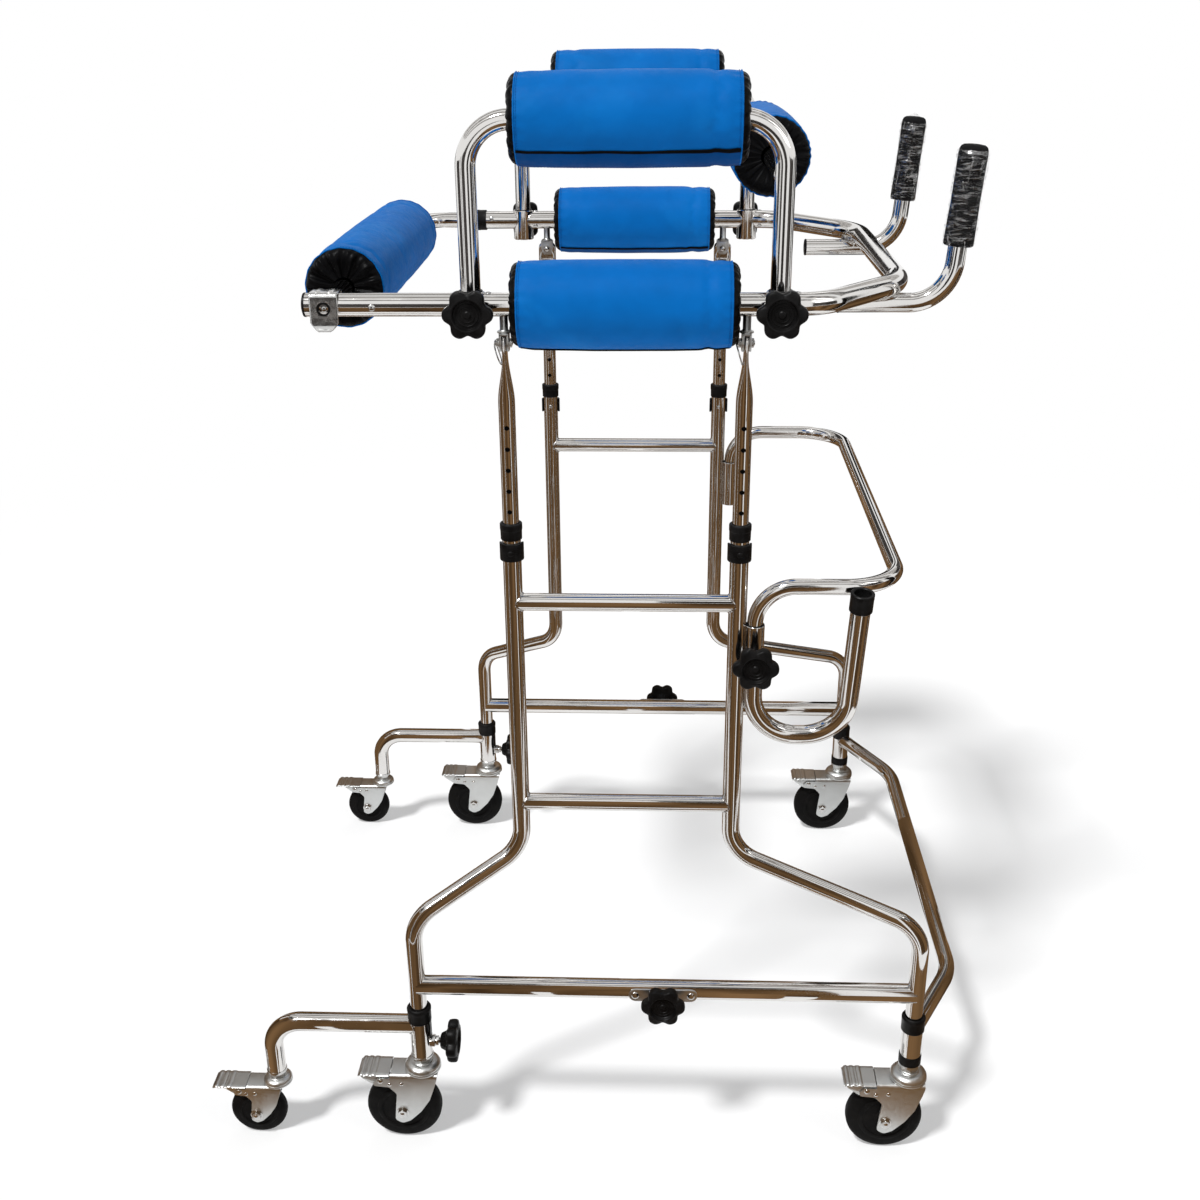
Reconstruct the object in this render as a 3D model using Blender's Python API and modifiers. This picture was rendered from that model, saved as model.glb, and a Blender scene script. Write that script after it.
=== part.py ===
"""Gait trainer: a wheeled steel walking frame that holds the user up inside a padded ring.

Metres, +Z up, +X the way the user walks, +Y the user's left. The origin is on the floor under
the middle of the footprint. Shapes are drawn in frame coordinates, whose zero is midway between
the legs, and the root empty moves the whole frame so that its footprint is centred.
"""

import math
from typing import NamedTuple

import bmesh
import bpy
from mathutils import Matrix, Vector

# Clearances, weld depth and how far a cutter reaches past a face
SEAT_GAP = 0.0003
PAD_GAP = 0.0003
STUD_GAP = 0.0004
WELD_DEPTH = 0.0015
CUT_PAST = 0.010
COMMON_WALL = 0.0015

# Facets round tubes, small pins and hexagons, and the turn of one facet along a bend
TUBE_SIDES = 12
PIN_SIDES = 8
HEX_SIDES = 6
BEND_STEP = math.radians(30)
SHARP_ANGLE = math.radians(38)
FLAT_ANGLE = math.radians(0.1)
MERGE = 0.00001

# Layout of the frame
RING_HEIGHT = 1.108
RING_HALF_WIDTH = 0.320
BASE_HALF_WIDTH = 0.390
LEG_X = 0.133
STUB_REAR_X = -0.268
STUB_FRONT_X = 0.371

# Tube radii
LEG_RADIUS = 0.011
INNER_LEG_RADIUS = 0.0095
RUNG_RADIUS = 0.0105
RAIL_RADIUS = 0.0125
RING_RADIUS = 0.01275
ARCH_RADIUS = 0.011
HANDLE_RADIUS = 0.011
GATE_RADIUS = 0.011
LOOP_RADIUS = 0.0095
LOOP_SOCKET_RADIUS = 0.0117
BASE_BAR_RADIUS = 0.011
OUTRIGGER_RADIUS = 0.0125
REAR_STUB_RADIUS = 0.014
FRONT_STUB_RADIUS = 0.0135

# Side frames
LEG_TOP = 0.852
LEG_BEND_HIGH = 0.412
LEG_BEND_LOW = 0.345
LEG_BOTTOM = 0.145
LEG_BEND_RADIUS = 0.045
LEG_BORE_DEPTH = 0.312
UPPER_RUNG_DROP = 0.097
LOWER_RUNG_HEIGHT = 0.480
RAIL_HEIGHT = 0.246
BRACKET_X = 0.049
BRACKET_LENGTH = 0.087
BRACKET_HEIGHT = 0.018
BRACKET_PLATE = 0.003
BRACKET_STEPS = 4

# Height adjustment: holes in the inner legs, collars and clips on the outer ones
INNER_LEG_ENGAGED = 0.150
HOLE_PITCH = 0.025
HOLE_DEPTH = 0.003
HOLES_ABOVE = 5
HOLES_BELOW = 2
FIRST_HOLE_ABOVE_TOP = 0.019
CLIP_HOLES_BELOW = 2
PIN_RADIUS = 0.0027
FERRULE_RADIUS = 0.0131
FERRULE_HEIGHT = 0.020
COLLAR_LIP = 0.0035
CLIP_RADIUS = 0.0142
CLIP_HEIGHT = 0.021
CLIP_NUB = 0.002
CLIP_STEPS = 6

# Clevises under the ring and the flattened tops of the inner legs
CLEVIS_DROP = 0.042
CLEVIS_PLATE = 0.0025
CLEVIS_HALF_WIDTH = 0.009
CLEVIS_TAPER = 0.6
CLEVIS_BOLT_RADIUS = 0.004
CLEVIS_BOLT_HEAD = 0.004
CLEVIS_NECK_RADIUS = 0.0045
LEG_FLAT_THICKNESS = 0.005
LEG_FLAT_WIDTH = 0.026
LEG_FLAT_HALF_LENGTH = 0.012
LEG_TOP_ABOVE_EYE = 0.008
LEG_TOP_ROUNDING = 0.66
LEG_TAPER_LENGTH = 0.030
LEG_TAPER_KNEE = (0.4, 0.45)

# Ring
RING_BEND_X = 0.212
RING_FRONT_X = 0.318
RING_FRONT_HALF_WIDTH = 0.193
RING_BEND_RADIUS = 0.045
RIGHT_ARM_END_X = -0.351
LEFT_ARM_END_X = -0.235
GATE_COLLAR_HEIGHT = 0.015
GATE_COLLAR_RADIUS = 0.0150
GATE_BORE_DEPTH = 0.045

# Arches over the arms, their sockets, and the chest bar between them
ARCH_X = 0.168
ARCH_RISE = 0.192
ARCH_BEND_RADIUS = 0.048
ARCH_LEG_BELOW = 0.026
SOCKET_RADIUS = 0.0148
SOCKET_BELOW = 0.028
SOCKET_ABOVE = 0.0145
RING_KNOB_DROP = 0.004
CHEST_BAR_RISE = 0.134

# Push handles
HANDLE_HALF_WIDTH = 0.200
HANDLE_TAIL_X = 0.246
HANDLE_CORNER_X = 0.373
HANDLE_TOP_X = 0.387
HANDLE_RISE = 0.154
HANDLE_BEND_RADIUS = 0.050
GRIP_LENGTH = 0.111
GRIP_DOME = 0.006
GRIP_PROFILE = ((0.0110, 0.1093), (0.0166, 0.1030), (0.0162, 0.0560), (0.0172, 0.0030), (0.0160, 0.0))

# Pads
PAD_RADIUS = 0.0475
PAD_CROWN = 0.0015
PAD_SIDES = 20
PAD_CAP_DEPTH = 0.0085
PAD_PLEAT_DEPTH = 0.0012
PAD_MOUTH_RADIUS = 0.022
PAD_SHOULDER = (0.84, 0.985)
SIDE_PAD_HALF_LENGTHS = {"right": 0.1235, "left": 0.1195}
ARM_PAD_HALF_LENGTH = 0.124
ARM_PAD_MIDDLE_X = 0.004
CHEST_PAD_HALF_LENGTH = 0.129
GATE_PAD_HALF_LENGTH = 0.2145
GATE_PAD_MIDDLE_Y = -0.0145

# Rear swing gate, its latch over the right arm, and the button in that arm
GATE_CORNER_X = -0.328
GATE_BEND_RADIUS = 0.045
LATCH_HALF_WIDTH = 0.0155
LATCH_SHEET = 0.002
LATCH_DROP = 0.027
LATCH_LIP = 0.008
LATCH_HOLE_RADIUS = 0.007
LATCH_HOLE_DROP = 0.002
LATCH_TAB_CORNERS = ((1.0, 0.50), (0.70, 0.12))
LATCH_RIB_WIDTH = 0.7
BUTTON_RADIUS = 0.0045
BUTTON_LENGTH = 0.009
BUTTON_TRAVEL = 0.004

# Middle loop, its sockets, and the pole holder below the right one
LOOP_DROP = 0.075
LOOP_SOCKET_DROP = 0.049
LOOP_SOCKET_LENGTH = 0.071
LOOP_SIDE_X = 0.290
LOOP_FRONT_X = 0.326
LOOP_FRONT_HALF_WIDTH = 0.278
LOOP_BEND_RADIUS = 0.048
LOOP_ENGAGED = 0.060
LOOP_KNOB_DROP = 0.041
HOLDER_ARM_X = 0.268
HOLDER_MOUTH = (0.275, 0.347)
HOLDER_MOUTH_RISE = 0.201
HOLDER_DROP = 0.148
HOLDER_BEND_RADIUS = 0.054
HOLDER_BORE_DEPTH = 0.060
HOLDER_CUP_RADIUS = 0.0138
HOLDER_CUP_HEIGHT = 0.024

# Base bar, caster stubs and outriggers
STUB_TOP = 0.212
STUB_COLLAR_HEIGHT = 0.022
STUB_COLLAR_WALL = 0.0013
EXPANDER_HEIGHT = 0.018
EXPANDER_WALL = 0.0008
BASE_BAR_HEIGHT = 0.186
BASE_CORNER_X = 0.441
BASE_CORNER_HALF_WIDTH = 0.264
BASE_BEND_RADIUS = 0.045
OUTRIGGER_HEIGHT = 0.183
OUTRIGGER_END_X = -0.465
OUTRIGGER_BEND_RADIUS = 0.040
OUTRIGGER_KNOB_HEIGHT = 0.156

# Star knobs: lobed head with a recessed face, hub, stud, and the hexagon boss they screw into
KNOB_RADIUS = 0.0255
KNOB_LOBE = 0.0027
KNOB_LOBES = 6
KNOB_POINTS_PER_LOBE = 3
KNOB_HEAD = 0.015
KNOB_HUB_RADIUS = 0.011
KNOB_HUB = 0.009
KNOB_RECESS_RADIUS = 0.0165
KNOB_RECESS = 0.004
STUD_RADIUS = 0.004
BOSS_RADIUS = 0.0085
BOSS_LENGTH = 0.005
KNOB_STANDOFF = 0.003
OUTRIGGER_KNOB_STANDOFF = 0.007


class Caster(NamedTuple):
    """Sizes of one swivel caster with a brake pedal."""

    wheel_radius: float
    wheel_half_width: float
    trail: float
    height: float
    head_radius: float
    collar_radius: float
    pedal_reach: float


MAIN_CASTER = Caster(0.050, 0.0145, 0.028, 0.133, 0.0240, 0.0130, 0.057)
SMALL_CASTER = Caster(0.0375, 0.0115, 0.030, 0.101, 0.0190, 0.0115, 0.056)
STEM_RADIUS = 0.006
STEM_LENGTH = 0.010
FORK_PLATE = 0.0025
FORK_SIDE_GAP = 0.002
AXLE_RADIUS = 0.004
PEDAL_SHEET = 0.0025
PEDAL_PIN_RADIUS = 0.0025
PEDAL_RIDGE = 0.0009
BOLT_STAND = 0.002
WHEEL_STEPS = 16

# Caster outlines in wheel radii from the axle, so that both sizes are one design
CROWN_TOP = 1.24
CROWN_BACK = -0.28
FORK_OUTLINE = ((-0.72, 0.88), (-0.73, 1.06), (-0.66, 1.13), (-0.29, 1.13), (-0.28, CROWN_TOP),
                (0.96, CROWN_TOP), (0.83, 0.66), (0.57, 0.11), (0.20, -0.26), (-0.02, -0.38), (-0.22, -0.26),
                (-0.12, 0.62), (-0.30, 0.84))
PEDAL_PIN = (-0.54, 1.03)
PEDAL_FRONT = -0.30
PEDAL_BANDS = ((0.10, 0.26), (0.38, 0.58))
PEDAL_BAND_SLOPE = 0.02
FLANGE_OUTLINE = ((0.14, 0.18), (-0.54, 0.15), (-0.20, -0.16), (0.06, -0.17), (0.12, 0.0))
DOME_PROFILE = ((1.0, 0.0), (1.0, 0.20), (0.78, 0.55))
WHEEL_PROFILE = ((0.34, 0.98), (0.86, 0.72), (1.0, 0.34))

SIDES = (("right", -1), ("left", 1))
ENDS = (("rear", -1), ("front", 1))

CHROME = ("chrome", (0.62, 0.62, 0.64), 1.0, 0.12)
ZINC = ("zinc_plate", (0.55, 0.58, 0.61), 1.0, 0.32)
BLACK_NYLON = ("black_nylon", (0.012, 0.012, 0.013), 0.0, 0.45)
TYRE = ("black_rubber", (0.010, 0.010, 0.010), 0.0, 0.60)
BLUE_CLOTH = ("blue_cloth", (0.010, 0.155, 0.640), 0.0, 0.75)
GRIP_FOAM = ("black_foam", (0.012, 0.012, 0.012), 0.0, 0.70)


def clear_objects():
    """Remove every object that the open file holds."""
    for item in list(bpy.data.objects):
        bpy.data.objects.remove(item, do_unlink=True)


def collection(name):
    """Return a collection in the scene, made if it isn't there."""
    found = bpy.data.collections.get(name)
    if found is None:
        found = bpy.data.collections.new(name)
        bpy.context.scene.collection.children.link(found)
    return found


def finish_material(finish):
    """Return the Principled material of a named finish."""
    name, colour, metallic, roughness = finish
    material = bpy.data.materials.get(name)
    if material is None:
        material = bpy.data.materials.new(name)
        material.use_nodes = True
        shader = material.node_tree.nodes["Principled BSDF"]
        shader.inputs["Base Color"].default_value = (*colour, 1.0)
        shader.inputs["Metallic"].default_value = metallic
        shader.inputs["Roughness"].default_value = roughness
    return material


def empty_at(name, pivot, parent=None):
    """Add an empty whose place is a joint's axis, given in frame coordinates."""
    holder = bpy.data.objects.new(name, None)
    collection("gait_trainer").objects.link(holder)
    holder["pivot"] = tuple(pivot)
    if parent is not None:
        holder.parent = parent
        holder.location = Vector(pivot) - Vector(parent["pivot"])
    return holder


def place_part(name, mesh, finish, parent, pivot):
    """Add a piece whose mesh is drawn about its own pivot."""
    if not mesh.materials:
        mesh.name = name
        mesh.materials.append(finish_material(finish))
        mesh.shade_smooth()
        mesh.set_sharp_from_angle(angle=SHARP_ANGLE)
    part = bpy.data.objects.new(name, mesh)
    collection("gait_trainer").objects.link(part)
    part.parent = parent
    part.location = Vector(pivot) - Vector(parent["pivot"])
    return part


def add_part(name, mesh, finish, parent, pivot=None):
    """Add a piece drawn in frame coordinates, with its origin on its pivot."""
    pivot = Vector(parent["pivot"] if pivot is None else pivot)
    mesh.transform(Matrix.Translation(-pivot))
    return place_part(name, mesh, finish, parent, pivot)


def drill(part, cutters):
    """Cut a piece with one hidden tool, the union of cutters drawn in frame coordinates."""
    mesh = united(*cutters)
    mesh.name = part.name + "_cutter"
    mesh.transform(Matrix.Translation(-part.location - Vector(part.parent["pivot"])))
    tool = bpy.data.objects.new(mesh.name, mesh)
    collection("cutters").objects.link(tool)
    tool.parent = part.parent
    tool.location = part.location
    tool.hide_render = True
    tool.display_type = "WIRE"
    cut = part.modifiers.new("bores", "BOOLEAN")
    cut.operation = "DIFFERENCE"
    cut.solver = "EXACT"
    cut.object = tool


def temporary(name, data):
    """Link data as a temporary object."""
    item = bpy.data.objects.new(name, data)
    bpy.context.scene.collection.objects.link(item)
    return item


def evaluated(item):
    """Return the finished mesh of a temporary object, and remove the object."""
    bpy.context.view_layer.update()
    graph = bpy.context.evaluated_depsgraph_get()
    mesh = bpy.data.meshes.new_from_object(item.evaluated_get(graph))
    bpy.data.objects.remove(item, do_unlink=True)
    return mesh


def combined(operation, first, *others):
    """Join or cut closed solids with one exact Boolean after another."""
    body = temporary("body", first)
    tools = [temporary("tool", other) for other in others]
    for tool in tools:
        step = body.modifiers.new("step", "BOOLEAN")
        step.operation = operation
        step.solver = "EXACT"
        step.object = tool
    mesh = evaluated(body)
    for tool in tools:
        bpy.data.objects.remove(tool, do_unlink=True)
    return simplified(mesh)


def simplified(mesh):
    """Merge the flat neighbours that a Boolean leaves split."""
    shape = bmesh.new()
    shape.from_mesh(mesh)
    bmesh.ops.dissolve_limit(shape, angle_limit=FLAT_ANGLE, verts=shape.verts, edges=shape.edges)
    shape.to_mesh(mesh)
    shape.free()
    return mesh


def united(first, *others):
    """Weld overlapping solids into one closed body."""
    return combined("UNION", first, *others)


def carved(first, *others):
    """Cut solids out of a solid."""
    return combined("DIFFERENCE", first, *others)


def welded(mesh):
    """Weld a mesh's loose caps and seams, and point its faces outwards."""
    shape = bmesh.new()
    shape.from_mesh(mesh)
    bmesh.ops.remove_doubles(shape, verts=shape.verts, dist=MERGE)
    bmesh.ops.recalc_face_normals(shape, faces=shape.faces)
    shape.to_mesh(mesh)
    shape.free()
    return mesh


def aim(start, end):
    """Return the matrix that stands a shape drawn along +Z on the line from start to end."""
    start = Vector(start)
    run = Vector(end) - start
    return Matrix.Translation(start) @ run.to_track_quat("Z", "Y").to_matrix().to_4x4()


def rod(start, end, radius, sides=TUBE_SIDES):
    """Return a capped cylinder between two points."""
    length = (Vector(end) - Vector(start)).length
    shape = bmesh.new()
    bmesh.ops.create_cone(shape, cap_ends=True, segments=sides, radius1=radius, radius2=radius,
                          depth=length, matrix=Matrix.Translation((0, 0, length / 2)))
    mesh = bpy.data.meshes.new("rod")
    shape.to_mesh(mesh)
    shape.free()
    mesh.transform(aim(start, end))
    return mesh


def bore_radius(radius, gap=SEAT_GAP, sides=TUBE_SIDES):
    """Return the corner radius of a faceted bore whose flats clear a round piece by a gap."""
    return (radius + gap) / math.cos(math.pi / sides)


def bore(start, end, radius, gap=SEAT_GAP, sides=TUBE_SIDES):
    """Return the cutter of a bore that a piece of the given radius fits."""
    return rod(start, end, bore_radius(radius, gap, sides), sides)


def box(low, high):
    """Return a box between two corners."""
    low, high = Vector(low), Vector(high)
    shape = bmesh.new()
    bmesh.ops.create_cube(shape, size=1.0)
    mesh = bpy.data.meshes.new("box")
    shape.to_mesh(mesh)
    shape.free()
    mesh.transform(Matrix.Translation((low + high) / 2) @ Matrix.Diagonal((*(high - low), 1.0)))
    return mesh


def turned(profile, steps):
    """Return a solid turned about Z, its half profile running down the outer side from the top.

    A profile that starts on the axis is a solid; any other is closed on itself as a ring.
    """
    mesh = bpy.data.meshes.new("turned")
    edges = [(index, index + 1) for index in range(len(profile) - 1)]
    if profile[0][0] > 0:
        edges.append((len(profile) - 1, 0))
    mesh.from_pydata([(radius, 0.0, height) for radius, height in profile], edges, [])
    item = temporary("turned", mesh)
    screw = item.modifiers.new("screw", "SCREW")
    screw.steps = steps
    screw.render_steps = steps
    screw.use_merge_vertices = True
    screw.merge_threshold = MERGE
    return welded(evaluated(item))


def sheet(outline, thickness, hole=None):
    """Return a flat plate of a closed outline in XZ, its thickness centred on Y."""
    curve = bpy.data.curves.new("sheet", "CURVE")
    curve.dimensions = "2D"
    curve.fill_mode = "BOTH"
    curve.extrude = thickness / 2
    for loop in (outline, hole) if hole else (outline,):
        spline = curve.splines.new("POLY")
        spline.points.add(len(loop) - 1)
        for point, (across, up) in zip(spline.points, loop):
            point.co = (across, up, 0.0, 1.0)
        spline.use_cyclic_u = True
    mesh = welded(evaluated(temporary("sheet", curve)))
    mesh.transform(Matrix.Rotation(math.pi / 2, 4, "X"))
    return mesh


def shifted(mesh, x=0.0, y=0.0, z=0.0):
    """Move a mesh and return it."""
    mesh.transform(Matrix.Translation((x, y, z)))
    return mesh


def spun(mesh, angle, axis):
    """Turn a mesh about an axis through zero and return it."""
    mesh.transform(Matrix.Rotation(angle, 4, axis))
    return mesh


def arc(centre, radius, start, sweep, steps):
    """Return outline points along an arc in a sheet's plane."""
    return [(centre[0] + radius * math.cos(start + sweep * step / steps),
             centre[1] + radius * math.sin(start + sweep * step / steps)) for step in range(steps + 1)]


def circle(centre, radius, sides):
    """Return the points of a full circle in a sheet's plane."""
    return arc(centre, radius, 0.0, math.tau, sides)[:-1]


def scaled(points, size):
    """Return outline points given in wheel radii as metres."""
    return [(across * size, up * size) for across, up in points]


def bent_route(corners, radius):
    """Return the points of a run of straight lengths whose corners have one bend radius."""
    route = [Vector(corners[0])]
    for before, corner, after in zip(corners, corners[1:], corners[2:]):
        corner = Vector(corner)
        back = (Vector(before) - corner).normalized()
        ahead = (Vector(after) - corner).normalized()
        turn = math.pi - back.angle(ahead)
        middle = corner + (back + ahead).normalized() * radius / math.cos(turn / 2)
        first = corner + back * radius * math.tan(turn / 2) - middle
        last = corner + ahead * radius * math.tan(turn / 2) - middle
        axis = first.cross(last).normalized()
        steps = max(2, round(turn / BEND_STEP))
        route += [middle + Matrix.Rotation(turn * step / steps, 3, axis) @ first
                  for step in range(steps + 1)]
    route.append(Vector(corners[-1]))
    return route


def bent_tube(corners, tube_radius, bend_radius):
    """Return the solid of a bent tube, from a bevelled curve whose caps are welded."""
    route = bent_route(corners, bend_radius)
    curve = bpy.data.curves.new("tube", "CURVE")
    curve.dimensions = "3D"
    curve.bevel_depth = tube_radius
    curve.bevel_resolution = TUBE_SIDES // 2 - 2
    curve.use_fill_caps = True
    spline = curve.splines.new("POLY")
    spline.points.add(len(route) - 1)
    for point, place in zip(spline.points, route):
        point.co = (*place, 1.0)
    return welded(evaluated(temporary("tube", curve)))


def lofted(rings, closed=False):
    """Return the solid through rings of like point counts, capped or closed on itself."""
    shape = bmesh.new()
    loops = [[shape.verts.new(point) for point in ring] for ring in rings]
    pairs = list(zip(loops, loops[1:]))
    if closed:
        pairs.append((loops[-1], loops[0]))
    for lower, upper in pairs:
        for index in range(len(lower)):
            following = (index + 1) % len(lower)
            shape.faces.new((lower[index], lower[following], upper[following], upper[index]))
    if not closed:
        shape.faces.new(list(reversed(loops[0])))
        shape.faces.new(loops[-1])
    bmesh.ops.recalc_face_normals(shape, faces=shape.faces)
    mesh = bpy.data.meshes.new("loft")
    shape.to_mesh(mesh)
    shape.free()
    return mesh


def stepped_collar(tube_radius, through_radius, outer_radius, height):
    """Return a collar that caps a tube's end at zero, bored for the tube that runs on through it."""
    skirt = bore_radius(tube_radius)
    throat = bore_radius(through_radius)
    foot = COLLAR_LIP - height
    profile = ((outer_radius, COLLAR_LIP), (outer_radius, foot), (skirt, foot), (skirt, SEAT_GAP),
               (throat, SEAT_GAP), (throat, COLLAR_LIP))
    return turned(profile, TUBE_SIDES)


def roll_pad(half_length, tube_radius):
    """Return a round cushion along X: a crowned body with gathered, drawn-in end caps."""
    inner = bore_radius(tube_radius, PAD_GAP, PAD_SIDES)
    edge = half_length - PAD_CAP_DEPTH
    shoulder, rim = PAD_SHOULDER
    half = [(inner, edge, 0), (PAD_MOUTH_RADIUS, half_length - PAD_CAP_DEPTH / 2, 1),
            (PAD_RADIUS * shoulder, half_length, 1), (PAD_RADIUS * rim, edge, 0)]
    stations = [(radius, -along, -pleat) for radius, along, pleat in half]
    stations.append((PAD_RADIUS + PAD_CROWN, 0.0, 0))
    stations += reversed(half)
    rings = []
    for radius, along, pleat in stations:
        ring = []
        for index in range(PAD_SIDES):
            angle = math.tau * index / PAD_SIDES
            fold = pleat * PAD_PLEAT_DEPTH * (index % 2)
            ring.append((along - fold, radius * math.cos(angle), radius * math.sin(angle)))
        rings.append(ring)
    return lofted(rings, closed=True)


def star_knob(stud_length):
    """Return a lobed clamp knob drawn along +Z, its stud's tip at zero and its face at the top."""
    points = KNOB_LOBES * KNOB_POINTS_PER_LOBE
    lobes = []
    for index in range(points):
        angle = math.tau * index / points
        reach = KNOB_RADIUS + KNOB_LOBE * math.cos(KNOB_LOBES * angle)
        lobes.append((reach * math.cos(angle), reach * math.sin(angle)))
    foot = stud_length + KNOB_HUB
    face = foot + KNOB_HEAD
    head = shifted(spun(sheet(lobes, KNOB_HEAD), -math.pi / 2, "X"), z=(foot + face) / 2)
    recess = rod((0, 0, face - KNOB_RECESS), (0, 0, face + KNOB_RECESS), KNOB_RECESS_RADIUS, PIN_SIDES)
    hub = rod((0, 0, stud_length), (0, 0, foot + WELD_DEPTH), KNOB_HUB_RADIUS, PIN_SIDES)
    stud = rod((0, 0, 0), (0, 0, stud_length + WELD_DEPTH), STUD_RADIUS, HEX_SIDES)
    return carved(united(head, hub, stud), recess)


def add_knob(name, seat, outward, depth, parent, standoff=KNOB_STANDOFF):
    """Add a star knob over a seat, its stud reaching in to a depth and its face looking outward."""
    seat, outward = Vector(seat), Vector(outward)
    tip = seat - outward * depth
    mesh = star_knob(depth + standoff)
    mesh.transform(aim(tip, seat))
    add_part(name, mesh, BLACK_NYLON, empty_at(name + "_axis", tip, parent))


def stud_bore(seat, outward, depth):
    """Return the cutter of a stud's hole, from past its seat in to a depth."""
    seat, outward = Vector(seat), Vector(outward)
    return bore(seat - outward * (depth + SEAT_GAP), seat + outward * CUT_PAST,
                STUD_RADIUS, STUD_GAP, PIN_SIDES)


def boss(seat, outward, depth):
    """Return the hexagon boss that ends at a knob's seat."""
    seat, outward = Vector(seat), Vector(outward)
    return rod(seat - outward * depth, seat, BOSS_RADIUS, HEX_SIDES)


def leg_place(end, side):
    """Return a leg's place in plan."""
    return LEG_X * end, RING_HALF_WIDTH * side


def stub_place(end, side):
    """Return a caster stub's place in plan."""
    return (STUB_FRONT_X if end > 0 else STUB_REAR_X), BASE_HALF_WIDTH * side


def clip_height():
    """Return the height of the clips' pins, which is that of one adjusting hole."""
    return LEG_TOP + FIRST_HOLE_ABOVE_TOP - CLIP_HOLES_BELOW * HOLE_PITCH


def rung_heights():
    """Return the heights of a side frame's two rungs, the upper one set below the leg tops."""
    return LEG_TOP - UPPER_RUNG_DROP, LOWER_RUNG_HEIGHT


def loop_height():
    """Return the height of the middle loop, set below the leg tops."""
    return LEG_TOP - LOOP_DROP


def socket_top():
    """Return the height of the loop sockets' tops."""
    return loop_height() - LOOP_SOCKET_DROP


def holder_bottom():
    """Return the height of the pole holder's lowest run."""
    return socket_top() - HOLDER_DROP


def socket_x():
    """Return the place of the loop sockets, welded along the front legs."""
    return LEG_X + LEG_RADIUS + LOOP_SOCKET_RADIUS - WELD_DEPTH


def loop_knob_seat(side):
    """Return the seat of the knob that clamps the loop."""
    out = RING_HALF_WIDTH + LOOP_SOCKET_RADIUS + BOSS_LENGTH
    return socket_x(), side * out, socket_top() - LOOP_KNOB_DROP


def loop_knob_depth():
    """Return how far that knob's stud reaches in, to just short of the loop's tube."""
    return LOOP_SOCKET_RADIUS + BOSS_LENGTH - LOOP_RADIUS - SEAT_GAP


def rail_knob_seat(side):
    """Return the seat of the knob on the rail's bracket."""
    return BRACKET_X, side * (BASE_HALF_WIDTH + RAIL_RADIUS + BRACKET_PLATE / 2), RAIL_HEIGHT


def ring_knob_seat(end, side):
    """Return the seat of the knob that clamps one arch leg."""
    return ARCH_X * end, side * (RING_HALF_WIDTH + SOCKET_RADIUS), RING_HEIGHT - RING_KNOB_DROP


def ring_knob_depth():
    """Return how far that knob's stud reaches in, to just short of the arch's tube."""
    return SOCKET_RADIUS - ARCH_RADIUS - SEAT_GAP


def outrigger_knob_seat(side):
    """Return the seat of the knob that clamps an outrigger to its leg."""
    x, y = stub_place(-1, side)
    return x + REAR_STUB_RADIUS + BOSS_LENGTH, y, OUTRIGGER_KNOB_HEIGHT


def outrigger_knob_depth():
    """Return how far that knob's stud reaches in, to just short of the leg's tube."""
    return REAR_STUB_RADIUS + BOSS_LENGTH - LEG_RADIUS - SEAT_GAP


def side_frame(side):
    """Return one side: two bent legs, two rungs, the rail, its bracket and the loop socket."""
    legs = []
    for _, end in ENDS:
        x, y = leg_place(end, side)
        foot_x, foot_y = stub_place(end, side)
        corners = ((x, y, LEG_TOP), (x, y, LEG_BEND_HIGH), (foot_x, foot_y, LEG_BEND_LOW),
                   (foot_x, foot_y, LEG_BOTTOM))
        legs.append(bent_tube(corners, LEG_RADIUS, LEG_BEND_RADIUS))
    y = RING_HALF_WIDTH * side
    rungs = [rod((-LEG_X, y, height), (LEG_X, y, height), RUNG_RADIUS) for height in rung_heights()]
    y = BASE_HALF_WIDTH * side
    rail = rod((STUB_REAR_X, y, RAIL_HEIGHT), (STUB_FRONT_X, y, RAIL_HEIGHT), RAIL_RADIUS)
    bracket = shifted(sheet(bracket_outline(), BRACKET_PLATE), y=y + side * RAIL_RADIUS)
    return united(legs[0], legs[1], *rungs, rail, bracket, loop_socket(side))


def bracket_outline():
    """Return the outline of the rail's bracket: a bar with round ends."""
    tip = BRACKET_HEIGHT / 2
    reach = BRACKET_LENGTH / 2 - tip
    outline = []
    for end in (1, -1):
        middle = (BRACKET_X + end * reach, RAIL_HEIGHT)
        outline += arc(middle, tip, -end * math.pi / 2, math.pi, BRACKET_STEPS)
    return outline


def loop_socket(side):
    """Return the socket tube beside a front leg; the right one goes on into the pole holder."""
    x, y = socket_x(), RING_HALF_WIDTH * side
    seat = boss(loop_knob_seat(side), (0, side, 0), BOSS_LENGTH + WELD_DEPTH)
    if side > 0:
        tube = rod((x, y, socket_top() - LOOP_SOCKET_LENGTH), (x, y, socket_top()), LOOP_SOCKET_RADIUS)
        return united(tube, seat)
    top, lean = holder_mouth(side)
    corners = ((x, y, socket_top()), (x, y, holder_bottom()), (HOLDER_ARM_X, y, holder_bottom()), top)
    tube = bent_tube(corners, LOOP_SOCKET_RADIUS, HOLDER_BEND_RADIUS)
    cup = rod(top - lean * HOLDER_CUP_HEIGHT, top + lean * SEAT_GAP, HOLDER_CUP_RADIUS)
    return united(tube, seat, cup)


def holder_mouth(side):
    """Return the middle of the pole holder's mouth and the way it looks."""
    across, out = HOLDER_MOUTH
    top = Vector((across, out * side, holder_bottom() + HOLDER_MOUTH_RISE))
    return top, (top - Vector((HOLDER_ARM_X, RING_HALF_WIDTH * side, holder_bottom()))).normalized()


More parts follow.
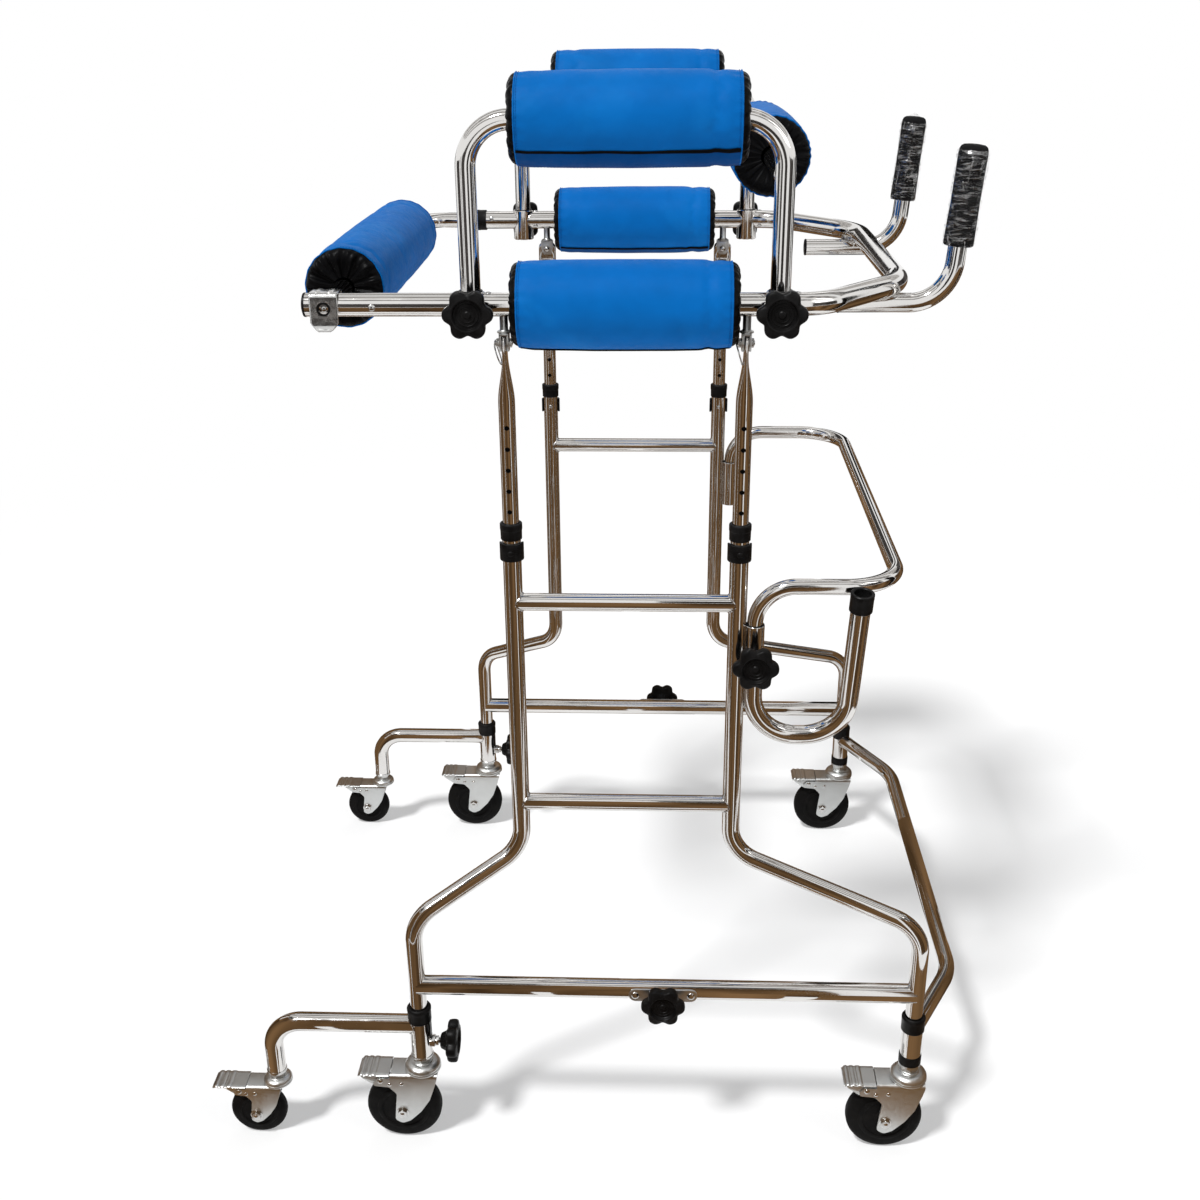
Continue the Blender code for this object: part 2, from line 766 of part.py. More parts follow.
def side_frame_bores(side):
    """Return one side's cutters: leg bores, pin holes, loop socket, stud holes, holder's mouth."""
    cutters = []
    for _, end in ENDS:
        x, y = leg_place(end, side)
        cutters.append(bore((x, y, LEG_TOP - LEG_BORE_DEPTH), (x, y, LEG_TOP + CUT_PAST), INNER_LEG_RADIUS))
        pin_start = (x, y + side * (INNER_LEG_RADIUS - SEAT_GAP), clip_height())
        pin_end = (x, y + side * (LEG_RADIUS + CUT_PAST), clip_height())
        cutters.append(bore(pin_start, pin_end, PIN_RADIUS, sides=PIN_SIDES))
    x, y = socket_x(), RING_HALF_WIDTH * side
    floor = socket_top() - LOOP_ENGAGED - SEAT_GAP
    cutters.append(bore((x, y, floor), (x, y, socket_top() + CUT_PAST), LOOP_RADIUS))
    cutters.append(stud_bore(loop_knob_seat(side), (0, side, 0), loop_knob_depth() + SEAT_GAP))
    cutters.append(stud_bore(rail_knob_seat(side), (0, side, 0), RAIL_RADIUS))
    if side < 0:
        top, lean = holder_mouth(side)
        cutters.append(rod(top - lean * HOLDER_BORE_DEPTH, top + lean * CUT_PAST,
                           LOOP_SOCKET_RADIUS - COMMON_WALL))
    return cutters


def height_clip(side):
    """Return the half-round clip on the outer side of a leg, with its pin through the tube."""
    inner = bore_radius(LEG_RADIUS)
    outline = arc((0, 0), CLIP_RADIUS, 0.0, math.pi, CLIP_STEPS)
    outline += arc((0, 0), inner, math.pi, -math.pi, CLIP_STEPS)
    shell = spun(sheet(outline, CLIP_HEIGHT), -math.pi / 2, "X")
    pin = rod((0, INNER_LEG_RADIUS + SEAT_GAP, 0), (0, CLIP_RADIUS + CLIP_NUB, 0), PIN_RADIUS, PIN_SIDES)
    return spun(united(shell, pin), 0.0 if side > 0 else math.pi, "Z")


def inner_leg(end, side):
    """Return an inner leg: a round tube whose top is flattened round a bolt eye."""
    x, y = leg_place(end, side)
    eye = RING_HEIGHT - CLEVIS_DROP
    flat_start = eye - LEG_FLAT_HALF_LENGTH
    round_end = flat_start - LEG_TAPER_LENGTH
    knee, knee_flatness = LEG_TAPER_KNEE
    stations = ((LEG_TOP - INNER_LEG_ENGAGED, 0.0, 1.0), (round_end, 0.0, 1.0),
                (round_end + LEG_TAPER_LENGTH * knee, knee_flatness, 1.0), (flat_start, 1.0, 1.0),
                (eye, 1.0, 1.0), (eye + LEG_TOP_ABOVE_EYE, 1.0, LEG_TOP_ROUNDING))
    rings = []
    for height, flatness, width in stations:
        half_thick = INNER_LEG_RADIUS + (LEG_FLAT_THICKNESS / 2 - INNER_LEG_RADIUS) * flatness
        half_wide = (INNER_LEG_RADIUS + (LEG_FLAT_WIDTH / 2 - INNER_LEG_RADIUS) * flatness) * width
        reach = (half_thick, half_wide) if side < 0 else (half_wide, half_thick)
        corners = circle((0, 0), 1.0, TUBE_SIDES)
        rings.append([(x + reach[0] * across, y + reach[1] * along, height) for across, along in corners])
    return lofted(rings)


def inner_leg_bores(end, side):
    """Return the cutters of an inner leg: the bolt eye and the row of adjusting holes."""
    x, y = leg_place(end, side)
    eye = RING_HEIGHT - CLEVIS_DROP
    along = Vector((LEG_FLAT_THICKNESS, 0, 0) if side < 0 else (0, LEG_FLAT_THICKNESS, 0))
    middle = Vector((x, y, eye))
    cutters = [bore(middle - along, middle + along, CLEVIS_BOLT_RADIUS, sides=PIN_SIDES)]
    for step in range(-HOLES_BELOW, HOLES_ABOVE):
        height = LEG_TOP + FIRST_HOLE_ABOVE_TOP + HOLE_PITCH * step
        floor = (x, y + side * (INNER_LEG_RADIUS - HOLE_DEPTH), height)
        cutters.append(bore(floor, (x, y + side * LEG_RADIUS, height), PIN_RADIUS, sides=HEX_SIDES))
    return cutters


def clevis(end, side):
    """Return the yoke under the ring: a neck, two tapered cheeks, and the bolt between them."""
    x, y = leg_place(end, side)
    eye = RING_HEIGHT - CLEVIS_DROP
    bridge = eye + LEG_TOP_ABOVE_EYE + 2 * SEAT_GAP
    half = CLEVIS_HALF_WIDTH
    inner = LEG_FLAT_THICKNESS / 2 + SEAT_GAP
    outer = inner + CLEVIS_PLATE
    narrow = half * CLEVIS_TAPER
    cheek = [(-half, bridge), (-half, eye), (-narrow, eye - half),
             (narrow, eye - half), (half, eye), (half, bridge)]
    pieces = [shifted(sheet(cheek, CLEVIS_PLATE), y=face * (inner + outer) / 2) for face in (-1, 1)]
    pieces.append(box((-half, -outer, bridge - SEAT_GAP), (half, outer, bridge + CLEVIS_PLATE)))
    neck_top = RING_HEIGHT - RING_RADIUS / 2
    pieces.append(rod((0, 0, bridge + SEAT_GAP), (0, 0, neck_top), CLEVIS_NECK_RADIUS, HEX_SIDES))
    head = outer + CLEVIS_BOLT_HEAD
    pieces.append(rod((0, -head, eye), (0, head, eye), CLEVIS_BOLT_RADIUS, HEX_SIDES))
    mesh = spun(united(*pieces), 0.0 if side > 0 else math.pi / 2, "Z")
    return shifted(mesh, x, y)


def ring_frame():
    """Return the welded ring: its bent tube, arch sockets, clevises and push handles."""
    width = RING_HALF_WIDTH
    corners = ((RIGHT_ARM_END_X, -width, RING_HEIGHT), (RING_BEND_X, -width, RING_HEIGHT),
               (RING_FRONT_X, -RING_FRONT_HALF_WIDTH, RING_HEIGHT),
               (RING_FRONT_X, RING_FRONT_HALF_WIDTH, RING_HEIGHT),
               (RING_BEND_X, width, RING_HEIGHT), (LEFT_ARM_END_X, width, RING_HEIGHT))
    pieces = []
    for _, side in SIDES:
        for _, end in ENDS:
            x, y = ARCH_X * end, width * side
            foot, top = RING_HEIGHT - SOCKET_BELOW, RING_HEIGHT + SOCKET_ABOVE
            pieces.append(rod((x, y, foot), (x, y, top), SOCKET_RADIUS))
            pieces.append(clevis(end, side))
        pieces.append(handle_tube(side))
    return united(bent_tube(corners, RING_RADIUS, RING_BEND_RADIUS), *pieces)


def handle_line(side):
    """Return the foot and top of a handle's upright run, whose line leans a little forward."""
    y = HANDLE_HALF_WIDTH * side
    level = RING_HEIGHT - RING_RADIUS - HANDLE_RADIUS + WELD_DEPTH
    return Vector((HANDLE_CORNER_X, y, level)), Vector((HANDLE_TOP_X, y, RING_HEIGHT + HANDLE_RISE))


def handle_tube(side):
    """Return a push handle's tube: a level tail under the ring's corner, bent up to the grip."""
    foot, top = handle_line(side)
    tail = Vector((HANDLE_TAIL_X, foot.y, foot.z))
    end = top - (top - foot).normalized() * GRIP_DOME
    return bent_tube((tail, foot, end), HANDLE_RADIUS, HANDLE_BEND_RADIUS)


def ring_bores():
    """Return the ring's cutters: arch sockets, stud holes, the gate's bore, the button's hole."""
    cutters = []
    width = RING_HALF_WIDTH
    for _, side in SIDES:
        for _, end in ENDS:
            x, y = ARCH_X * end, width * side
            cutters.append(bore((x, y, RING_HEIGHT - SOCKET_BELOW - CUT_PAST),
                                (x, y, RING_HEIGHT + SOCKET_ABOVE + CUT_PAST), ARCH_RADIUS))
            cutters.append(stud_bore(ring_knob_seat(end, side), (0, side, 0), ring_knob_depth() + SEAT_GAP))
    cutters.append(bore((LEFT_ARM_END_X - CUT_PAST, width, RING_HEIGHT),
                        (LEFT_ARM_END_X + GATE_BORE_DEPTH, width, RING_HEIGHT), GATE_RADIUS))
    outer = -width - RING_RADIUS
    height = RING_HEIGHT - LATCH_HOLE_DROP
    inner_end = outer + BUTTON_LENGTH + BUTTON_TRAVEL + SEAT_GAP
    cutters.append(bore((GATE_CORNER_X, outer - CUT_PAST, height), (GATE_CORNER_X, inner_end, height),
                        BUTTON_RADIUS, sides=PIN_SIDES))
    return cutters


def snap_button():
    """Return the sprung button in the right arm, about its own tip, level with the arm's face."""
    return rod((0, 0, 0), (0, BUTTON_LENGTH, 0), BUTTON_RADIUS, PIN_SIDES)


def grip(side):
    """Return the sleeve grip on a handle, with a domed end and a blind bore for the tube."""
    foot, top = handle_line(side)
    throat = bore_radius(HANDLE_RADIUS)
    floor = GRIP_LENGTH - GRIP_DOME + SEAT_GAP
    profile = ((0.0, GRIP_LENGTH), *GRIP_PROFILE, (throat, 0.0), (throat, floor), (0.0, floor))
    mesh = turned(profile, TUBE_SIDES)
    mesh.transform(aim(top - (top - foot).normalized() * GRIP_LENGTH, top))
    return mesh


def arch_frame():
    """Return both arches over the arms and the chest bar welded between their front legs."""
    foot = RING_HEIGHT - ARCH_LEG_BELOW
    top = RING_HEIGHT + ARCH_RISE
    arches = []
    for _, side in SIDES:
        y = RING_HALF_WIDTH * side
        corners = ((-ARCH_X, y, foot), (-ARCH_X, y, top), (ARCH_X, y, top), (ARCH_X, y, foot))
        arches.append(bent_tube(corners, ARCH_RADIUS, ARCH_BEND_RADIUS))
    level = RING_HEIGHT + CHEST_BAR_RISE
    bar = rod((ARCH_X, -RING_HALF_WIDTH, level), (ARCH_X, RING_HALF_WIDTH, level), ARCH_RADIUS - SEAT_GAP)
    return united(*arches, bar)


def gate_tube():
    """Return the swing gate's tube: an arm in the ring's bore and a cross run behind the user."""
    width = RING_HALF_WIDTH
    pivot_end = LEFT_ARM_END_X + GATE_BORE_DEPTH - SEAT_GAP
    latch_side = -width + RING_RADIUS + LATCH_SHEET + 2 * SEAT_GAP
    corners = ((pivot_end, width, RING_HEIGHT), (GATE_CORNER_X, width, RING_HEIGHT),
               (GATE_CORNER_X, latch_side, RING_HEIGHT))
    return bent_tube(corners, GATE_RADIUS, GATE_BEND_RADIUS)


def gate_latch():
    """Return the saddle that drops over the right arm: a bent sheet with a holed outer tab."""
    inner = -RING_HALF_WIDTH + RING_RADIUS + SEAT_GAP
    outer = -RING_HALF_WIDTH - RING_RADIUS - SEAT_GAP
    roof = RING_HEIGHT + RING_RADIUS + SEAT_GAP
    top = roof + LATCH_SHEET
    foot = RING_HEIGHT - LATCH_DROP
    left, right = GATE_CORNER_X - LATCH_HALF_WIDTH, GATE_CORNER_X + LATCH_HALF_WIDTH
    lobe = [(LATCH_HALF_WIDTH * across, foot + LATCH_HALF_WIDTH * up) for across, up in LATCH_TAB_CORNERS]
    tab = [(left, top), *((GATE_CORNER_X - across, up) for across, up in lobe), (GATE_CORNER_X, foot),
           *((GATE_CORNER_X + across, up) for across, up in reversed(lobe)), (right, top)]
    hole = circle((GATE_CORNER_X, RING_HEIGHT - LATCH_HOLE_DROP), LATCH_HOLE_RADIUS, TUBE_SIDES)
    plate = shifted(sheet(tab, LATCH_SHEET, hole), y=outer - LATCH_SHEET / 2)
    bridge = box((left, outer - LATCH_SHEET / 2, roof), (right, inner + LATCH_SHEET, top))
    lip = box((left, inner, RING_HEIGHT - LATCH_LIP), (right, inner + LATCH_SHEET, roof + LATCH_SHEET / 2))
    rib_reach = LATCH_HALF_WIDTH * LATCH_RIB_WIDTH
    rib = box((GATE_CORNER_X - rib_reach, outer, roof + LATCH_SHEET / 2),
              (GATE_CORNER_X + rib_reach, inner, top + LATCH_SHEET / 2))
    return united(plate, bridge, lip, rib)


def middle_loop():
    """Return the loop in front of the user: a level bowed tube whose ends drop into the sockets."""
    foot, level = socket_top() - LOOP_ENGAGED, loop_height()
    half = [(socket_x(), RING_HALF_WIDTH, foot), (socket_x(), RING_HALF_WIDTH, level),
            (LOOP_SIDE_X, RING_HALF_WIDTH, level), (LOOP_FRONT_X, LOOP_FRONT_HALF_WIDTH, level)]
    corners = [(x, -y, z) for x, y, z in half] + half[::-1]
    return bent_tube(corners, LOOP_RADIUS, LOOP_BEND_RADIUS)


def caster_stub(place, radius):
    """Return a caster stub with its soft collar on top, drawn solid."""
    x, y = place
    tube = rod((x, y, MAIN_CASTER.height + SEAT_GAP), (x, y, STUB_TOP), radius)
    collar = rod((x, y, STUB_TOP - STUB_COLLAR_HEIGHT), (x, y, STUB_TOP + SEAT_GAP),
                 radius + STUB_COLLAR_WALL)
    return united(tube, collar)


def stem_bore(place, caster):
    """Return the cutter of the bore that a caster's stem stands in."""
    x, y = place
    return bore((x, y, caster.height - CUT_PAST), (x, y, caster.height + STEM_LENGTH + SEAT_GAP),
                STEM_RADIUS, sides=PIN_SIDES)


def stub_bores(place):
    """Return a caster stub's cutters: the leg's bore from above and the stem's from below."""
    x, y = place
    leg = bore((x, y, LEG_BOTTOM - SEAT_GAP), (x, y, STUB_TOP + CUT_PAST), LEG_RADIUS)
    return [leg, stem_bore(place, MAIN_CASTER)]


def front_base_bar():
    """Return the front of the base: a trapezoid bar welded to the two front stubs."""
    half = [(STUB_FRONT_X, BASE_HALF_WIDTH, BASE_BAR_HEIGHT),
            (BASE_CORNER_X, BASE_CORNER_HALF_WIDTH, BASE_BAR_HEIGHT)]
    corners = [(x, -y, z) for x, y, z in half] + half[::-1]
    pieces = []
    foot = MAIN_CASTER.height + SEAT_GAP
    for _, side in SIDES:
        x, y = stub_place(1, side)
        pieces.append(caster_stub((x, y), FRONT_STUB_RADIUS))
        pieces.append(rod((x, y, foot), (x, y, foot + EXPANDER_HEIGHT), FRONT_STUB_RADIUS + EXPANDER_WALL))
    return united(bent_tube(corners, BASE_BAR_RADIUS, BASE_BEND_RADIUS), *pieces)


def outrigger(side):
    """Return a rear outrigger: the leg's stub, the arm welded to it and the arm's bent end."""
    x, y = stub_place(-1, side)
    corners = ((x, y, OUTRIGGER_HEIGHT), (OUTRIGGER_END_X, y, OUTRIGGER_HEIGHT),
               (OUTRIGGER_END_X, y, SMALL_CASTER.height + SEAT_GAP))
    arm = bent_tube(corners, OUTRIGGER_RADIUS, OUTRIGGER_BEND_RADIUS)
    seat = boss(outrigger_knob_seat(side), (1, 0, 0), BOSS_LENGTH + WELD_DEPTH)
    return united(arm, caster_stub((x, y), REAR_STUB_RADIUS), seat)


def outrigger_bores(side):
    """Return an outrigger's cutters: both stub bores, the stud hole and the small stem's bore."""
    x, y = stub_place(-1, side)
    stud = stud_bore(outrigger_knob_seat(side), (1, 0, 0), outrigger_knob_depth() + SEAT_GAP)
    return [*stub_bores((x, y)), stud, stem_bore((OUTRIGGER_END_X, y), SMALL_CASTER)]


def fork(caster):
    """Return a caster fork about its stem: cheeks, crown, raceway dome, collar, stem and pins."""
    radius = caster.wheel_radius
    inner = caster.wheel_half_width + FORK_SIDE_GAP
    outer = inner + FORK_PLATE
    crown = radius * (1 + CROWN_TOP)
    cheeks = shifted(sheet(scaled(FORK_OUTLINE, radius), 2 * outer), -caster.trail, z=radius)
    crown_back = CROWN_BACK * radius - caster.trail
    behind, ahead = -CUT_PAST - outer * 2 - radius, radius + outer
    slots = (box((behind, -inner, -CUT_PAST), (ahead, inner, crown - FORK_PLATE)),
             box((behind, -inner, radius), (crown_back, inner, crown + CUT_PAST)))
    pieces = []
    rise = caster.height - crown
    dome = [(caster.head_radius * across, crown + rise * up) for across, up in DOME_PROFILE]
    neck = crown + rise * DOME_PROFILE[-1][1]
    top = caster.height + STEM_LENGTH
    profile = ((0.0, top), (STEM_RADIUS, top), (STEM_RADIUS, caster.height),
               (caster.collar_radius, caster.height), (caster.collar_radius, neck),
               *reversed(dome), (0.0, dome[0][1]))
    pieces.append(turned(profile, TUBE_SIDES))
    end = outer + BOLT_STAND
    pins = (((0, 0), AXLE_RADIUS, PIN_SIDES), (PEDAL_PIN, PEDAL_PIN_RADIUS, HEX_SIDES))
    for (across, up), pin, sides in pins:
        x, z = across * radius - caster.trail, up * radius + radius
        pieces.append(rod((x, -end, z), (x, end, z), pin, sides))
    return united(carved(cheeks, *slots), *pieces)


def wheel(caster):
    """Return a wheel about its axle along Y: a rounded tyre on a dished hub, one flat down."""
    throat = bore_radius(AXLE_RADIUS, sides=WHEEL_STEPS)
    corner = bore_radius(caster.wheel_radius, 0.0, WHEEL_STEPS)
    half = [(throat, caster.wheel_half_width)]
    half += [(corner * across, caster.wheel_half_width * up) for across, up in WHEEL_PROFILE]
    profile = half + [(across, -up) for across, up in reversed(half)]
    flat_down = spun(turned(profile, WHEEL_STEPS), math.pi / WHEEL_STEPS, "Z")
    return spun(flat_down, math.pi / 2, "X")


def pedal(caster):
    """Return a brake pedal about its pin: a ridged tread plate with a flange inside each cheek."""
    radius = caster.wheel_radius
    top = (CROWN_TOP - PEDAL_PIN[1]) * radius
    back = -caster.pedal_reach - PEDAL_PIN[0] * radius
    front = (PEDAL_FRONT - PEDAL_PIN[0]) * radius
    length = front - back
    tread = [(front, top - PEDAL_SHEET), (front, top)]
    for start, end in PEDAL_BANDS:
        for along, up in ((start, 0.0), (start + PEDAL_BAND_SLOPE, PEDAL_RIDGE),
                          (end - PEDAL_BAND_SLOPE, PEDAL_RIDGE), (end, 0.0)):
            tread.append((front - length * along, top + up))
    tread += [(back, top - PEDAL_SHEET / 2), (back, top - PEDAL_SHEET)]
    inner = caster.wheel_half_width + FORK_SIDE_GAP
    pieces = [sheet(tread, 2 * (inner + FORK_PLATE))]
    hole = circle((0, 0), bore_radius(PEDAL_PIN_RADIUS, sides=HEX_SIDES), HEX_SIDES)
    for face in (-1, 1):
        flange = sheet(scaled(FLANGE_OUTLINE, radius), PEDAL_SHEET / 2, hole)
        pieces.append(shifted(flange, y=face * (inner - SEAT_GAP - PEDAL_SHEET / 4)))
    return united(*pieces)


def caster_meshes(caster):
    """Return the three meshes that casters of one size share."""
    return {"fork": fork(caster), "wheel": wheel(caster), "pedal": pedal(caster)}


def add_caster(name, caster, place, parent, meshes):
    """Add one caster: its fork on the stem's axis, and the wheel and pedal on the fork."""
    x, y = place
    swivel = empty_at(name + "_swivel", (x, y, 0.0), parent)
    place_part("fork_" + name, meshes["fork"], ZINC, swivel, (x, y, 0.0))
    axle = Vector((x - caster.trail, y, caster.wheel_radius))
    place_part("wheel_" + name, meshes["wheel"], TYRE, swivel, axle)
    pin = Vector((PEDAL_PIN[0], 0.0, PEDAL_PIN[1])) * caster.wheel_radius
    place_part("pedal_" + name, meshes["pedal"], ZINC, swivel, axle + pin)


def footprint_middle():
    """Return the middle of the whole frame along X, between the rear pedals and the base bar."""
    rear = OUTRIGGER_END_X - SMALL_CASTER.trail - SMALL_CASTER.pedal_reach
    return (rear + BASE_CORNER_X + BASE_BAR_RADIUS) / 2


def add_base(root):
    """Add the side frames, the base bar, the leg collars and clips, and the rail knobs."""
    for side_name, side in SIDES:
        frame = add_part("side_frame_" + side_name, side_frame(side), CHROME, root)
        drill(frame, side_frame_bores(side))
        add_knob("rail_knob_" + side_name, rail_knob_seat(side), (0, side, 0), RAIL_RADIUS, root)
        for end_name, end in ENDS:
            tag = end_name + "_" + side_name
            x, y = leg_place(end, side)
            collar = stepped_collar(LEG_RADIUS, INNER_LEG_RADIUS, FERRULE_RADIUS, FERRULE_HEIGHT)
            place_part("leg_ferrule_" + tag, collar, BLACK_NYLON, root, (x, y, LEG_TOP))
            place_part("height_clip_" + tag, height_clip(side), BLACK_NYLON, root, (x, y, clip_height()))
    bar = add_part("front_base_bar", front_base_bar(), CHROME, root)
    drill(bar, [cutter for _, side in SIDES for cutter in stub_bores(stub_place(1, side))])


def add_running_gear(root):
    """Add the rear outriggers on the rear legs' axes, with their knobs, and all six casters."""
    main, small = caster_meshes(MAIN_CASTER), caster_meshes(SMALL_CASTER)
    for side_name, side in SIDES:
        rear = stub_place(-1, side)
        swing = empty_at("outrigger_axis_" + side_name, (*rear, LEG_BOTTOM), root)
        arm = add_part("outrigger_" + side_name, outrigger(side), CHROME, swing)
        drill(arm, outrigger_bores(side))
        add_knob("outrigger_knob_" + side_name, outrigger_knob_seat(side), (1, 0, 0), outrigger_knob_depth(),
                 swing, OUTRIGGER_KNOB_STANDOFF)
        add_caster("rear_" + side_name, MAIN_CASTER, rear, swing, main)
        add_caster("outrigger_" + side_name, SMALL_CASTER, (OUTRIGGER_END_X, rear[1]), swing, small)
        add_caster("front_" + side_name, MAIN_CASTER, stub_place(1, side), root, main)


def add_loop(root):
    """Add the middle loop in its sockets and the two knobs that clamp it."""
    loop_axis = empty_at("loop_axis", (socket_x(), 0.0, socket_top()), root)
    add_part("middle_loop", middle_loop(), CHROME, loop_axis)
    for side_name, side in SIDES:
        add_knob("loop_knob_" + side_name, loop_knob_seat(side), (0, side, 0), loop_knob_depth(), root)


def add_ring(root):
    """Add the ring with its inner legs, side pads, knobs and grips, and what it carries."""
    lift = empty_at("ring_axis", (0.0, 0.0, RING_HEIGHT), root)
    drill(add_part("ring_frame", ring_frame(), CHROME, lift), ring_bores())
    for side_name, side in SIDES:
        for end_name, end in ENDS:
            tag = end_name + "_" + side_name
            top = (*leg_place(end, side), LEG_TOP)
            leg = add_part("inner_leg_" + tag, inner_leg(end, side), CHROME, lift, top)
            drill(leg, inner_leg_bores(end, side))
            add_knob("ring_knob_" + tag, ring_knob_seat(end, side), (0, side, 0), ring_knob_depth(), lift)
        pad = roll_pad(SIDE_PAD_HALF_LENGTHS[side_name], RING_RADIUS)
        place_part("side_pad_" + side_name, pad, BLUE_CLOTH, lift, (0.0, RING_HALF_WIDTH * side, RING_HEIGHT))
        add_part("grip_" + side_name, grip(side), GRIP_FOAM, lift, handle_line(side)[1])
    button = (GATE_CORNER_X, -RING_HALF_WIDTH - RING_RADIUS, RING_HEIGHT - LATCH_HOLE_DROP)
    place_part("snap_button", snap_button(), ZINC, lift, button)
    add_arches(lift)
    add_gate(lift)


def add_arches(lift):
    """Add the arches with their arm pads, and the chest pad on the bar between them."""
    height = RING_HEIGHT + ARCH_RISE
    slide = empty_at("arch_axis", (0.0, 0.0, RING_HEIGHT), lift)
    add_part("arch_frame", arch_frame(), CHROME, slide)
    for side_name, side in SIDES:
        pad = roll_pad(ARM_PAD_HALF_LENGTH, ARCH_RADIUS)
        middle = (ARM_PAD_MIDDLE_X, RING_HALF_WIDTH * side, height)
        place_part("arm_pad_" + side_name, pad, BLUE_CLOTH, slide, middle)
    pad = spun(roll_pad(CHEST_PAD_HALF_LENGTH, ARCH_RADIUS), math.pi / 2, "Z")
    place_part("chest_pad", pad, BLUE_CLOTH, slide, (ARCH_X, 0.0, RING_HEIGHT + CHEST_BAR_RISE))


def add_gate(lift):
    """Add the rear gate on its hinge in the ring's left tube, with its collar, pad and latch."""
    end = (LEFT_ARM_END_X, RING_HALF_WIDTH, RING_HEIGHT)
    collar = stepped_collar(RING_RADIUS, GATE_RADIUS, GATE_COLLAR_RADIUS, GATE_COLLAR_HEIGHT)
    place_part("gate_collar", spun(collar, -math.pi / 2, "Y"), BLACK_NYLON, lift, end)
    hinge = empty_at("gate_axis", end, lift)
    add_part("gate_tube", gate_tube(), CHROME, hinge)
    pad = spun(roll_pad(GATE_PAD_HALF_LENGTH, GATE_RADIUS), math.pi / 2, "Z")
    place_part("gate_pad", pad, BLUE_CLOTH, hinge, (GATE_CORNER_X, GATE_PAD_MIDDLE_Y, RING_HEIGHT))
    add_part("gate_latch", gate_latch(), ZINC, hinge)


def main():
    """Build the gait trainer."""
    clear_objects()
    root = empty_at("gait_trainer_root", (0.0, 0.0, 0.0))
    root.location = (-footprint_middle(), 0.0, 0.0)
    add_base(root)
    add_running_gear(root)
    add_loop(root)
    add_ring(root)
    bpy.context.view_layer.update()


main()
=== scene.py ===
"""Gait trainer, dressed for its picture.

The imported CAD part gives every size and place. Each sub-assembly below makes its pieces again at
full detail in the same places, gives them their finishes and lets them ride on the CAD bodies.
Metres, +Z up, +X the way the user walks, +Y the user's left. Shapes are drawn in frame
coordinates, whose zero is midway between the legs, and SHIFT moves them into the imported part.
"""
import logging
from contextlib import contextmanager
from dataclasses import dataclass
from enum import Enum
from math import atan2, copysign, cos, hypot, pi, radians, sin, sqrt, tan, tau
from typing import Callable, Iterator, Optional, Sequence, Union

import bmesh
import bpy
import numpy as np
from mathutils import Matrix, Vector, noise
from mathutils.bvhtree import BVHTree


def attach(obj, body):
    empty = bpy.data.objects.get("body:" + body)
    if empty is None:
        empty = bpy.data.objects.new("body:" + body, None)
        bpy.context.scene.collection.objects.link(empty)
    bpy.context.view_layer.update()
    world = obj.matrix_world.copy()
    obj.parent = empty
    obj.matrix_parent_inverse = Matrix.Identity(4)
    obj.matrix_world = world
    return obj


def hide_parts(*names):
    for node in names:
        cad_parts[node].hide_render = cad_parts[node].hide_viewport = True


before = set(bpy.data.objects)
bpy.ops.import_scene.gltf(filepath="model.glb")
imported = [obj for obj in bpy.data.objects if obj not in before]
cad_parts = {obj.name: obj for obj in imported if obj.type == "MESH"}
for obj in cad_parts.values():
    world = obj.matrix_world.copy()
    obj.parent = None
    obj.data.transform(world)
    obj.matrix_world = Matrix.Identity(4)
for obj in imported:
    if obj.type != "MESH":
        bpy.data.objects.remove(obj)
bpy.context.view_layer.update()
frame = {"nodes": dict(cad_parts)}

SHIFT = 0.0495
SIDES = (("right", -1), ("left", 1))
ENDS = (-1, 1)
CORNERS = [(end_name + side_name, end, side) for side_name, side in SIDES
           for end_name, end in (("rear_", -1), ("front_", 1))]

log = logging.getLogger("gait_trainer")

Flat = tuple[float, float]
Colour = tuple[float, float, float]
Point = Sequence[float]
Profile = Sequence[Flat]
Lines = Sequence[Sequence[Point]]
Mesh = bpy.types.Mesh
Socket = bpy.types.NodeSocket


def aim(start: Point, end: Point) -> Matrix:
    """Give the place that stands a shape drawn along +Z at start, looking at end."""
    run = Vector(end) - Vector(start)
    return Matrix.Translation(start) @ run.to_track_quat("Z", "Y").to_matrix().to_4x4()


def moved(x: float = 0.0, y: float = 0.0, z: float = 0.0) -> Matrix:
    """Give the place that only moves a shape."""
    return Matrix.Translation((x, y, z))


def turned(angle: float, axis: str) -> Matrix:
    """Give the place that only turns a shape about an axis, in radians."""
    return Matrix.Rotation(angle, 4, axis)


def blend(low: float, high: float, value: float) -> float:
    """Ease from 0 to 1 while a value goes from low to high."""
    share = min(1.0, max(0.0, (value - low) / (high - low)))
    return share * share * (3.0 - 2.0 * share)


def polar(radius: float, angle: float) -> Flat:
    """Give a flat point by its radius and angle."""
    return radius * cos(angle), radius * sin(angle)


def arc(radius: float, start: float, end: float, steps: int) -> list[Flat]:
    """Give the points of an arc, in degrees."""
    pitch = (end - start) / steps
    return [polar(radius, radians(start + pitch * step)) for step in range(steps + 1)]


def ring(radius: float, height: float, steps: int) -> list[Point]:
    """Give the points of a level circle about Z."""
    return [(*polar(radius, tau * step / steps), height) for step in range(steps)]


def about(radius: float, height: float, *offsets: Flat) -> list[Flat]:
    """Give a half profile by its offsets from a radius and a height."""
    return [(radius + out, height + up) for out, up in offsets]


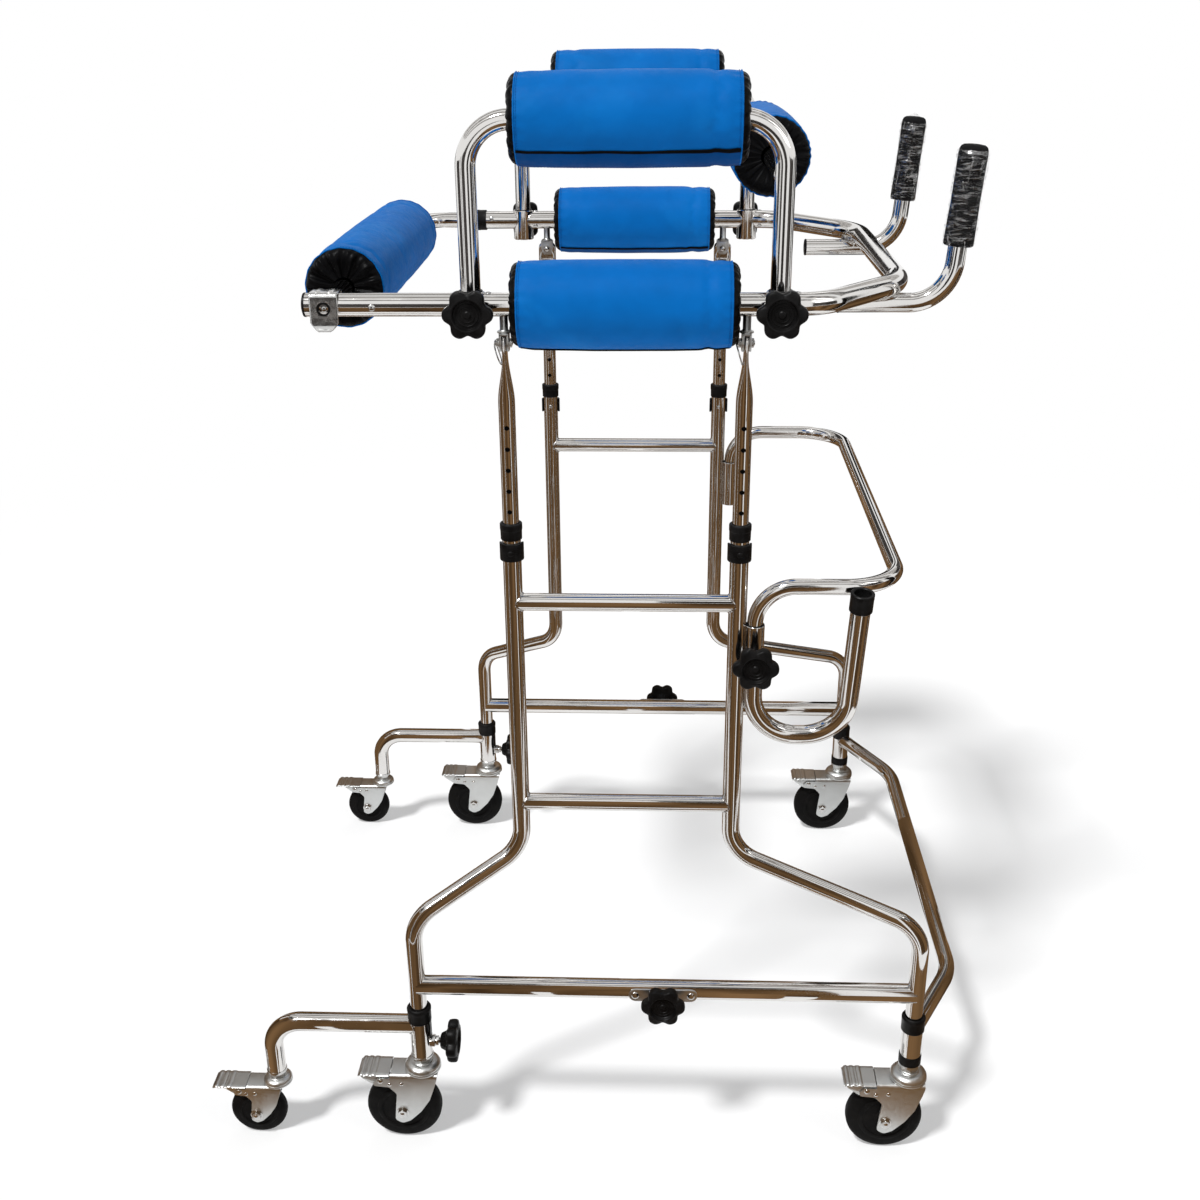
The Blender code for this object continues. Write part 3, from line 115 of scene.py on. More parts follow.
def rounded(outline: Profile, radius: Union[float, Sequence[float]], steps: int = 5) -> list[Flat]:
    """Round the corners of a closed flat outline.

    Args:
        outline: The corners in order.
        radius: One rounding for all corners, or one for each.
        steps: How many chords each rounding has.

    Returns:
        The points of the rounded outline.
    """
    count = len(outline)
    radii = [radius] * count if isinstance(radius, float) else radius
    points = []
    for index, size in enumerate(radii):
        corner = Vector(outline[index])
        back = Vector(outline[index - 1]) - corner
        ahead = Vector(outline[(index + 1) % count]) - corner
        room = 0.48 * min(back.length, ahead.length)
        half = back.angle(ahead) / 2
        reach = min(size / tan(half), room) if size > 0 else 0.0
        if reach < 1e-6 or half > 1.55:
            points.append(tuple(corner))
            continue
        first = corner + back.normalized() * reach
        last = corner + ahead.normalized() * reach
        for step in range(steps + 1):
            share = step / steps
            points.append(tuple(first * (1 - share) ** 2 + corner * (2 * share * (1 - share))
                                + last * share ** 2))
    return points


def stood(name: str, data: bpy.types.ID) -> bpy.types.Object:
    """Stand a new object in the scene.

    Args:
        name: The object's name.
        data: What it shows.

    Returns:
        The object.
    """
    item = bpy.data.objects.new(name, data)
    bpy.context.scene.collection.objects.link(item)
    return item


def settled(item: bpy.types.Object) -> Mesh:
    """Turn an object with modifiers into a plain mesh and remove it.

    Args:
        item: The object.

    Returns:
        The mesh.
    """
    bpy.context.view_layer.update()
    made = bpy.data.meshes.new_from_object(item.evaluated_get(bpy.context.evaluated_depsgraph_get()))
    bpy.data.objects.remove(item, do_unlink=True)
    return made


def modified(mesh: Mesh, *steps: tuple[str, dict]) -> Mesh:
    """Put a mesh through modifiers.

    Args:
        mesh: The mesh to start from.
        steps: Each modifier's type and its settings.

    Returns:
        A plain mesh.
    """
    item = stood("blank", mesh)
    for kind, settings in steps:
        step = item.modifiers.new(kind, kind)
        for key, value in settings.items():
            setattr(step, key, value)
    return settled(item)


def sheet_steps(thickness: float, edge: float, angle: float) -> tuple[tuple[str, dict], tuple[str, dict]]:
    """Give the modifiers that thicken a sheet and ease its edges over an angle in degrees."""
    return (("SOLIDIFY", {"thickness": thickness, "offset": 0.0}),
            ("BEVEL", {"width": edge, "segments": 2, "limit_method": "ANGLE", "angle_limit": radians(angle)}))


@contextmanager
def opened(mesh: Mesh) -> Iterator[bmesh.types.BMesh]:
    """Open a mesh for editing, and write it back after.

    Args:
        mesh: The mesh.

    Returns:
        The open mesh.
    """
    shape = bmesh.new()
    shape.from_mesh(mesh)
    yield shape
    shape.to_mesh(mesh)
    shape.free()


def bare(name: str, points: Sequence[Point], edges: Sequence = (), faces: Sequence = ()) -> Mesh:
    """Give a mesh of points, edges and faces.

    Args:
        name: Its name.
        points: Its points.
        edges: Its edges.
        faces: Its faces.

    Returns:
        The mesh.
    """
    mesh = bpy.data.meshes.new(name)
    mesh.from_pydata([tuple(point) for point in points], edges, faces)
    return mesh


def store(mesh: Mesh, name: str, values: Sequence, kind: str = "FLOAT", where: str = "POINT") -> None:
    """Store an attribute on a mesh, its vectors as a flat list."""
    mesh.attributes.new(name, kind, where).data.foreach_set("value" if kind == "FLOAT" else "vector", values)


def grid_faces(rows: int, columns: int, closed: bool = False) -> list[tuple[int, ...]]:
    """Give the faces of a grid of points, counted row by row.

    Args:
        rows: The number of rows.
        columns: The number of points in each row.
        closed: Whether each row closes on itself.

    Returns:
        The four point numbers of each face.
    """
    return [(row * columns + step, row * columns + (step + 1) % columns,
             (row + 1) * columns + (step + 1) % columns, (row + 1) * columns + step)
            for row in range(rows - 1) for step in range(columns if closed else columns - 1)]


class Form:
    """A mesh being made: plain lists of points and faces, joined piece by piece."""

    def __init__(self) -> None:
        """Start with nothing."""
        self.points: list[Vector] = []
        self.faces: list[tuple[int, ...]] = []

    def loft(self, rings: Lines, closed: bool = False, caps: bool = True, open_rings: bool = False) -> "Form":
        """Skin a run of rings that have the same count of points.

        Args:
            rings: The rings in order.
            closed: Join the last ring to the first.
            caps: Close the first and last ring with a face each.
            open_rings: The rings are open strips rather than loops.

        Returns:
            This form.
        """
        start, count, rows = len(self.points), len(rings[0]), len(rings)
        for line in rings:
            self.points.extend(Vector(point) for point in line)
        for row in range(rows if closed else rows - 1):
            low, high = start + row * count, start + (row + 1) % rows * count
            for index in range(count - 1 if open_rings else count):
                after = (index + 1) % count
                self.faces.append((low + index, low + after, high + after, high + index))
        if caps and not closed:
            self.faces.append(tuple(range(start + count - 1, start - 1, -1)))
            self.faces.append(tuple(range(start + (rows - 1) * count, start + rows * count)))
        return self

    def turn(self, profile: Profile, place: Matrix = Matrix(), steps: int = 48,
             closed: bool = False) -> "Form":
        """Turn a half profile of (radius, height) about Z.

        Args:
            profile: The half profile in order.
            place: Where the turned shape goes.
            steps: How many facets go round.
            closed: The profile is a closed ring round a bore.

        Returns:
            This form.
        """
        return self.loft([[place @ Vector(point) for point in ring(max(radius, 1e-5), height, steps)]
                          for radius, height in profile], closed)

    def rod(self, start: Point, end: Point, radius: float, steps: int = 32, ease: float = 0.0004) -> "Form":
        """Add a round bar between two points, its edges eased.

        Args:
            start: One end of its axis.
            end: The other end of it.
            radius: Its radius.
            steps: How many sides it has.
            ease: The width of its eased edges.

        Returns:
            This form.
        """
        length = (Vector(end) - Vector(start)).length
        profile = ((radius - ease, 0.0), (radius, ease), (radius, length - ease), (radius - ease, length))
        return self.turn(profile, aim(start, end), steps)

    def sleeve(self, start: Point, end: Point, outer: float, inner: float, steps: int = 36,
               ease: float = 0.0004) -> "Form":
        """Add a round sleeve with a bore between two points.

        Args:
            start: One end of its axis.
            end: The other end of it.
            outer: Its outer radius.
            inner: The radius of its bore.
            steps: How many sides it has.
            ease: The width of its eased edges.

        Returns:
            This form.
        """
        length = (Vector(end) - Vector(start)).length
        profile = ((inner, 0.0), (outer - ease, 0.0), (outer, ease), (outer, length - ease),
                   (outer - ease, length), (inner, length))
        return self.turn(profile, aim(start, end), steps, closed=True)

    def plate(self, outline: Profile, thickness: float, place: Matrix = Matrix()) -> "Form":
        """Add a flat plate, its closed outline in XY and its thickness centred on Z."""
        return self.loft([[place @ Vector((x, y, level)) for x, y in outline]
                          for level in (-thickness / 2, thickness / 2)])

    def hexagon(self, start: Point, end: Point, radius: float, bore: float = 0.0) -> "Form":
        """Add a hexagon nut between two points, its corners chamfered at both ends.

        Args:
            start: One end of its axis.
            end: The other end of it.
            radius: Its radius.
            bore: The radius of its bore, if any.

        Returns:
            This form.
        """
        length = (Vector(end) - Vector(start)).length
        place, steps, flat = aim(start, end), 48, radius * cos(pi / 6)
        rings = []
        for height, trim in ((0.0, 0.93), (length * 0.16, 1.0), (length * 0.84, 1.0), (length, 0.93)):
            line = []
            for angle in (tau * step / steps for step in range(steps)):
                off = (angle + pi / 6) % (pi / 3) - pi / 6
                line.append((*polar(min(flat / cos(off), radius * trim), angle), height))
            rings.append(line)
        if bore > 0:
            rings += [ring(bore, height, steps) for height in (length, 0.0)]
        return self.loft([[place @ Vector(point) for point in line] for line in rings], closed=bore > 0)

    def add(self, other: Union["Form", Mesh], place: Matrix = Matrix()) -> "Form":
        """Join another form or mesh in, moved to a place.

        Args:
            other: The form or mesh to join in.
            place: Where it goes.

        Returns:
            This form.
        """
        start = len(self.points)
        if isinstance(other, Form):
            points, faces = other.points, other.faces
        else:
            points, faces = [v.co for v in other.vertices], [face.vertices for face in other.polygons]
        self.points.extend(place @ point for point in points)
        self.faces.extend(tuple(start + index for index in face) for face in faces)
        return self

    def eased(self, width: float) -> "Form":
        """Give this form with its sharp edges bevelled.

        Args:
            width: The bevel's width.

        Returns:
            A new form.
        """
        mesh = self.mesh("eased")
        with opened(mesh) as shape:
            edges = [edge for edge in shape.edges
                     if edge.is_manifold and edge.calc_face_angle(0.0) > radians(35.0)]
            bmesh.ops.bevel(shape, geom=edges, offset=width, segments=2, affect="EDGES", profile=0.6,
                            clamp_overlap=True)
        return Form().add(mesh)

    def mesh(self, name: str) -> Mesh:
        """Give the finished mesh, its doubled points welded and its faces pointing outwards.

        Args:
            name: Its name.

        Returns:
            The mesh.
        """
        mesh = bare(name, self.points, faces=self.faces)
        with opened(mesh) as shape:
            bmesh.ops.remove_doubles(shape, verts=shape.verts, dist=2e-6)
            bmesh.ops.recalc_face_normals(shape, faces=shape.faces)
        return mesh


class Body(str, Enum):
    """The CAD bodies that have one name each."""

    BASE = "base"
    RING = "ring"
    ARCHES = "arches"
    GATE = "gate"
    BUTTON = "snap_button"
    LOOP = "loop"


class Slot(str, Enum):
    """The record's material slots."""

    CHROME = "chrome"
    ZINC = "zinc_plate"
    NYLON = "black_nylon"
    RUBBER = "black_rubber"
    CLOTH = "blue_cloth"
    FOAM = "black_foam"


class Nodes:
    """A node tree under construction."""

    def __init__(self, tree: bpy.types.NodeTree) -> None:
        """Take hold of the tree."""
        self.nodes, self.links = tree.nodes, tree.links

    def node(self, kind: str, inputs: Optional[dict] = None, prefix: str = "ShaderNode",
             **settings: object) -> bpy.types.Node:
        """Add a node.

        Args:
            kind: The node's type without its prefix.
            inputs: Values or sockets to give its inputs, by name or place.
            prefix: The prefix of its type.
            settings: The node's own settings.

        Returns:
            The node.
        """
        made = self.nodes.new(prefix + kind)
        for key, value in settings.items():
            setattr(made, key, value)
        for key, value in (inputs or {}).items():
            self.feed(made.inputs[key], value)
        return made

    def feed(self, socket: Socket, value: object) -> None:
        """Link a socket to another one, or set its value.

        Args:
            socket: The input.
            value: A socket, or a value.
        """
        if isinstance(value, Socket):
            self.links.new(value, socket)
        else:
            socket.default_value = value

    def sum(self, first: object, second: object, how: str = "ADD") -> Socket:
        """Combine two numbers with a Math node."""
        return self.node("Math", {0: first, 1: second}, operation=how).outputs[0]

    def spread(self, value: Socket, low: float, high: float, start: float = 0.3, end: float = 0.7,
               how: str = "LINEAR") -> Socket:
        """Map a value between start and end to low and high."""
        return self.node("MapRange", {"Value": value, "From Min": start, "From Max": end, "To Min": low,
                                      "To Max": high}, interpolation_type=how).outputs["Result"]

    def white_rays(self) -> Socket:
        """Give 1 on the camera's, the metals' and the glass's rays, else 0.

        Returns:
            The socket.
        """
        path = self.node("LightPath").outputs
        metal = self.sum(path["Is Camera Ray"], path["Is Glossy Ray"], "MAXIMUM")
        return self.sum(metal, path["Is Transmission Ray"], "MAXIMUM")


class Shader(Nodes):
    """A material under construction, with a Principled shader on its output."""

    def __init__(self, name: str) -> None:
        """Start a material.

        Args:
            name: Its name.
        """
        self.material = bpy.data.materials.new(name)
        self.material.use_nodes = True
        super().__init__(self.material.node_tree)
        self.surface = self.nodes["Principled BSDF"]

    def place(self, stretch: Point = (1.0, 1.0, 1.0), source: str = "Object") -> Socket:
        """Give Object coordinates, or a place stored on the cloth, stretched.

        Args:
            stretch: The scale along each axis.
            source: Where the coordinates come from.

        Returns:
            The coordinates.
        """
        if source == "Object":
            where = self.node("TexCoord").outputs["Object"]
        else:
            where = self.node("Attribute", attribute_name=source).outputs["Vector"]
        return self.node("Mapping", {"Vector": where, "Scale": stretch}).outputs["Vector"]

    def grain(self, scale: float, detail: float = 3.0, stretch: Point = (1.0, 1.0, 1.0),
              distortion: float = 0.0) -> Socket:
        """Give noise from 0 to 1 on the object's own coordinates."""
        return self.node("TexNoise", {"Vector": self.place(stretch), "Scale": scale, "Detail": detail,
                                      "Distortion": distortion}).outputs["Fac"]

    def tint(self, share: Socket, first: Union[Socket, Colour], second: Colour) -> Socket:
        """Mix two linear colours by a share.

        Args:
            share: The second colour's share.
            first: The first colour.
            second: The second colour.

        Returns:
            The colour.
        """
        mix = self.node("Mix", data_type="RGBA")
        for key, value in (("Factor", share), ("A", first), ("B", second)):
            self.feed(mix.inputs[key], value if isinstance(value, Socket) else (*value, 1.0))
        return mix.outputs["Result"]

    def bump(self, height: Socket, depth: float, strength: float = 1.0,
             normal: Optional[Socket] = None) -> Socket:
        """Give a normal bumped by a height field of a real depth in metres.

        Args:
            height: The height field.
            depth: Its real depth in metres.
            strength: How strongly it shows.
            normal: The normal to bump.

        Returns:
            The normal.
        """
        under = {} if normal is None else {"Normal": normal}
        inputs = {"Height": height, "Distance": depth, "Strength": strength, **under}
        return self.node("Bump", inputs).outputs["Normal"]

    def set(self, **values: object) -> "Shader":
        """Set or link the Principled shader's inputs, with spaces written as underscores.

        Args:
            values: The values or sockets by name.

        Returns:
            This shader.
        """
        for key, value in values.items():
            self.feed(self.surface.inputs[key.replace("_", " ")], value)
        return self

    def end(self, surface: Socket) -> "Shader":
        """Lead another surface out than the Principled shader."""
        self.feed(self.nodes["Material Output"].inputs["Surface"], surface)
        return self


def scaled(colour: Colour, share: float) -> Colour:
    """Give a colour made darker or lighter by a share."""
    return tuple(channel * share for channel in colour)


@dataclass(frozen=True)
class Finish:
    """A finish: its name, its record slot and its linear colour."""

    name: str
    slot: Optional[Slot]
    colour: Colour

    def shader(self) -> Shader:
        """Make the material's nodes."""
        raise NotImplementedError

    def material(self) -> bpy.types.Material:
        """Give the finish's material, made the first time that it is asked for."""
        return bpy.data.materials.get(self.name) or self.shader().material


@dataclass(frozen=True)
class Chrome(Finish):
    """Bright plating with faint draw lines and a breath of haze."""

    roughness: float = 0.055

    def shader(self) -> Shader:
        """Make the material's nodes.

        Returns:
            The finished shader.
        """
        made = Shader(self.name).set(Metallic=1.0)
        cloud = made.grain(9.0, 4.0)
        haze = made.spread(made.grain(55.0, 5.0), self.roughness, self.roughness + 0.055)
        pits = made.spread(made.grain(900.0, 2.0), 0.0, 1.0, 0.66, 0.74)
        tone = made.tint(made.spread(cloud, 0.0, 1.0), scaled(self.colour, 0.90), self.colour)
        made.set(Base_Color=tone, Roughness=made.sum(haze, made.sum(pits, 0.10, "MULTIPLY")))
        return made.set(Normal=made.bump(made.grain(38.0), 0.0004, 0.10))


@dataclass(frozen=True)
class Zinc(Finish):
    """Satin zinc on stamped steel: cloudy patches, rolled grain and dulled places."""

    roughness: float = 0.26

    def shader(self) -> Shader:
        """Make the material's nodes.

        Returns:
            The finished shader.
        """
        made = Shader(self.name).set(Metallic=1.0)
        cloud = made.grain(34.0, 6.0, distortion=0.6)
        tone = made.tint(made.spread(cloud, 0.0, 1.0, 0.25, 0.75), scaled(self.colour, 0.90), self.colour)
        rough = made.spread(made.grain(240.0, 4.0), self.roughness - 0.05, self.roughness + 0.10)
        made.set(Base_Color=tone, Roughness=rough)
        return made.set(Normal=made.bump(made.grain(160.0, 4.0, (0.3, 1.0, 1.0)), 0.00012, 0.07))


@dataclass(frozen=True)
class Moulded(Finish):
    """Moulded black plastic with spark-eroded grain and faint handling marks."""

    roughness: float = 0.38

    def shader(self) -> Shader:
        """Make the material's nodes.

        Returns:
            The finished shader.
        """
        made = Shader(self.name).set(Specular_IOR_Level=0.12)
        wear = made.spread(made.grain(75.0, 6.0), 0.0, 1.0, 0.42, 0.72)
        rubbed = tuple(channel * 2.2 + 0.0015 for channel in self.colour)
        rough = made.spread(made.grain(120.0, 4.0), self.roughness - 0.08, self.roughness + 0.12)
        made.set(Base_Color=made.tint(wear, self.colour, rubbed), Roughness=rough)
        return made.set(Normal=made.bump(made.grain(2600.0, 2.0), 0.00010, 0.35))


@dataclass(frozen=True)
class Rubber(Finish):
    """Dull one-piece wheel rubber, dusted where it has run on the floor."""

    def shader(self) -> Shader:
        """Make the material's nodes.

        Returns:
            The finished shader.
        """
        made = Shader(self.name).set(Specular_IOR_Level=0.09)
        dust = made.spread(made.grain(48.0, 7.0, distortion=0.4), 0.0, 0.55, 0.46, 0.78)
        made.set(Base_Color=made.tint(dust, self.colour, (0.009, 0.0078, 0.0068)),
                 Roughness=made.spread(made.grain(90.0, 4.0), 0.52, 0.74))
        return made.set(Normal=made.bump(made.grain(1500.0, 3.0), 0.00016, 0.5))


@dataclass(frozen=True)
class Foam(Finish):
    """Closed-cell sleeve foam: fine pores with softened edges."""

    def shader(self) -> Shader:
        """Make the material's nodes.

        Returns:
            The finished shader.
        """
        made = Shader(self.name).set(Specular_IOR_Level=0.10, Roughness=0.82)
        cells = made.node("TexVoronoi", {"Vector": made.place(), "Scale": 1300.0}).outputs["Distance"]
        tone = made.tint(made.spread(made.grain(200.0, 4.0), 0.0, 1.0), self.colour, (0.010, 0.010, 0.011))
        return made.set(Base_Color=tone, Normal=made.bump(cells, 0.0003, 0.8))


@dataclass(frozen=True)
class Woven(Finish):
    """Plain-woven coated cloth: warp and weft, slack ripples, paler rubbed places and painted shade in the
    gaps between threads.
    """

    pale: Colour
    threads: float = 1900.0
    sheen: float = 0.02
    roughness: float = 0.52

    def shader(self) -> Shader:
        """Make the material's nodes.

        Returns:
            The finished shader.
        """
        made = Shader(self.name).set(Specular_IOR_Level=0.05, Sheen_Weight=self.sheen, Sheen_Roughness=0.4)
        warp, weft = (made.node("TexWave", {"Vector": made.place(source="cloth"),
                                            "Scale": self.threads / 6.2832, "Distortion": 0.6, "Detail": 1.0,
                                            "Detail Scale": 0.4}, bands_direction=way).outputs["Fac"]
                      for way in "XY")
        weave = made.sum(warp, weft, "MAXIMUM")
        rub = made.spread(made.grain(11.0, 6.0, distortion=0.8), 0.0, 0.30, 0.52, 0.80)
        mottle = made.spread(made.grain(26.0, 5.0), 0.0, 1.0, 0.30, 0.70)
        tone = made.tint(mottle, scaled(self.colour, 0.86), self.colour)
        worn = made.tint(rub, tone, self.pale)
        # Painted shade: the colour darkens towards 0.4 of the cloth's own colour in the gaps between threads.
        painted_thread_shade = made.tint(made.spread(weave, 0.10, 0.0, 0.0, 1.0), worn, scaled(self.colour, 0.4))
        rough = made.spread(made.grain(140.0, 4.0), self.roughness - 0.06, self.roughness + 0.10)
        ripple = made.bump(made.grain(60.0, 4.0, distortion=0.5), 0.0009, 0.16)
        return made.set(Base_Color=painted_thread_shade, Roughness=rough, Normal=made.bump(weave, 0.00012, 0.5, ripple))


@dataclass(frozen=True)
class ClearFilm(Finish):
    """Thin clear wrapping film: seen only by its glints and creases."""

    def shader(self) -> Shader:
        """Make the material's nodes.

        Returns:
            The finished shader.
        """
        made = Shader(self.name)
        folds = made.grain(330.0, 5.0, (0.16, 0.16, 1.0), 0.9)
        long = made.grain(95.0, 5.0, (1.3, 1.3, 0.30), 1.6)
        normal = made.bump(folds, 0.0016, 0.8)
        glint = made.node("BsdfGlossy", {"Color": (1.0, 1.0, 1.0, 1.0), "Roughness": 0.20, "Normal": normal})
        clear = made.node("BsdfTransparent", {"Color": (0.97, 0.97, 0.97, 1.0)})
        crease = made.sum(made.spread(folds, 0.0, 0.32, 0.48, 0.68), made.spread(long, 0.0, 0.36, 0.60, 0.67))
        share = made.node("Clamp", {"Value": made.sum(crease, 0.012), "Max": 0.75}).outputs[0]
        mix = made.node("MixShader", {0: share, 1: clear.outputs[0], 2: glint.outputs[0]})
        return made.end(mix.outputs[0])


CHROME = Chrome("chrome_plate", Slot.CHROME, (0.78, 0.765, 0.745))
WELD = Chrome("plated_weld", Slot.CHROME, (0.56, 0.545, 0.53), 0.16)
ZINC = Zinc("zinc_plate_satin", Slot.ZINC, (0.64, 0.655, 0.65), 0.33)
BRIGHT_ZINC = Zinc("zinc_plate_bright", Slot.ZINC, (0.62, 0.62, 0.61), 0.16)
NYLON = Moulded("moulded_black_nylon", Slot.NYLON, (0.0035, 0.0033, 0.0033))
# Painted shade: a near-black, rough finish for pieces laid inside bores and gaps, which are only in shade.
PAINTED_BORE_SHADE = Moulded("dark_bore", Slot.NYLON, (0.002, 0.002, 0.002), 0.60)
TYRE = Rubber("wheel_rubber", Slot.RUBBER, (0.0035, 0.0033, 0.0032))
BLUE = Woven("blue_woven_cloth", Slot.CLOTH, (0.0009, 0.136, 0.472), (0.012, 0.250, 0.700))
FLAP = Woven("blue_flap_cloth", Slot.CLOTH, (0.0005, 0.060, 0.225), (0.007, 0.115, 0.360))
GATHERED = Woven("black_gathered_cloth", Slot.NYLON, (0.0030, 0.0030, 0.0034), (0.016, 0.016, 0.018),
                 1900.0, 0.0, 0.30)
BINDING = Woven("black_binding_tape", Slot.NYLON, (0.0028, 0.0028, 0.0034), (0.010, 0.010, 0.011),
                2400.0, 0.0, 0.55)
THREAD = Woven("blue_thread", Slot.CLOTH, (0.004, 0.090, 0.330), (0.020, 0.180, 0.480), 4000.0)
FOAM = Foam("black_sleeve_foam", Slot.FOAM, (0.0035, 0.0035, 0.0036))
FILM = ClearFilm("clear_wrapping_film", None, (1.0, 1.0, 1.0))


class Tree(Nodes):
    """A Geometry Nodes tree with named inputs that ends in Realize Instances and Set Material."""

    def __init__(self, name: str, **inputs: object) -> None:
        """Start a tree.

        Args:
            name: The tree's name.
            inputs: Its named inputs with their default values.
        """
        self.group = bpy.data.node_groups.new(name, "GeometryNodeTree")
        super().__init__(self.group)
        face = self.group.interface
        face.new_socket("Geometry", in_out="INPUT", socket_type="NodeSocketGeometry")
        kinds = {int: "NodeSocketInt", float: "NodeSocketFloat", tuple: "NodeSocketVector"}
        for label, value in inputs.items():
            socket = face.new_socket(label.replace("_", " "), in_out="INPUT", socket_type=kinds[type(value)])
            socket.default_value = value
        face.new_socket("Material", in_out="INPUT", socket_type="NodeSocketMaterial")
        face.new_socket("Geometry", in_out="OUTPUT", socket_type="NodeSocketGeometry")
        self.input = self.nodes.new("NodeGroupInput").outputs

    def step(self, kind: str, inputs: Optional[dict] = None, **settings: object) -> Socket:
        """Add a geometry node and give its first output."""
        return self.node(kind, inputs, "GeometryNode", **settings).outputs[0]

    def attribute(self, name: str, kind: str = "FLOAT") -> Socket:
        """Give the socket that reads a named attribute."""
        return self.step("InputNamedAttribute", {"Name": name}, data_type=kind)

    def vector(self, **parts: object) -> Socket:
        """Join numbers into a vector."""
        return self.node("CombineXYZ", parts).outputs[0]

    def facing(self, way: Socket) -> Socket:
        """Give the rotation that turns +Z to a way."""
        return self.node("AlignRotationToVector", {"Vector": way}, "FunctionNode", axis="Z").outputs[0]

    def copies(self, points: Socket, item: Socket, **inputs: object) -> Socket:
        """Set a copy of a shape on each point."""
        return self.step("InstanceOnPoints", {"Points": points, "Instance": item, **inputs})

    def close(self, geometry: Socket) -> "Tree":
        """Realize the instances, set the material and lead the result out.

        Args:
            geometry: The result.

        Returns:
            This tree.
        """
        real = self.step("RealizeInstances", {"Geometry": geometry})
        smooth = self.step("SetShadeSmooth", {"Geometry": real})
        dressed = self.step("SetMaterial", {"Geometry": smooth, "Material": self.input["Material"]})
        self.feed(self.nodes.new("NodeGroupOutput").inputs[0], dressed)
        return self

    def run(self, mesh: Mesh, finish: Finish, **values: object) -> Mesh:
        """Put a mesh through the tree.

        Args:
            mesh: What the tree starts from.
            finish: The finish that the result gets.
            values: The tree's inputs by name.

        Returns:
            A plain mesh.
        """
        item = stood("blank", mesh)
        step = item.modifiers.new("tree", "NODES")
        step.node_group = self.group
        wanted = {key.replace("_", " "): value for key, value in values.items()}
        wanted["Material"] = finish.material()
        for socket in self.group.interface.items_tree:
            if socket.in_out == "INPUT" and socket.name in wanted:
                step[socket.identifier] = wanted[socket.name]
        return settled(item)


def bent_tube_tree() -> Tree:
    """Make the tree that turns polylines into bent tubes, by each point's radius and bend.

    Returns:
        The tree.
    """
    tree = Tree("bent_tubes", Sides=36, Bend_Steps=14)
    curve = tree.step("MeshToCurve", {"Mesh": tree.input["Geometry"]})
    bent = tree.step("FilletCurve", {"Curve": curve, "Count": tree.input["Bend Steps"],
                                     "Radius": tree.attribute("bend"), "Limit Radius": True}, mode="POLY")
    profile = tree.step("CurvePrimitiveCircle", {"Resolution": tree.input["Sides"], "Radius": 1.0})
    return tree.close(tree.step("CurveToMesh", {"Curve": bent, "Profile Curve": profile,
                                                "Scale": tree.attribute("radius"), "Fill Caps": True}))


def weld_tree() -> Tree:
    """Make the tree that lays an uneven bead along each closed line.

    Returns:
        The tree.
    """
    tree = Tree("weld_beads", Bead=0.0012, Unevenness=0.45)
    curve = tree.step("MeshToCurve", {"Mesh": tree.input["Geometry"]})
    even = tree.step("ResampleCurve", {"Curve": curve, "Length": 0.0011}, mode="LENGTH")
    ripple = tree.node("TexNoise", {"Vector": tree.step("InputPosition"), "Scale": 420.0, "Detail": 2.0})
    swing = tree.sum(tree.sum(ripple.outputs[0], 0.5, "SUBTRACT"), tree.input["Unevenness"], "MULTIPLY")
    size = tree.sum(tree.sum(tree.sum(swing, 2.0, "MULTIPLY"), 1.0), tree.input["Bead"], "MULTIPLY")
    profile = tree.step("CurvePrimitiveCircle", {"Resolution": 8, "Radius": 1.0})
    return tree.close(tree.step("CurveToMesh", {"Curve": even, "Profile Curve": profile, "Scale": size}))


def stitch_tree() -> Tree:
    """Make the tree that lays a row of stitches along each line.

    Returns:
        The tree.
    """
    tree = Tree("stitch_row", Pitch=0.0036, Thread=0.00028, Reach=0.0012)
    curve = tree.step("MeshToCurve", {"Mesh": tree.input["Geometry"]})
    spots = tree.node("CurveToPoints", {"Curve": curve, "Length": tree.input["Pitch"]}, "GeometryNode",
                      mode="LENGTH").outputs
    along = tree.facing(spots["Tangent"])
    bead = tree.step("MeshUVSphere", {"Segments": 6, "Rings": 5, "Radius": 1.0})
    size = tree.vector(X=tree.input["Thread"], Y=tree.input["Thread"], Z=tree.input["Reach"])
    return tree.close(tree.copies(spots["Points"], bead, Rotation=along, Scale=size))


def dome_tree() -> Tree:
    """Make the tree that sets a domed rivet head on each point, by its size and facing.

    Returns:
        The tree.
    """
    tree = Tree("domed_heads", Flatness=0.55)
    ball = tree.step("MeshUVSphere", {"Segments": 20, "Rings": 12, "Radius": 1.0})
    size = tree.attribute("size")
    scale = tree.vector(X=size, Y=size, Z=tree.sum(size, tree.input["Flatness"], "MULTIPLY"))
    facing = tree.facing(tree.attribute("facing", "FLOAT_VECTOR"))
    return tree.close(tree.copies(tree.input["Geometry"], ball, Rotation=facing, Scale=scale))


def spoke_tree() -> Tree:
    """Make the tree that repeats a shape round Z.

    Returns:
        The tree.
    """
    tree = Tree("round_repeat", Count=6)
    line = tree.step("MeshLine", {"Count": tree.input["Count"], "Offset": (0.0, 0.0, 0.0)})
    share = tree.sum(tree.step("InputIndex"), tree.input["Count"], "DIVIDE")
    turn = tree.vector(Z=tree.sum(share, tau, "MULTIPLY"))
    return tree.close(tree.copies(line, tree.input["Geometry"], Rotation=turn))


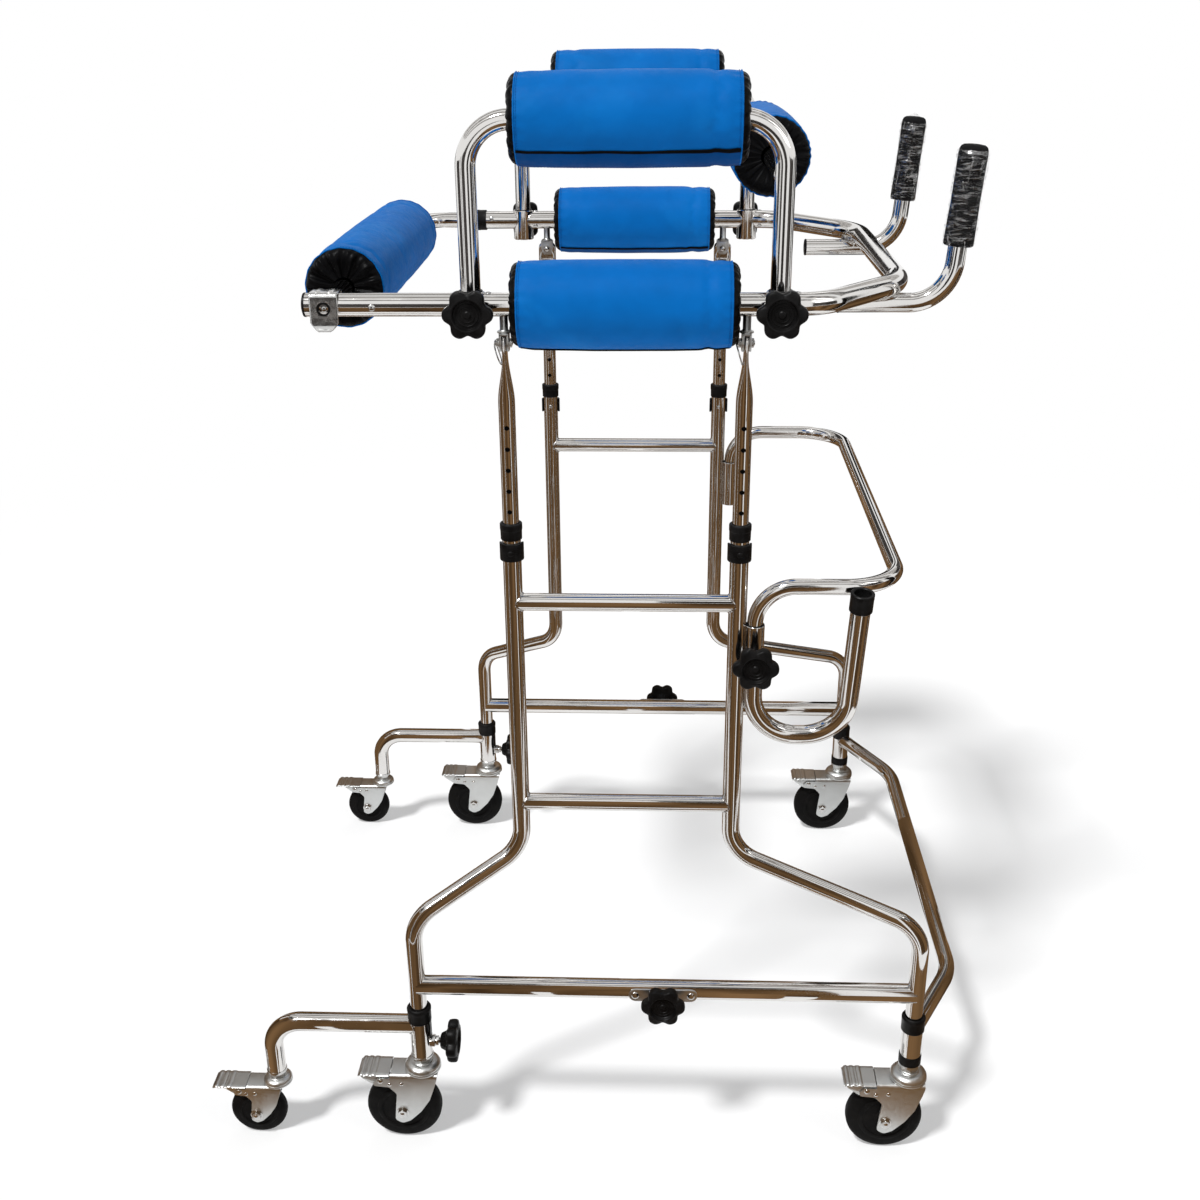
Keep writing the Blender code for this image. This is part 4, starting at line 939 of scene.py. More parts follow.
def drill_tree() -> Tree:
    """Make the tree that drills a column of holes right through a tube along Y.

    Returns:
        The tree.
    """
    tree = Tree("drilled_column", First=(0.0, 0.0, 0.0), Pitch=0.025, Count=7, Radius=0.0030, Reach=0.03)
    line = tree.step("MeshLine", {"Count": tree.input["Count"], "Start Location": tree.input["First"],
                                  "Offset": tree.vector(Z=tree.input["Pitch"])})
    bit = tree.step("MeshCylinder", {"Vertices": 24, "Radius": tree.input["Radius"],
                                     "Depth": tree.input["Reach"]})
    bits = tree.copies(line, bit, Rotation=(pi / 2, 0.0, 0.0))
    real = tree.step("RealizeInstances", {"Geometry": bits})
    cut = tree.node("MeshBoolean", {"Mesh 1": tree.input["Geometry"], "Mesh 2": real}, "GeometryNode",
                    operation="DIFFERENCE", solver="EXACT")
    return tree.close(cut.outputs[0])


class Workshop:
    """The trees that all sub-assemblies share, and the ways to hand a finished piece over."""

    def __init__(self) -> None:
        """Make the trees."""
        self.tubes = bent_tube_tree()
        self.welds = weld_tree()
        self.stitches = stitch_tree()
        self.domes = dome_tree()
        self.spokes = spoke_tree()
        self.drill = drill_tree()

    def tube_mesh(self, *routes: tuple[Sequence[Point], float, Union[float, Sequence[float]]],
                  sides: int = 36, bend_steps: int = 14) -> Mesh:
        """Bend tubes.

        Args:
            routes: For each tube its corners, its radius and its bend radius, or one for each corner.
            sides: Facets round each tube.
            bend_steps: Chords in each bend.

        Returns:
            One mesh with all the tubes.
        """
        blank = self.line_mesh([corners for corners, _, _ in routes], False)
        store(blank, "radius", [radius for corners, radius, _ in routes for _ in corners])
        store(blank, "bend", [one for corners, _, bend in routes
                              for one in ([bend] * len(corners) if isinstance(bend, float) else bend)])
        return self.tubes.run(blank, CHROME, Sides=sides, Bend_Steps=bend_steps)

    def line_mesh(self, lines: Lines, closed: bool) -> Mesh:
        """Give a mesh of bare lines, each closed on itself or open.

        Args:
            lines: The points of each line.
            closed: Whether each line closes on itself.

        Returns:
            The mesh.
        """
        points, edges = [], []
        for line in lines:
            start = len(points)
            points += line
            edges += [(index, index + 1) for index in range(start, len(points) - 1)]
            if closed:
                edges.append((len(points) - 1, start))
        return bare("lines", points, edges)

    def head_mesh(self, heads: Sequence[tuple[Point, Point, float]], finish: Finish,
                  flatness: float = 0.5) -> Mesh:
        """Set domed heads, each with its place, its facing and its radius.

        Args:
            heads: Each one's place, facing and radius.
            finish: What they are made of.
            flatness: How flat they are.

        Returns:
            The mesh.
        """
        blank = bare("heads", [place for place, _, _ in heads])
        store(blank, "facing", [part for _, way, _ in heads for part in way], "FLOAT_VECTOR")
        store(blank, "size", [size for _, _, size in heads])
        return self.domes.run(blank, finish, Flatness=flatness)

    def add_heads(self, name: str, heads: Sequence[tuple[Point, Point, float]], body: str) -> None:
        """Hand domed heads over as a piece."""
        self.hand_over(name, self.head_mesh(heads, BRIGHT_ZINC), BRIGHT_ZINC, body)

    def add_beads(self, name: str, lines: Lines, body: str, bead: float = 0.0013,
                  closed: bool = True) -> None:
        """Lay a weld bead on each line and hand them over as a piece."""
        self.hand_over(name, self.welds.run(self.line_mesh(lines, closed), WELD, Bead=bead), WELD, body)

    def hand_over(self, name: str, shape: Union[Form, Mesh], finish: Finish, body: str,
                  replaces: Optional[str] = None, sharp: float = 34.0) -> bpy.types.Object:
        """Stand a finished piece in the scene on its CAD body.

        Args:
            name: The piece's name.
            shape: Its form or mesh, in frame coordinates.
            finish: Its finish.
            body: The CAD body that it rides on.
            replaces: The CAD node that it stands for.
            sharp: Edges that turn more than this many degrees stay sharp.

        Returns:
            The object.
        """
        mesh = shape.mesh(name) if isinstance(shape, Form) else shape
        mesh.name = name
        mesh.transform(moved(SHIFT))
        mesh.materials.clear()
        mesh.materials.append(finish.material())
        mesh.shade_smooth()
        mesh.set_sharp_from_angle(angle=radians(sharp))
        piece = stood(name, mesh)
        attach(piece, body.value if isinstance(body, Body) else body)
        if replaces:
            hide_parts(replaces)
        log.info("%s: %d faces on %s", name, len(mesh.polygons), body)
        return piece


def saddle(main: tuple[Point, Point, float], branch: tuple[Point, Point, float],
           steps: int = 40) -> list[Vector]:
    """Trace where a branch tube leaves a main tube.

    Args:
        main: A point on the main tube's axis, its direction and its radius.
        branch: A point on the branch's axis inside the main tube, its direction outwards and its radius.
        steps: How many points the line has.

    Returns:
        The closed line of the joint.
    """
    root, way, radius = Vector(main[0]), Vector(main[1]).normalized(), main[2]
    start, out, small = Vector(branch[0]), Vector(branch[1]).normalized(), branch[2]
    across = out.orthogonal().normalized()
    up = out.cross(across)
    line = []
    for right, above, _ in ring(small, 0.0, steps):
        place = start + across * right + up * above
        gap = place - root
        gap -= way * gap.dot(way)
        run = out - way * out.dot(way)
        a, b, c = run.dot(run), 2 * gap.dot(run), gap.dot(gap) - radius * radius
        line.append(place + out * ((-b + sqrt(max(0.0, b * b - 4 * a * c))) / (2 * a)))
    return line


@dataclass
class Layout:
    """The sizes and places that several sub-assemblies share."""

    ring_height: float = 1.108
    ring_radius: float = 0.01275
    half_width: float = 0.320
    base_half_width: float = 0.390
    leg_x: float = 0.133
    leg: float = 0.011
    leg_top: float = 0.852
    inner: float = 0.0095
    stub_rear: float = -0.268
    stub_front: float = 0.371
    arch_x: float = 0.168
    eye_drop: float = 0.042

    def stub_x(self, end: int) -> float:
        """Give the place of the foot of a rear or front leg."""
        return self.stub_front if end > 0 else self.stub_rear


@dataclass
class StarKnob:
    """A six-lobed clamp knob with a ringed recess, a ribbed hub and a threaded stud."""

    radius: float = 0.0255
    lobe: float = 0.0027
    lobes: int = 6
    head: float = 0.015
    hub: float = 0.009
    hub_radius: float = 0.011
    recess: float = 0.0165
    stud: float = 0.004
    ribs: int = 16

    def lobed_ring(self, inset: float, height: float, steps: int) -> list[Point]:
        """Give the ring of the lobed edge, drawn in by an inset.

        Args:
            inset: The inset.
            height: The ring's height.
            steps: How finely it is divided.

        Returns:
            Its points.
        """
        line = []
        for angle in (tau * step / steps for step in range(steps)):
            wave = cos(self.lobes * angle) - 0.16 * cos(2 * self.lobes * angle)
            line.append((*polar(self.radius + self.lobe * wave - inset, angle), height))
        return line

    def head_form(self, stud_length: float) -> Form:
        """Give the moulded head, drawn along +Z with its stud's tip at zero.

        Args:
            stud_length: The stud's length.

        Returns:
            The head.
        """
        steps, foot = 144, stud_length + self.hub
        face = foot + self.head
        floor = face - 0.0042
        middle = about(0.0, floor, (0.0005, 0.0016), (0.0030, 0.0014), (0.0042, 0.0006), (0.0046, 0.0),
                       (0.0072, 0.0), (0.0076, 0.0005), (0.0084, 0.0005), (0.0088, 0.0), (0.0112, 0.0),
                       (0.0116, 0.0004), (0.0122, 0.0004), (0.0126, 0.0))
        middle += about(self.recess, floor, (-0.0018, 0.0001), (-0.0012, 0.0008))
        middle += about(self.recess, face, (-0.0006, -0.0008), (0.0, -0.0001), (0.0012, 0.0002),
                        (0.0024, -0.0002))
        edge = about(0.0, face, (0.0036, -0.0009), (0.0021, -0.0013), (0.0009, -0.0022), (0.0002, -0.0038),
                     (0.0, -0.0060))
        edge += about(0.0, foot, (0.0001, 0.0050), (0.0008, 0.0024), (0.0022, 0.0010), (0.0042, 0.0003))
        back = about(self.hub_radius, foot, (0.0040, 0.0), (0.0022, -0.0006), (0.0008, -0.0022))
        back += about(self.hub_radius, stud_length, (-0.0018, 0.0012), (-0.0028, 0.0))
        back.append((self.stud, stud_length))
        return Form().loft([ring(*spot, steps) for spot in middle]
                           + [self.lobed_ring(*spot, steps) for spot in edge]
                           + [ring(*spot, steps) for spot in back])

    def rib_mesh(self, shop: Workshop, stud_length: float) -> Mesh:
        """Give the ribs round the hub.

        Args:
            shop: The workshop that makes the pieces.
            stud_length: The stud's length.

        Returns:
            The ribs.
        """
        outline = about(self.hub_radius, stud_length, (-0.0030, 0.0006), (-0.0012, 0.0008))
        outline += about(self.hub_radius, stud_length + self.hub, (0.0026, -0.0010), (0.0042, 0.0004),
                         (-0.0030, 0.0004))
        rib = Form().plate(outline, 0.0012, turned(pi / 2, "X"))
        return shop.spokes.run(rib.eased(0.0003).mesh("rib"), NYLON, Count=self.ribs)

    def build(self, shop: Workshop, name: str, body: str, seat: Point, outward: Point, depth: float,
              standoff: float = 0.003) -> None:
        """Stand a knob over its seat.

        Args:
            shop: The workshop.
            name: The CAD node's and body's name.
            body: The body that it rides on.
            seat: The middle of the face that the knob screws towards.
            outward: The way its face looks.
            depth: How far the stud reaches in past the seat.
            standoff: The gap between the seat and the hub.
        """
        length = depth + standoff
        place = aim(Vector(seat) - Vector(outward) * depth, seat)
        head = Form().add(self.head_form(length), place).add(self.rib_mesh(shop, length), place)
        shop.hand_over(name + "_head", head, NYLON, body, name, sharp=28.0)
        thread = [(0.0005, 0.0), (self.stud - 0.0006, 0.0)]
        pitch, height = 0.00125, 0.0004
        while height < length:
            thread += [(self.stud - 0.0005, height), (self.stud, height + pitch * 0.4)]
            height += pitch * 0.8
        thread += [(self.stud - 0.0003, length + 0.001), (0.0005, length + 0.001)]
        shop.hand_over(name + "_stud", Form().turn(thread, place, 28), BRIGHT_ZINC, body, sharp=60.0)


@dataclass
class SideFrame(Layout):
    """One side of the base: two bent legs, two rungs, a rail with its bracket, and the loop socket."""

    bend_high: float = 0.412
    bend_low: float = 0.345
    leg_bottom: float = 0.145
    leg_bend: float = 0.045
    rung: float = 0.0105
    rung_heights: tuple[float, float] = (0.755, 0.480)
    rail: float = 0.0125
    rail_height: float = 0.246
    bracket_x: float = 0.049
    bracket_length: float = 0.087
    bracket_height: float = 0.018
    bracket_plate: float = 0.003
    socket: float = 0.0117
    socket_top: float = 0.728
    socket_bottom: float = 0.657
    knob_height: float = 0.687
    boss: float = 0.0085
    boss_length: float = 0.005
    holder_arm_x: float = 0.268
    holder_mouth: tuple[float, float, float] = (0.275, -0.347, 0.781)
    holder_bottom: float = 0.580
    holder_bend: float = 0.054
    cup: float = 0.0138
    cup_height: float = 0.024

    @property
    def socket_x(self) -> float:
        """Give the place of the loop sockets, welded along the front legs."""
        return self.leg_x + self.leg + self.socket - 0.0015

    def build(self, shop: Workshop) -> None:
        """Build both side frames and what is fixed to them.

        Args:
            shop: The workshop that makes the pieces.
        """
        for side_name, side in SIDES:
            self.build_tubes(shop, side_name, side)
            self.build_fittings(shop, side_name, side)
        self.build_cup(shop)

    def leg_corners(self, end: int, side: int) -> list[Point]:
        """Give the corners of one leg.

        Args:
            end: The end's sign in X.
            side: The side's sign in Y.

        Returns:
            The corners.
        """
        x, y = self.leg_x * end, self.half_width * side
        foot = (self.stub_x(end), self.base_half_width * side)
        return [(x, y, self.leg_top), (x, y, self.bend_high), (*foot, self.bend_low),
                (*foot, self.leg_bottom)]

    def holder_run(self) -> tuple[Vector, Vector, Vector]:
        """Give the foot, the mouth and the direction of the pole holder's open run.

        Returns:
            The two points and the direction.
        """
        mouth = Vector(self.holder_mouth)
        foot = Vector((self.holder_arm_x, -self.half_width, self.holder_bottom))
        return foot, mouth, (mouth - foot).normalized()

    def build_tubes(self, shop: Workshop, side_name: str, side: int) -> None:
        """Build one side's welded tubes with their beads.

        Args:
            shop: The workshop that makes the pieces.
            side_name: The side's name.
            side: The side's sign in Y.
        """
        y, low_y = self.half_width * side, self.base_half_width * side
        form = Form().add(shop.tube_mesh(
            *((self.leg_corners(end, side), self.leg, self.leg_bend) for end in ENDS),
            *(([(-self.leg_x, y, z), (self.leg_x, y, z)], self.rung, 0.0) for z in self.rung_heights),
            ([(self.stub_x(end), low_y, self.rail_height) for end in ENDS], self.rail, 0.0)))
        at = (self.socket_x, y)
        form.sleeve((*at, self.socket_top - 0.03), (*at, self.socket_top), self.socket,
                    self.socket - 0.0016, 40)
        root = (*at, self.socket_top - 0.029)
        if side > 0:
            form.rod((*at, self.socket_bottom), root, self.socket, 40)
        else:
            foot, mouth, lean = self.holder_run()
            route = [root, (*at, self.holder_bottom), foot, mouth - lean * self.cup_height * 0.7]
            form.add(shop.tube_mesh((route, self.socket, self.holder_bend), bend_steps=24))
        shop.hand_over("side_tubes_" + side_name, form, CHROME, Body.BASE, "side_frame_" + side_name)
        up = (0, 0, 1)
        beads = [saddle(((self.leg_x * end, y, z), up, self.leg),
                        ((self.leg_x * end, y, z), (-end, 0, 0), self.rung))
                 for z in self.rung_heights for end in ENDS]
        beads += [saddle(((self.stub_x(end), low_y, 0.0), up, self.leg + 0.0004),
                         ((self.stub_x(end), low_y, self.rail_height), (-end, 0, 0), self.rail - 0.0018))
                  for end in ENDS]
        shop.add_beads("side_welds_" + side_name, beads, Body.BASE)
        tall = self.socket_top - self.socket_bottom
        seams = [[(self.socket_x - self.socket + 0.0008, y + face * 0.0046,
                   self.socket_bottom + tall * step / 24) for step in range(25)] for face in (-1, 1)]
        shop.add_beads("socket_welds_" + side_name, seams, Body.BASE, 0.0012, closed=False)

    def build_fittings(self, shop: Workshop, side_name: str, side: int) -> None:
        """Build one side's bracket with its rivets, the knob boss, and the near-black ring of painted shade
        at the socket's mouth.

        Args:
            shop: The workshop that makes the pieces.
            side_name: The side's name.
            side: The side's sign in Y.
        """
        y = self.base_half_width * side + side * self.rail
        tip = self.bracket_height / 2
        reach = self.bracket_length / 2 - tip
        outline = [(self.bracket_x + end * (reach + across), self.rail_height + end * up)
                   for end in (1, -1) for across, up in arc(tip, -90, 90, 12)]
        plate = Form().plate(outline, self.bracket_plate, moved(y=y) @ turned(pi / 2, "X"))
        seat = (self.bracket_x, y + side * 0.0015, self.rail_height)
        washer = Form().sleeve(seat, (seat[0], seat[1] + side * 0.0012, seat[2]), 0.0088, 0.0042, 36, 0.0002)
        shop.hand_over("rail_bracket_" + side_name, plate.eased(0.0005).add(washer), ZINC, Body.BASE)
        heads = [((self.bracket_x + end * (reach + 0.001), y + side * 0.0013, self.rail_height),
                  (0, side, 0), 0.0052) for end in ENDS]
        shop.add_heads("bracket_rivets_" + side_name, heads, Body.BASE)
        inner, outer = self.half_width + self.socket - 0.002, self.half_width + self.socket + self.boss_length
        nut = Form().hexagon((self.socket_x, side * inner, self.knob_height),
                             (self.socket_x, side * outer, self.knob_height), self.boss, 0.0044)
        shop.hand_over("loop_boss_" + side_name, nut, BRIGHT_ZINC, Body.BASE)
        bead = [(self.socket_x + x, side * (self.half_width + sqrt(max(0.0, self.socket ** 2 - x ** 2))),
                 self.knob_height + z) for x, z, _ in ring(0.0092, 0.0, 32)]
        shop.add_beads("loop_boss_weld_" + side_name, [bead], Body.BASE, 0.0010)
        at = (self.socket_x, self.half_width * side)
        # Painted shade: a near-black ring at the socket's mouth, over the gap round the loop tube.
        lip = Form().sleeve((*at, self.socket_top - 0.0001), (*at, self.socket_top + 0.0006),
                            self.socket - 0.0006, 0.0096, 40, 0.0001)
        shop.hand_over("socket_mouth_painted_shade_" + side_name, lip, PAINTED_BORE_SHADE, Body.BASE)

    def build_cup(self, shop: Workshop) -> None:
        """Build the open black cup on top of the pole holder, with a near-black sleeve and disc of painted
        shade in its throat.

        Args:
            shop: The workshop that makes the pieces.
        """
        _, mouth, lean = self.holder_run()
        place = aim(mouth - lean * self.cup_height, mouth)
        outer, inner, high = self.cup, self.socket - 0.0016, self.cup_height
        profile = ((inner, 0.002), (outer - 0.0008, 0.0), (outer, 0.0008), (outer, high * 0.70),
                   (outer + 0.0002, high * 0.74), (outer + 0.0002, high * 0.97), (outer - 0.0006, high),
                   (inner + 0.0008, high), (inner, high - 0.0008))
        shop.hand_over("holder_cup", Form().turn(profile, place, 44, closed=True), NYLON, Body.BASE)
        # Painted shade: a near-black sleeve lines the throat and a near-black disc closes it, where the open
        # tube is only in shade.
        throat = Form().turn(((inner + 0.0002, 0.001), (inner + 0.0002, high - 0.002),
                              (inner - 0.0001, high - 0.0015), (inner - 0.0001, 0.001)), place, 44,
                             closed=True)
        throat.turn(((0.0, 0.0015), (inner, 0.0015)), place, 44)
        shop.hand_over("holder_throat_painted_shade", throat, PAINTED_BORE_SHADE, Body.BASE)


@dataclass
class HeightAdjusters(Layout):
    """The four inner legs with their holes, and the ferrules and pin clips on the outer legs."""

    engaged: float = 0.150
    wall: float = 0.0027
    pitch: float = 0.025
    first_hole: float = 0.019
    holes_above: int = 5
    holes_below: int = 2
    holes_hidden: int = 3
    hole: float = 0.0028
    ferrule: float = 0.0131
    ferrule_height: float = 0.020
    ferrule_lip: float = 0.0035
    clip: float = 0.0142
    clip_height: float = 0.021
    flat_thickness: float = 0.005
    flat_width: float = 0.026
    flat_half_length: float = 0.012
    top_above_eye: float = 0.008
    taper: float = 0.056

    def build(self, shop: Workshop) -> None:
        """Build the four adjusters.

        Args:
            shop: The workshop that makes the pieces.
        """
        for tag, end, side in CORNERS:
            at = (self.leg_x * end, self.half_width * side)
            self.build_leg(shop, tag, at, side)
            self.build_ferrule(shop, tag, at)
            self.build_clip(shop, tag, at, side)

    def build_leg(self, shop: Workshop, tag: str, at: Flat, side: int) -> None:
        """Build an inner leg: a hollow drilled tube whose top is flattened round the bolt eye, with
        near-black pieces of painted shade inside it.

        Args:
            shop: The workshop that makes the pieces.
            tag: What its pieces are named after.
            at: Where its leg stands.
            side: The side's sign in Y.
        """
        foot, eye = self.leg_top - self.engaged, self.ring_height - self.eye_drop
        flat_start = eye - self.flat_half_length
        round_end = flat_start - self.taper
        stations = [(foot, 0.0, 1.0), (round_end, 0.0, 1.0)]
        stations += [(round_end + self.taper * step / 16, blend(0.0, 1.0, step / 16), 1.0)
                     for step in range(1, 16)]
        stations += [(flat_start, 1.0, 1.0), (eye, 1.0, 1.0)]
        stations += [(eye + self.top_above_eye * sin(pi / 2 * step / 6), 1.0,
                      1.0 - 0.42 * (1 - cos(pi / 2 * step / 6))) for step in range(1, 7)]
        rings = []
        for height, flat, width in stations:
            thick = self.inner + (self.flat_thickness / 2 - self.inner) * flat
            wide = (self.inner + (self.flat_width / 2 - self.inner) * flat) * width
            reach = (thick, wide) if side < 0 else (wide, thick)
            power = 1.0 - 0.45 * flat
            rings.append([(at[0] + reach[0] * copysign(abs(across) ** power, across),
                           at[1] + reach[1] * copysign(abs(along) ** power, along), height)
                          for across, along, _ in ring(1.0, 0.0, 44)])
        first = self.leg_top + self.first_hole - self.pitch * (self.holes_below + self.holes_hidden)
        count = self.holes_above + self.holes_below + self.holes_hidden
        drilled = shop.drill.run(Form().loft(rings).mesh("leg_skin"), CHROME, First=(*at, first),
                                 Pitch=self.pitch, Count=count, Radius=self.hole, Reach=0.030)
        shop.hand_over("adjusting_leg_" + tag, drilled, CHROME, Body.RING, "inner_leg_" + tag, sharp=40.0)
        # Painted shade: a near-black rod fills the tube's inside and near-black sleeves line the holes, where
        # there is only shade.
        bore_shade_rod = Form().rod((*at, foot + 0.002), (*at, round_end - 0.002), self.inner - self.wall, 36)
        holes = Form()
        for z in (first + self.pitch * index for index in range(count)):
            for face in (-1, 1):
                holes.sleeve((at[0], at[1] + face * (self.inner - self.wall), z),
                             (at[0], at[1] + face * (self.inner - 0.0004), z),
                             self.hole + 0.0002, self.hole - 0.0001, 24, 0.0001)
        shop.hand_over("leg_painted_bore_shade_" + tag, bore_shade_rod.add(holes), PAINTED_BORE_SHADE, Body.RING)

    def build_ferrule(self, shop: Workshop, tag: str, at: Flat) -> None:
        """Build the two-step collar on top of an outer leg.

        Args:
            shop: The workshop that makes the pieces.
            tag: What its pieces are named after.
            at: Where its leg stands.
        """
        foot, lip = self.ferrule_lip - self.ferrule_height, self.ferrule_lip
        outer, bore, seat = self.ferrule, self.inner + 0.0003, self.leg + 0.0001
        profile = ((seat, foot), (outer - 0.0012, foot), (outer - 0.0006, foot + 0.0005),
                   (outer - 0.0004, -0.0050), (outer - 0.0001, -0.0044), (outer, -0.0040),
                   (outer, lip - 0.0012), (outer - 0.0005, lip - 0.0004), (outer - 0.0013, lip),
                   (bore + 0.0006, lip), (bore, lip - 0.0006), (bore, 0.0003), (seat, 0.0003))
        form = Form().turn(profile, moved(*at, self.leg_top), 48, closed=True)
        shop.hand_over("leg_collar_" + tag, form, NYLON, Body.BASE, "leg_ferrule_" + tag, sharp=25.0)

    def build_clip(self, shop: Workshop, tag: str, at: Flat, side: int) -> None:
        """Build the sprung half-round clip with its pin through the legs.

        Args:
            shop: The workshop that makes the pieces.
            tag: What its pieces are named after.
            at: Where its leg stands.
            side: The side's sign in Y.
        """
        body = "height_clip_" + tag
        outer, inner = self.clip, self.leg + 0.0003
        pin_height = self.leg_top + self.first_hole - 2 * self.pitch
        place = moved(*at, pin_height) @ turned(0.0 if side > 0 else pi, "Z")
        shell = Form().plate(arc(outer, -6, 186, 24) + arc(inner, 186, -6, 24), self.clip_height,
                             place).eased(0.0007)
        ribs = Form()
        for step in (-1, 0, 1):
            ribs.plate(arc(outer + 0.0002, 30, 150, 24) + arc(outer - 0.001, 150, 30, 24), 0.0014,
                       place @ moved(z=step * 0.0046))
        nub = [(place @ Vector((0, outer - 0.0004, 0)), (0, side, 0), 0.0036)]
        shell.add(ribs).add(shop.head_mesh(nub, NYLON))
        shop.hand_over("pin_clip_" + tag, shell, NYLON, body, body, sharp=40.0)
        tip = [(place @ Vector((0, -inner, 0)), (0, -side, 0), 0.0026)]
        form = Form().add(shop.head_mesh(tip, BRIGHT_ZINC, 0.6))
        form.rod(place @ Vector((0, self.inner + 0.0003, 0)), place @ Vector((0, outer, 0)), 0.0027, 20)
        shop.hand_over("clip_pin_" + tag, form, BRIGHT_ZINC, body)


@dataclass
class Ring(Layout):
    """The upper ring: bent tube, arch sockets, clevises, push handles, grips and the gate's collar."""

    bend_x: float = 0.212
    front_x: float = 0.318
    front_half_width: float = 0.193
    bend: float = 0.070
    front_bend: float = 0.110
    right_end: float = -0.351
    left_end: float = -0.235
    arch: float = 0.011
    socket: float = 0.0148
    socket_below: float = 0.028
    socket_above: float = 0.0145
    handle: float = 0.011
    handle_half_width: float = 0.200
    tail_x: float = 0.246
    corner_x: float = 0.373
    handle_top: tuple[float, float] = (0.387, 1.262)
    handle_bend: float = 0.050
    grip_length: float = 0.111
    collar: float = 0.0150
    collar_height: float = 0.015
    gate_tube: float = 0.011

    def build(self, shop: Workshop) -> None:
        """Build the ring and all that is fixed to it.

        Args:
            shop: The workshop that makes the pieces.
        """
        self.build_tubes(shop)
        self.build_sockets(shop)
        for tag, end, side in CORNERS:
            self.build_clevis(shop, tag, end, side)
        for side_name, side in SIDES:
            self.build_grip(shop, side_name, side)
        self.build_ends(shop)

    def handle_line(self, side: int) -> tuple[Vector, Vector]:
        """Give the foot and the top of a handle's upright run.

        Args:
            side: The side's sign in Y.

        Returns:
            The foot and the top.
        """
        y = self.handle_half_width * side
        level = self.ring_height - self.ring_radius - self.handle + 0.0015
        return Vector((self.corner_x, y, level)), Vector((self.handle_top[0], y, self.handle_top[1]))

    def build_tubes(self, shop: Workshop) -> None:
        """Build the ring's tube and both handles.

        Args:
            shop: The workshop that makes the pieces.
        """
        width, z, radius = self.half_width, self.ring_height, self.ring_radius
        corners = [(self.right_end, -width, z), (self.bend_x, -width, z),
                   (self.front_x, -self.front_half_width, z), (self.front_x, self.front_half_width, z),
                   (self.bend_x, width, z), (self.left_end, width, z)]
        bends = [self.bend, self.bend, self.front_bend, self.front_bend, self.bend, self.bend]
        routes, beads = [(corners, radius, bends)], []
        for _, side in SIDES:
            foot, top = self.handle_line(side)
            end = top - (top - foot).normalized() * 0.006
            routes.append(([(self.tail_x, foot.y, foot.z), foot, end], self.handle, self.handle_bend))
            corner = Vector((self.front_x, self.front_half_width * side, z))
            along = (Vector((self.bend_x, width * side, z)) - corner).normalized()
            y = self.handle_half_width * side
            cross = corner + along * ((y - corner.y) / along.y)
            low, reach = z - radius - self.handle * 0.1, radius + 0.006
            beads += [[(cross.x + reach * across, y + face * 0.0052 + 0.0016 * up, low + 0.0006)
                       for across, up, _ in ring(1.0, 0.0, 40)] for face in (-1, 1)]
        shop.hand_over("ring_tubes", shop.tube_mesh(*routes, sides=40), CHROME, Body.RING, "ring_frame")
        shop.add_beads("handle_welds", beads, Body.RING, 0.0016)

    def build_sockets(self, shop: Workshop) -> None:
        """Build the arch sockets with their seams, black bushes and screws.

        Args:
            shop: The workshop that makes the pieces.
        """
        form, bushes, beads, heads = Form(), Form(), [], []
        low, high = self.ring_height - self.socket_below, self.ring_height + self.socket_above
        radius = self.ring_radius
        lip = about(self.arch, high, (0.0003, -0.004), (0.0014, -0.004), (0.0014, 0.0001), (0.0022, 0.0004),
                    (0.0020, 0.0010), (0.0003, 0.0010))
        for _, end, side in CORNERS:
            x, y = self.arch_x * end, self.half_width * side
            form.sleeve((x, y, low), (x, y, high), self.socket, self.arch + 0.0012, 48, 0.0008)
            bushes.turn(lip, moved(x, y), 44, closed=True)
            beads += [saddle(((x, y, 0), (0, 0, 1), self.socket),
                             ((x, y, self.ring_height), (way, 0, 0), radius)) for way in (-1, 1)]
            heads.append(((x + 0.019, y, self.ring_height + radius - 0.0004), (0, 0, 1), 0.0036))
            heads.append(((x + 0.019, y + radius * -0.80, self.ring_height - radius * 0.58),
                          (0, -0.82, -0.57), 0.0034))
        shop.hand_over("arch_sockets", form, CHROME, Body.RING)
        shop.hand_over("socket_bushes", bushes, NYLON, Body.RING)
        shop.add_beads("socket_seams", beads, Body.RING, 0.0008)
        shop.add_heads("socket_screws", heads, Body.RING)

    def build_clevis(self, shop: Workshop, tag: str, end: int, side: int) -> None:
        """Build a yoke under the ring: folded sheet, neck, bolt with a domed nut, and the wire ring.

        Args:
            shop: The workshop that makes the pieces.
            tag: What its pieces are named after.
            end: The end's sign in X.
            side: The side's sign in Y.
        """
        eye = self.ring_height - self.eye_drop
        bridge, half, inner, sheet = eye + 0.0092, 0.009, 0.0028, 0.0025
        top, outer, low = bridge + sheet, inner + sheet, eye - half
        place = moved(self.leg_x * end, self.half_width * side) @ turned(0.0 if side > 0 else pi / 2, "Z")
        cheek = rounded([(-half, top), (-half, eye - 0.001), (-half * 0.62, low), (half * 0.62, low),
                         (half, eye - 0.001), (half, top)], [0.001, 0.006, 0.004, 0.004, 0.006, 0.001])
        form = Form()
        for face in (-1, 1):
            form.plate(cheek, sheet, place @ moved(y=face * (inner + sheet / 2)) @ turned(pi / 2, "X"))
        form.plate(rounded([(-half, -outer), (half, -outer), (half, outer), (-half, outer)], 0.0008), sheet,
                   place @ moved(z=bridge + sheet / 2))
        form = form.eased(0.0005)
        neck = about(0.0, top, (0.0078, -0.0002), (0.0078, 0.0012), (0.0052, 0.0024), (0.0046, 0.0036))
        form.turn([*neck, (0.0046, self.ring_height - self.ring_radius * 0.6)], place, 32)
        shop.hand_over("clevis_" + tag, form, ZINC, Body.RING, sharp=40.0)

        near = -1 if side > 0 else 1

        def across(y: float) -> Vector:
            """Give a point on the bolt's axis."""
            return place @ Vector((0, y, eye))

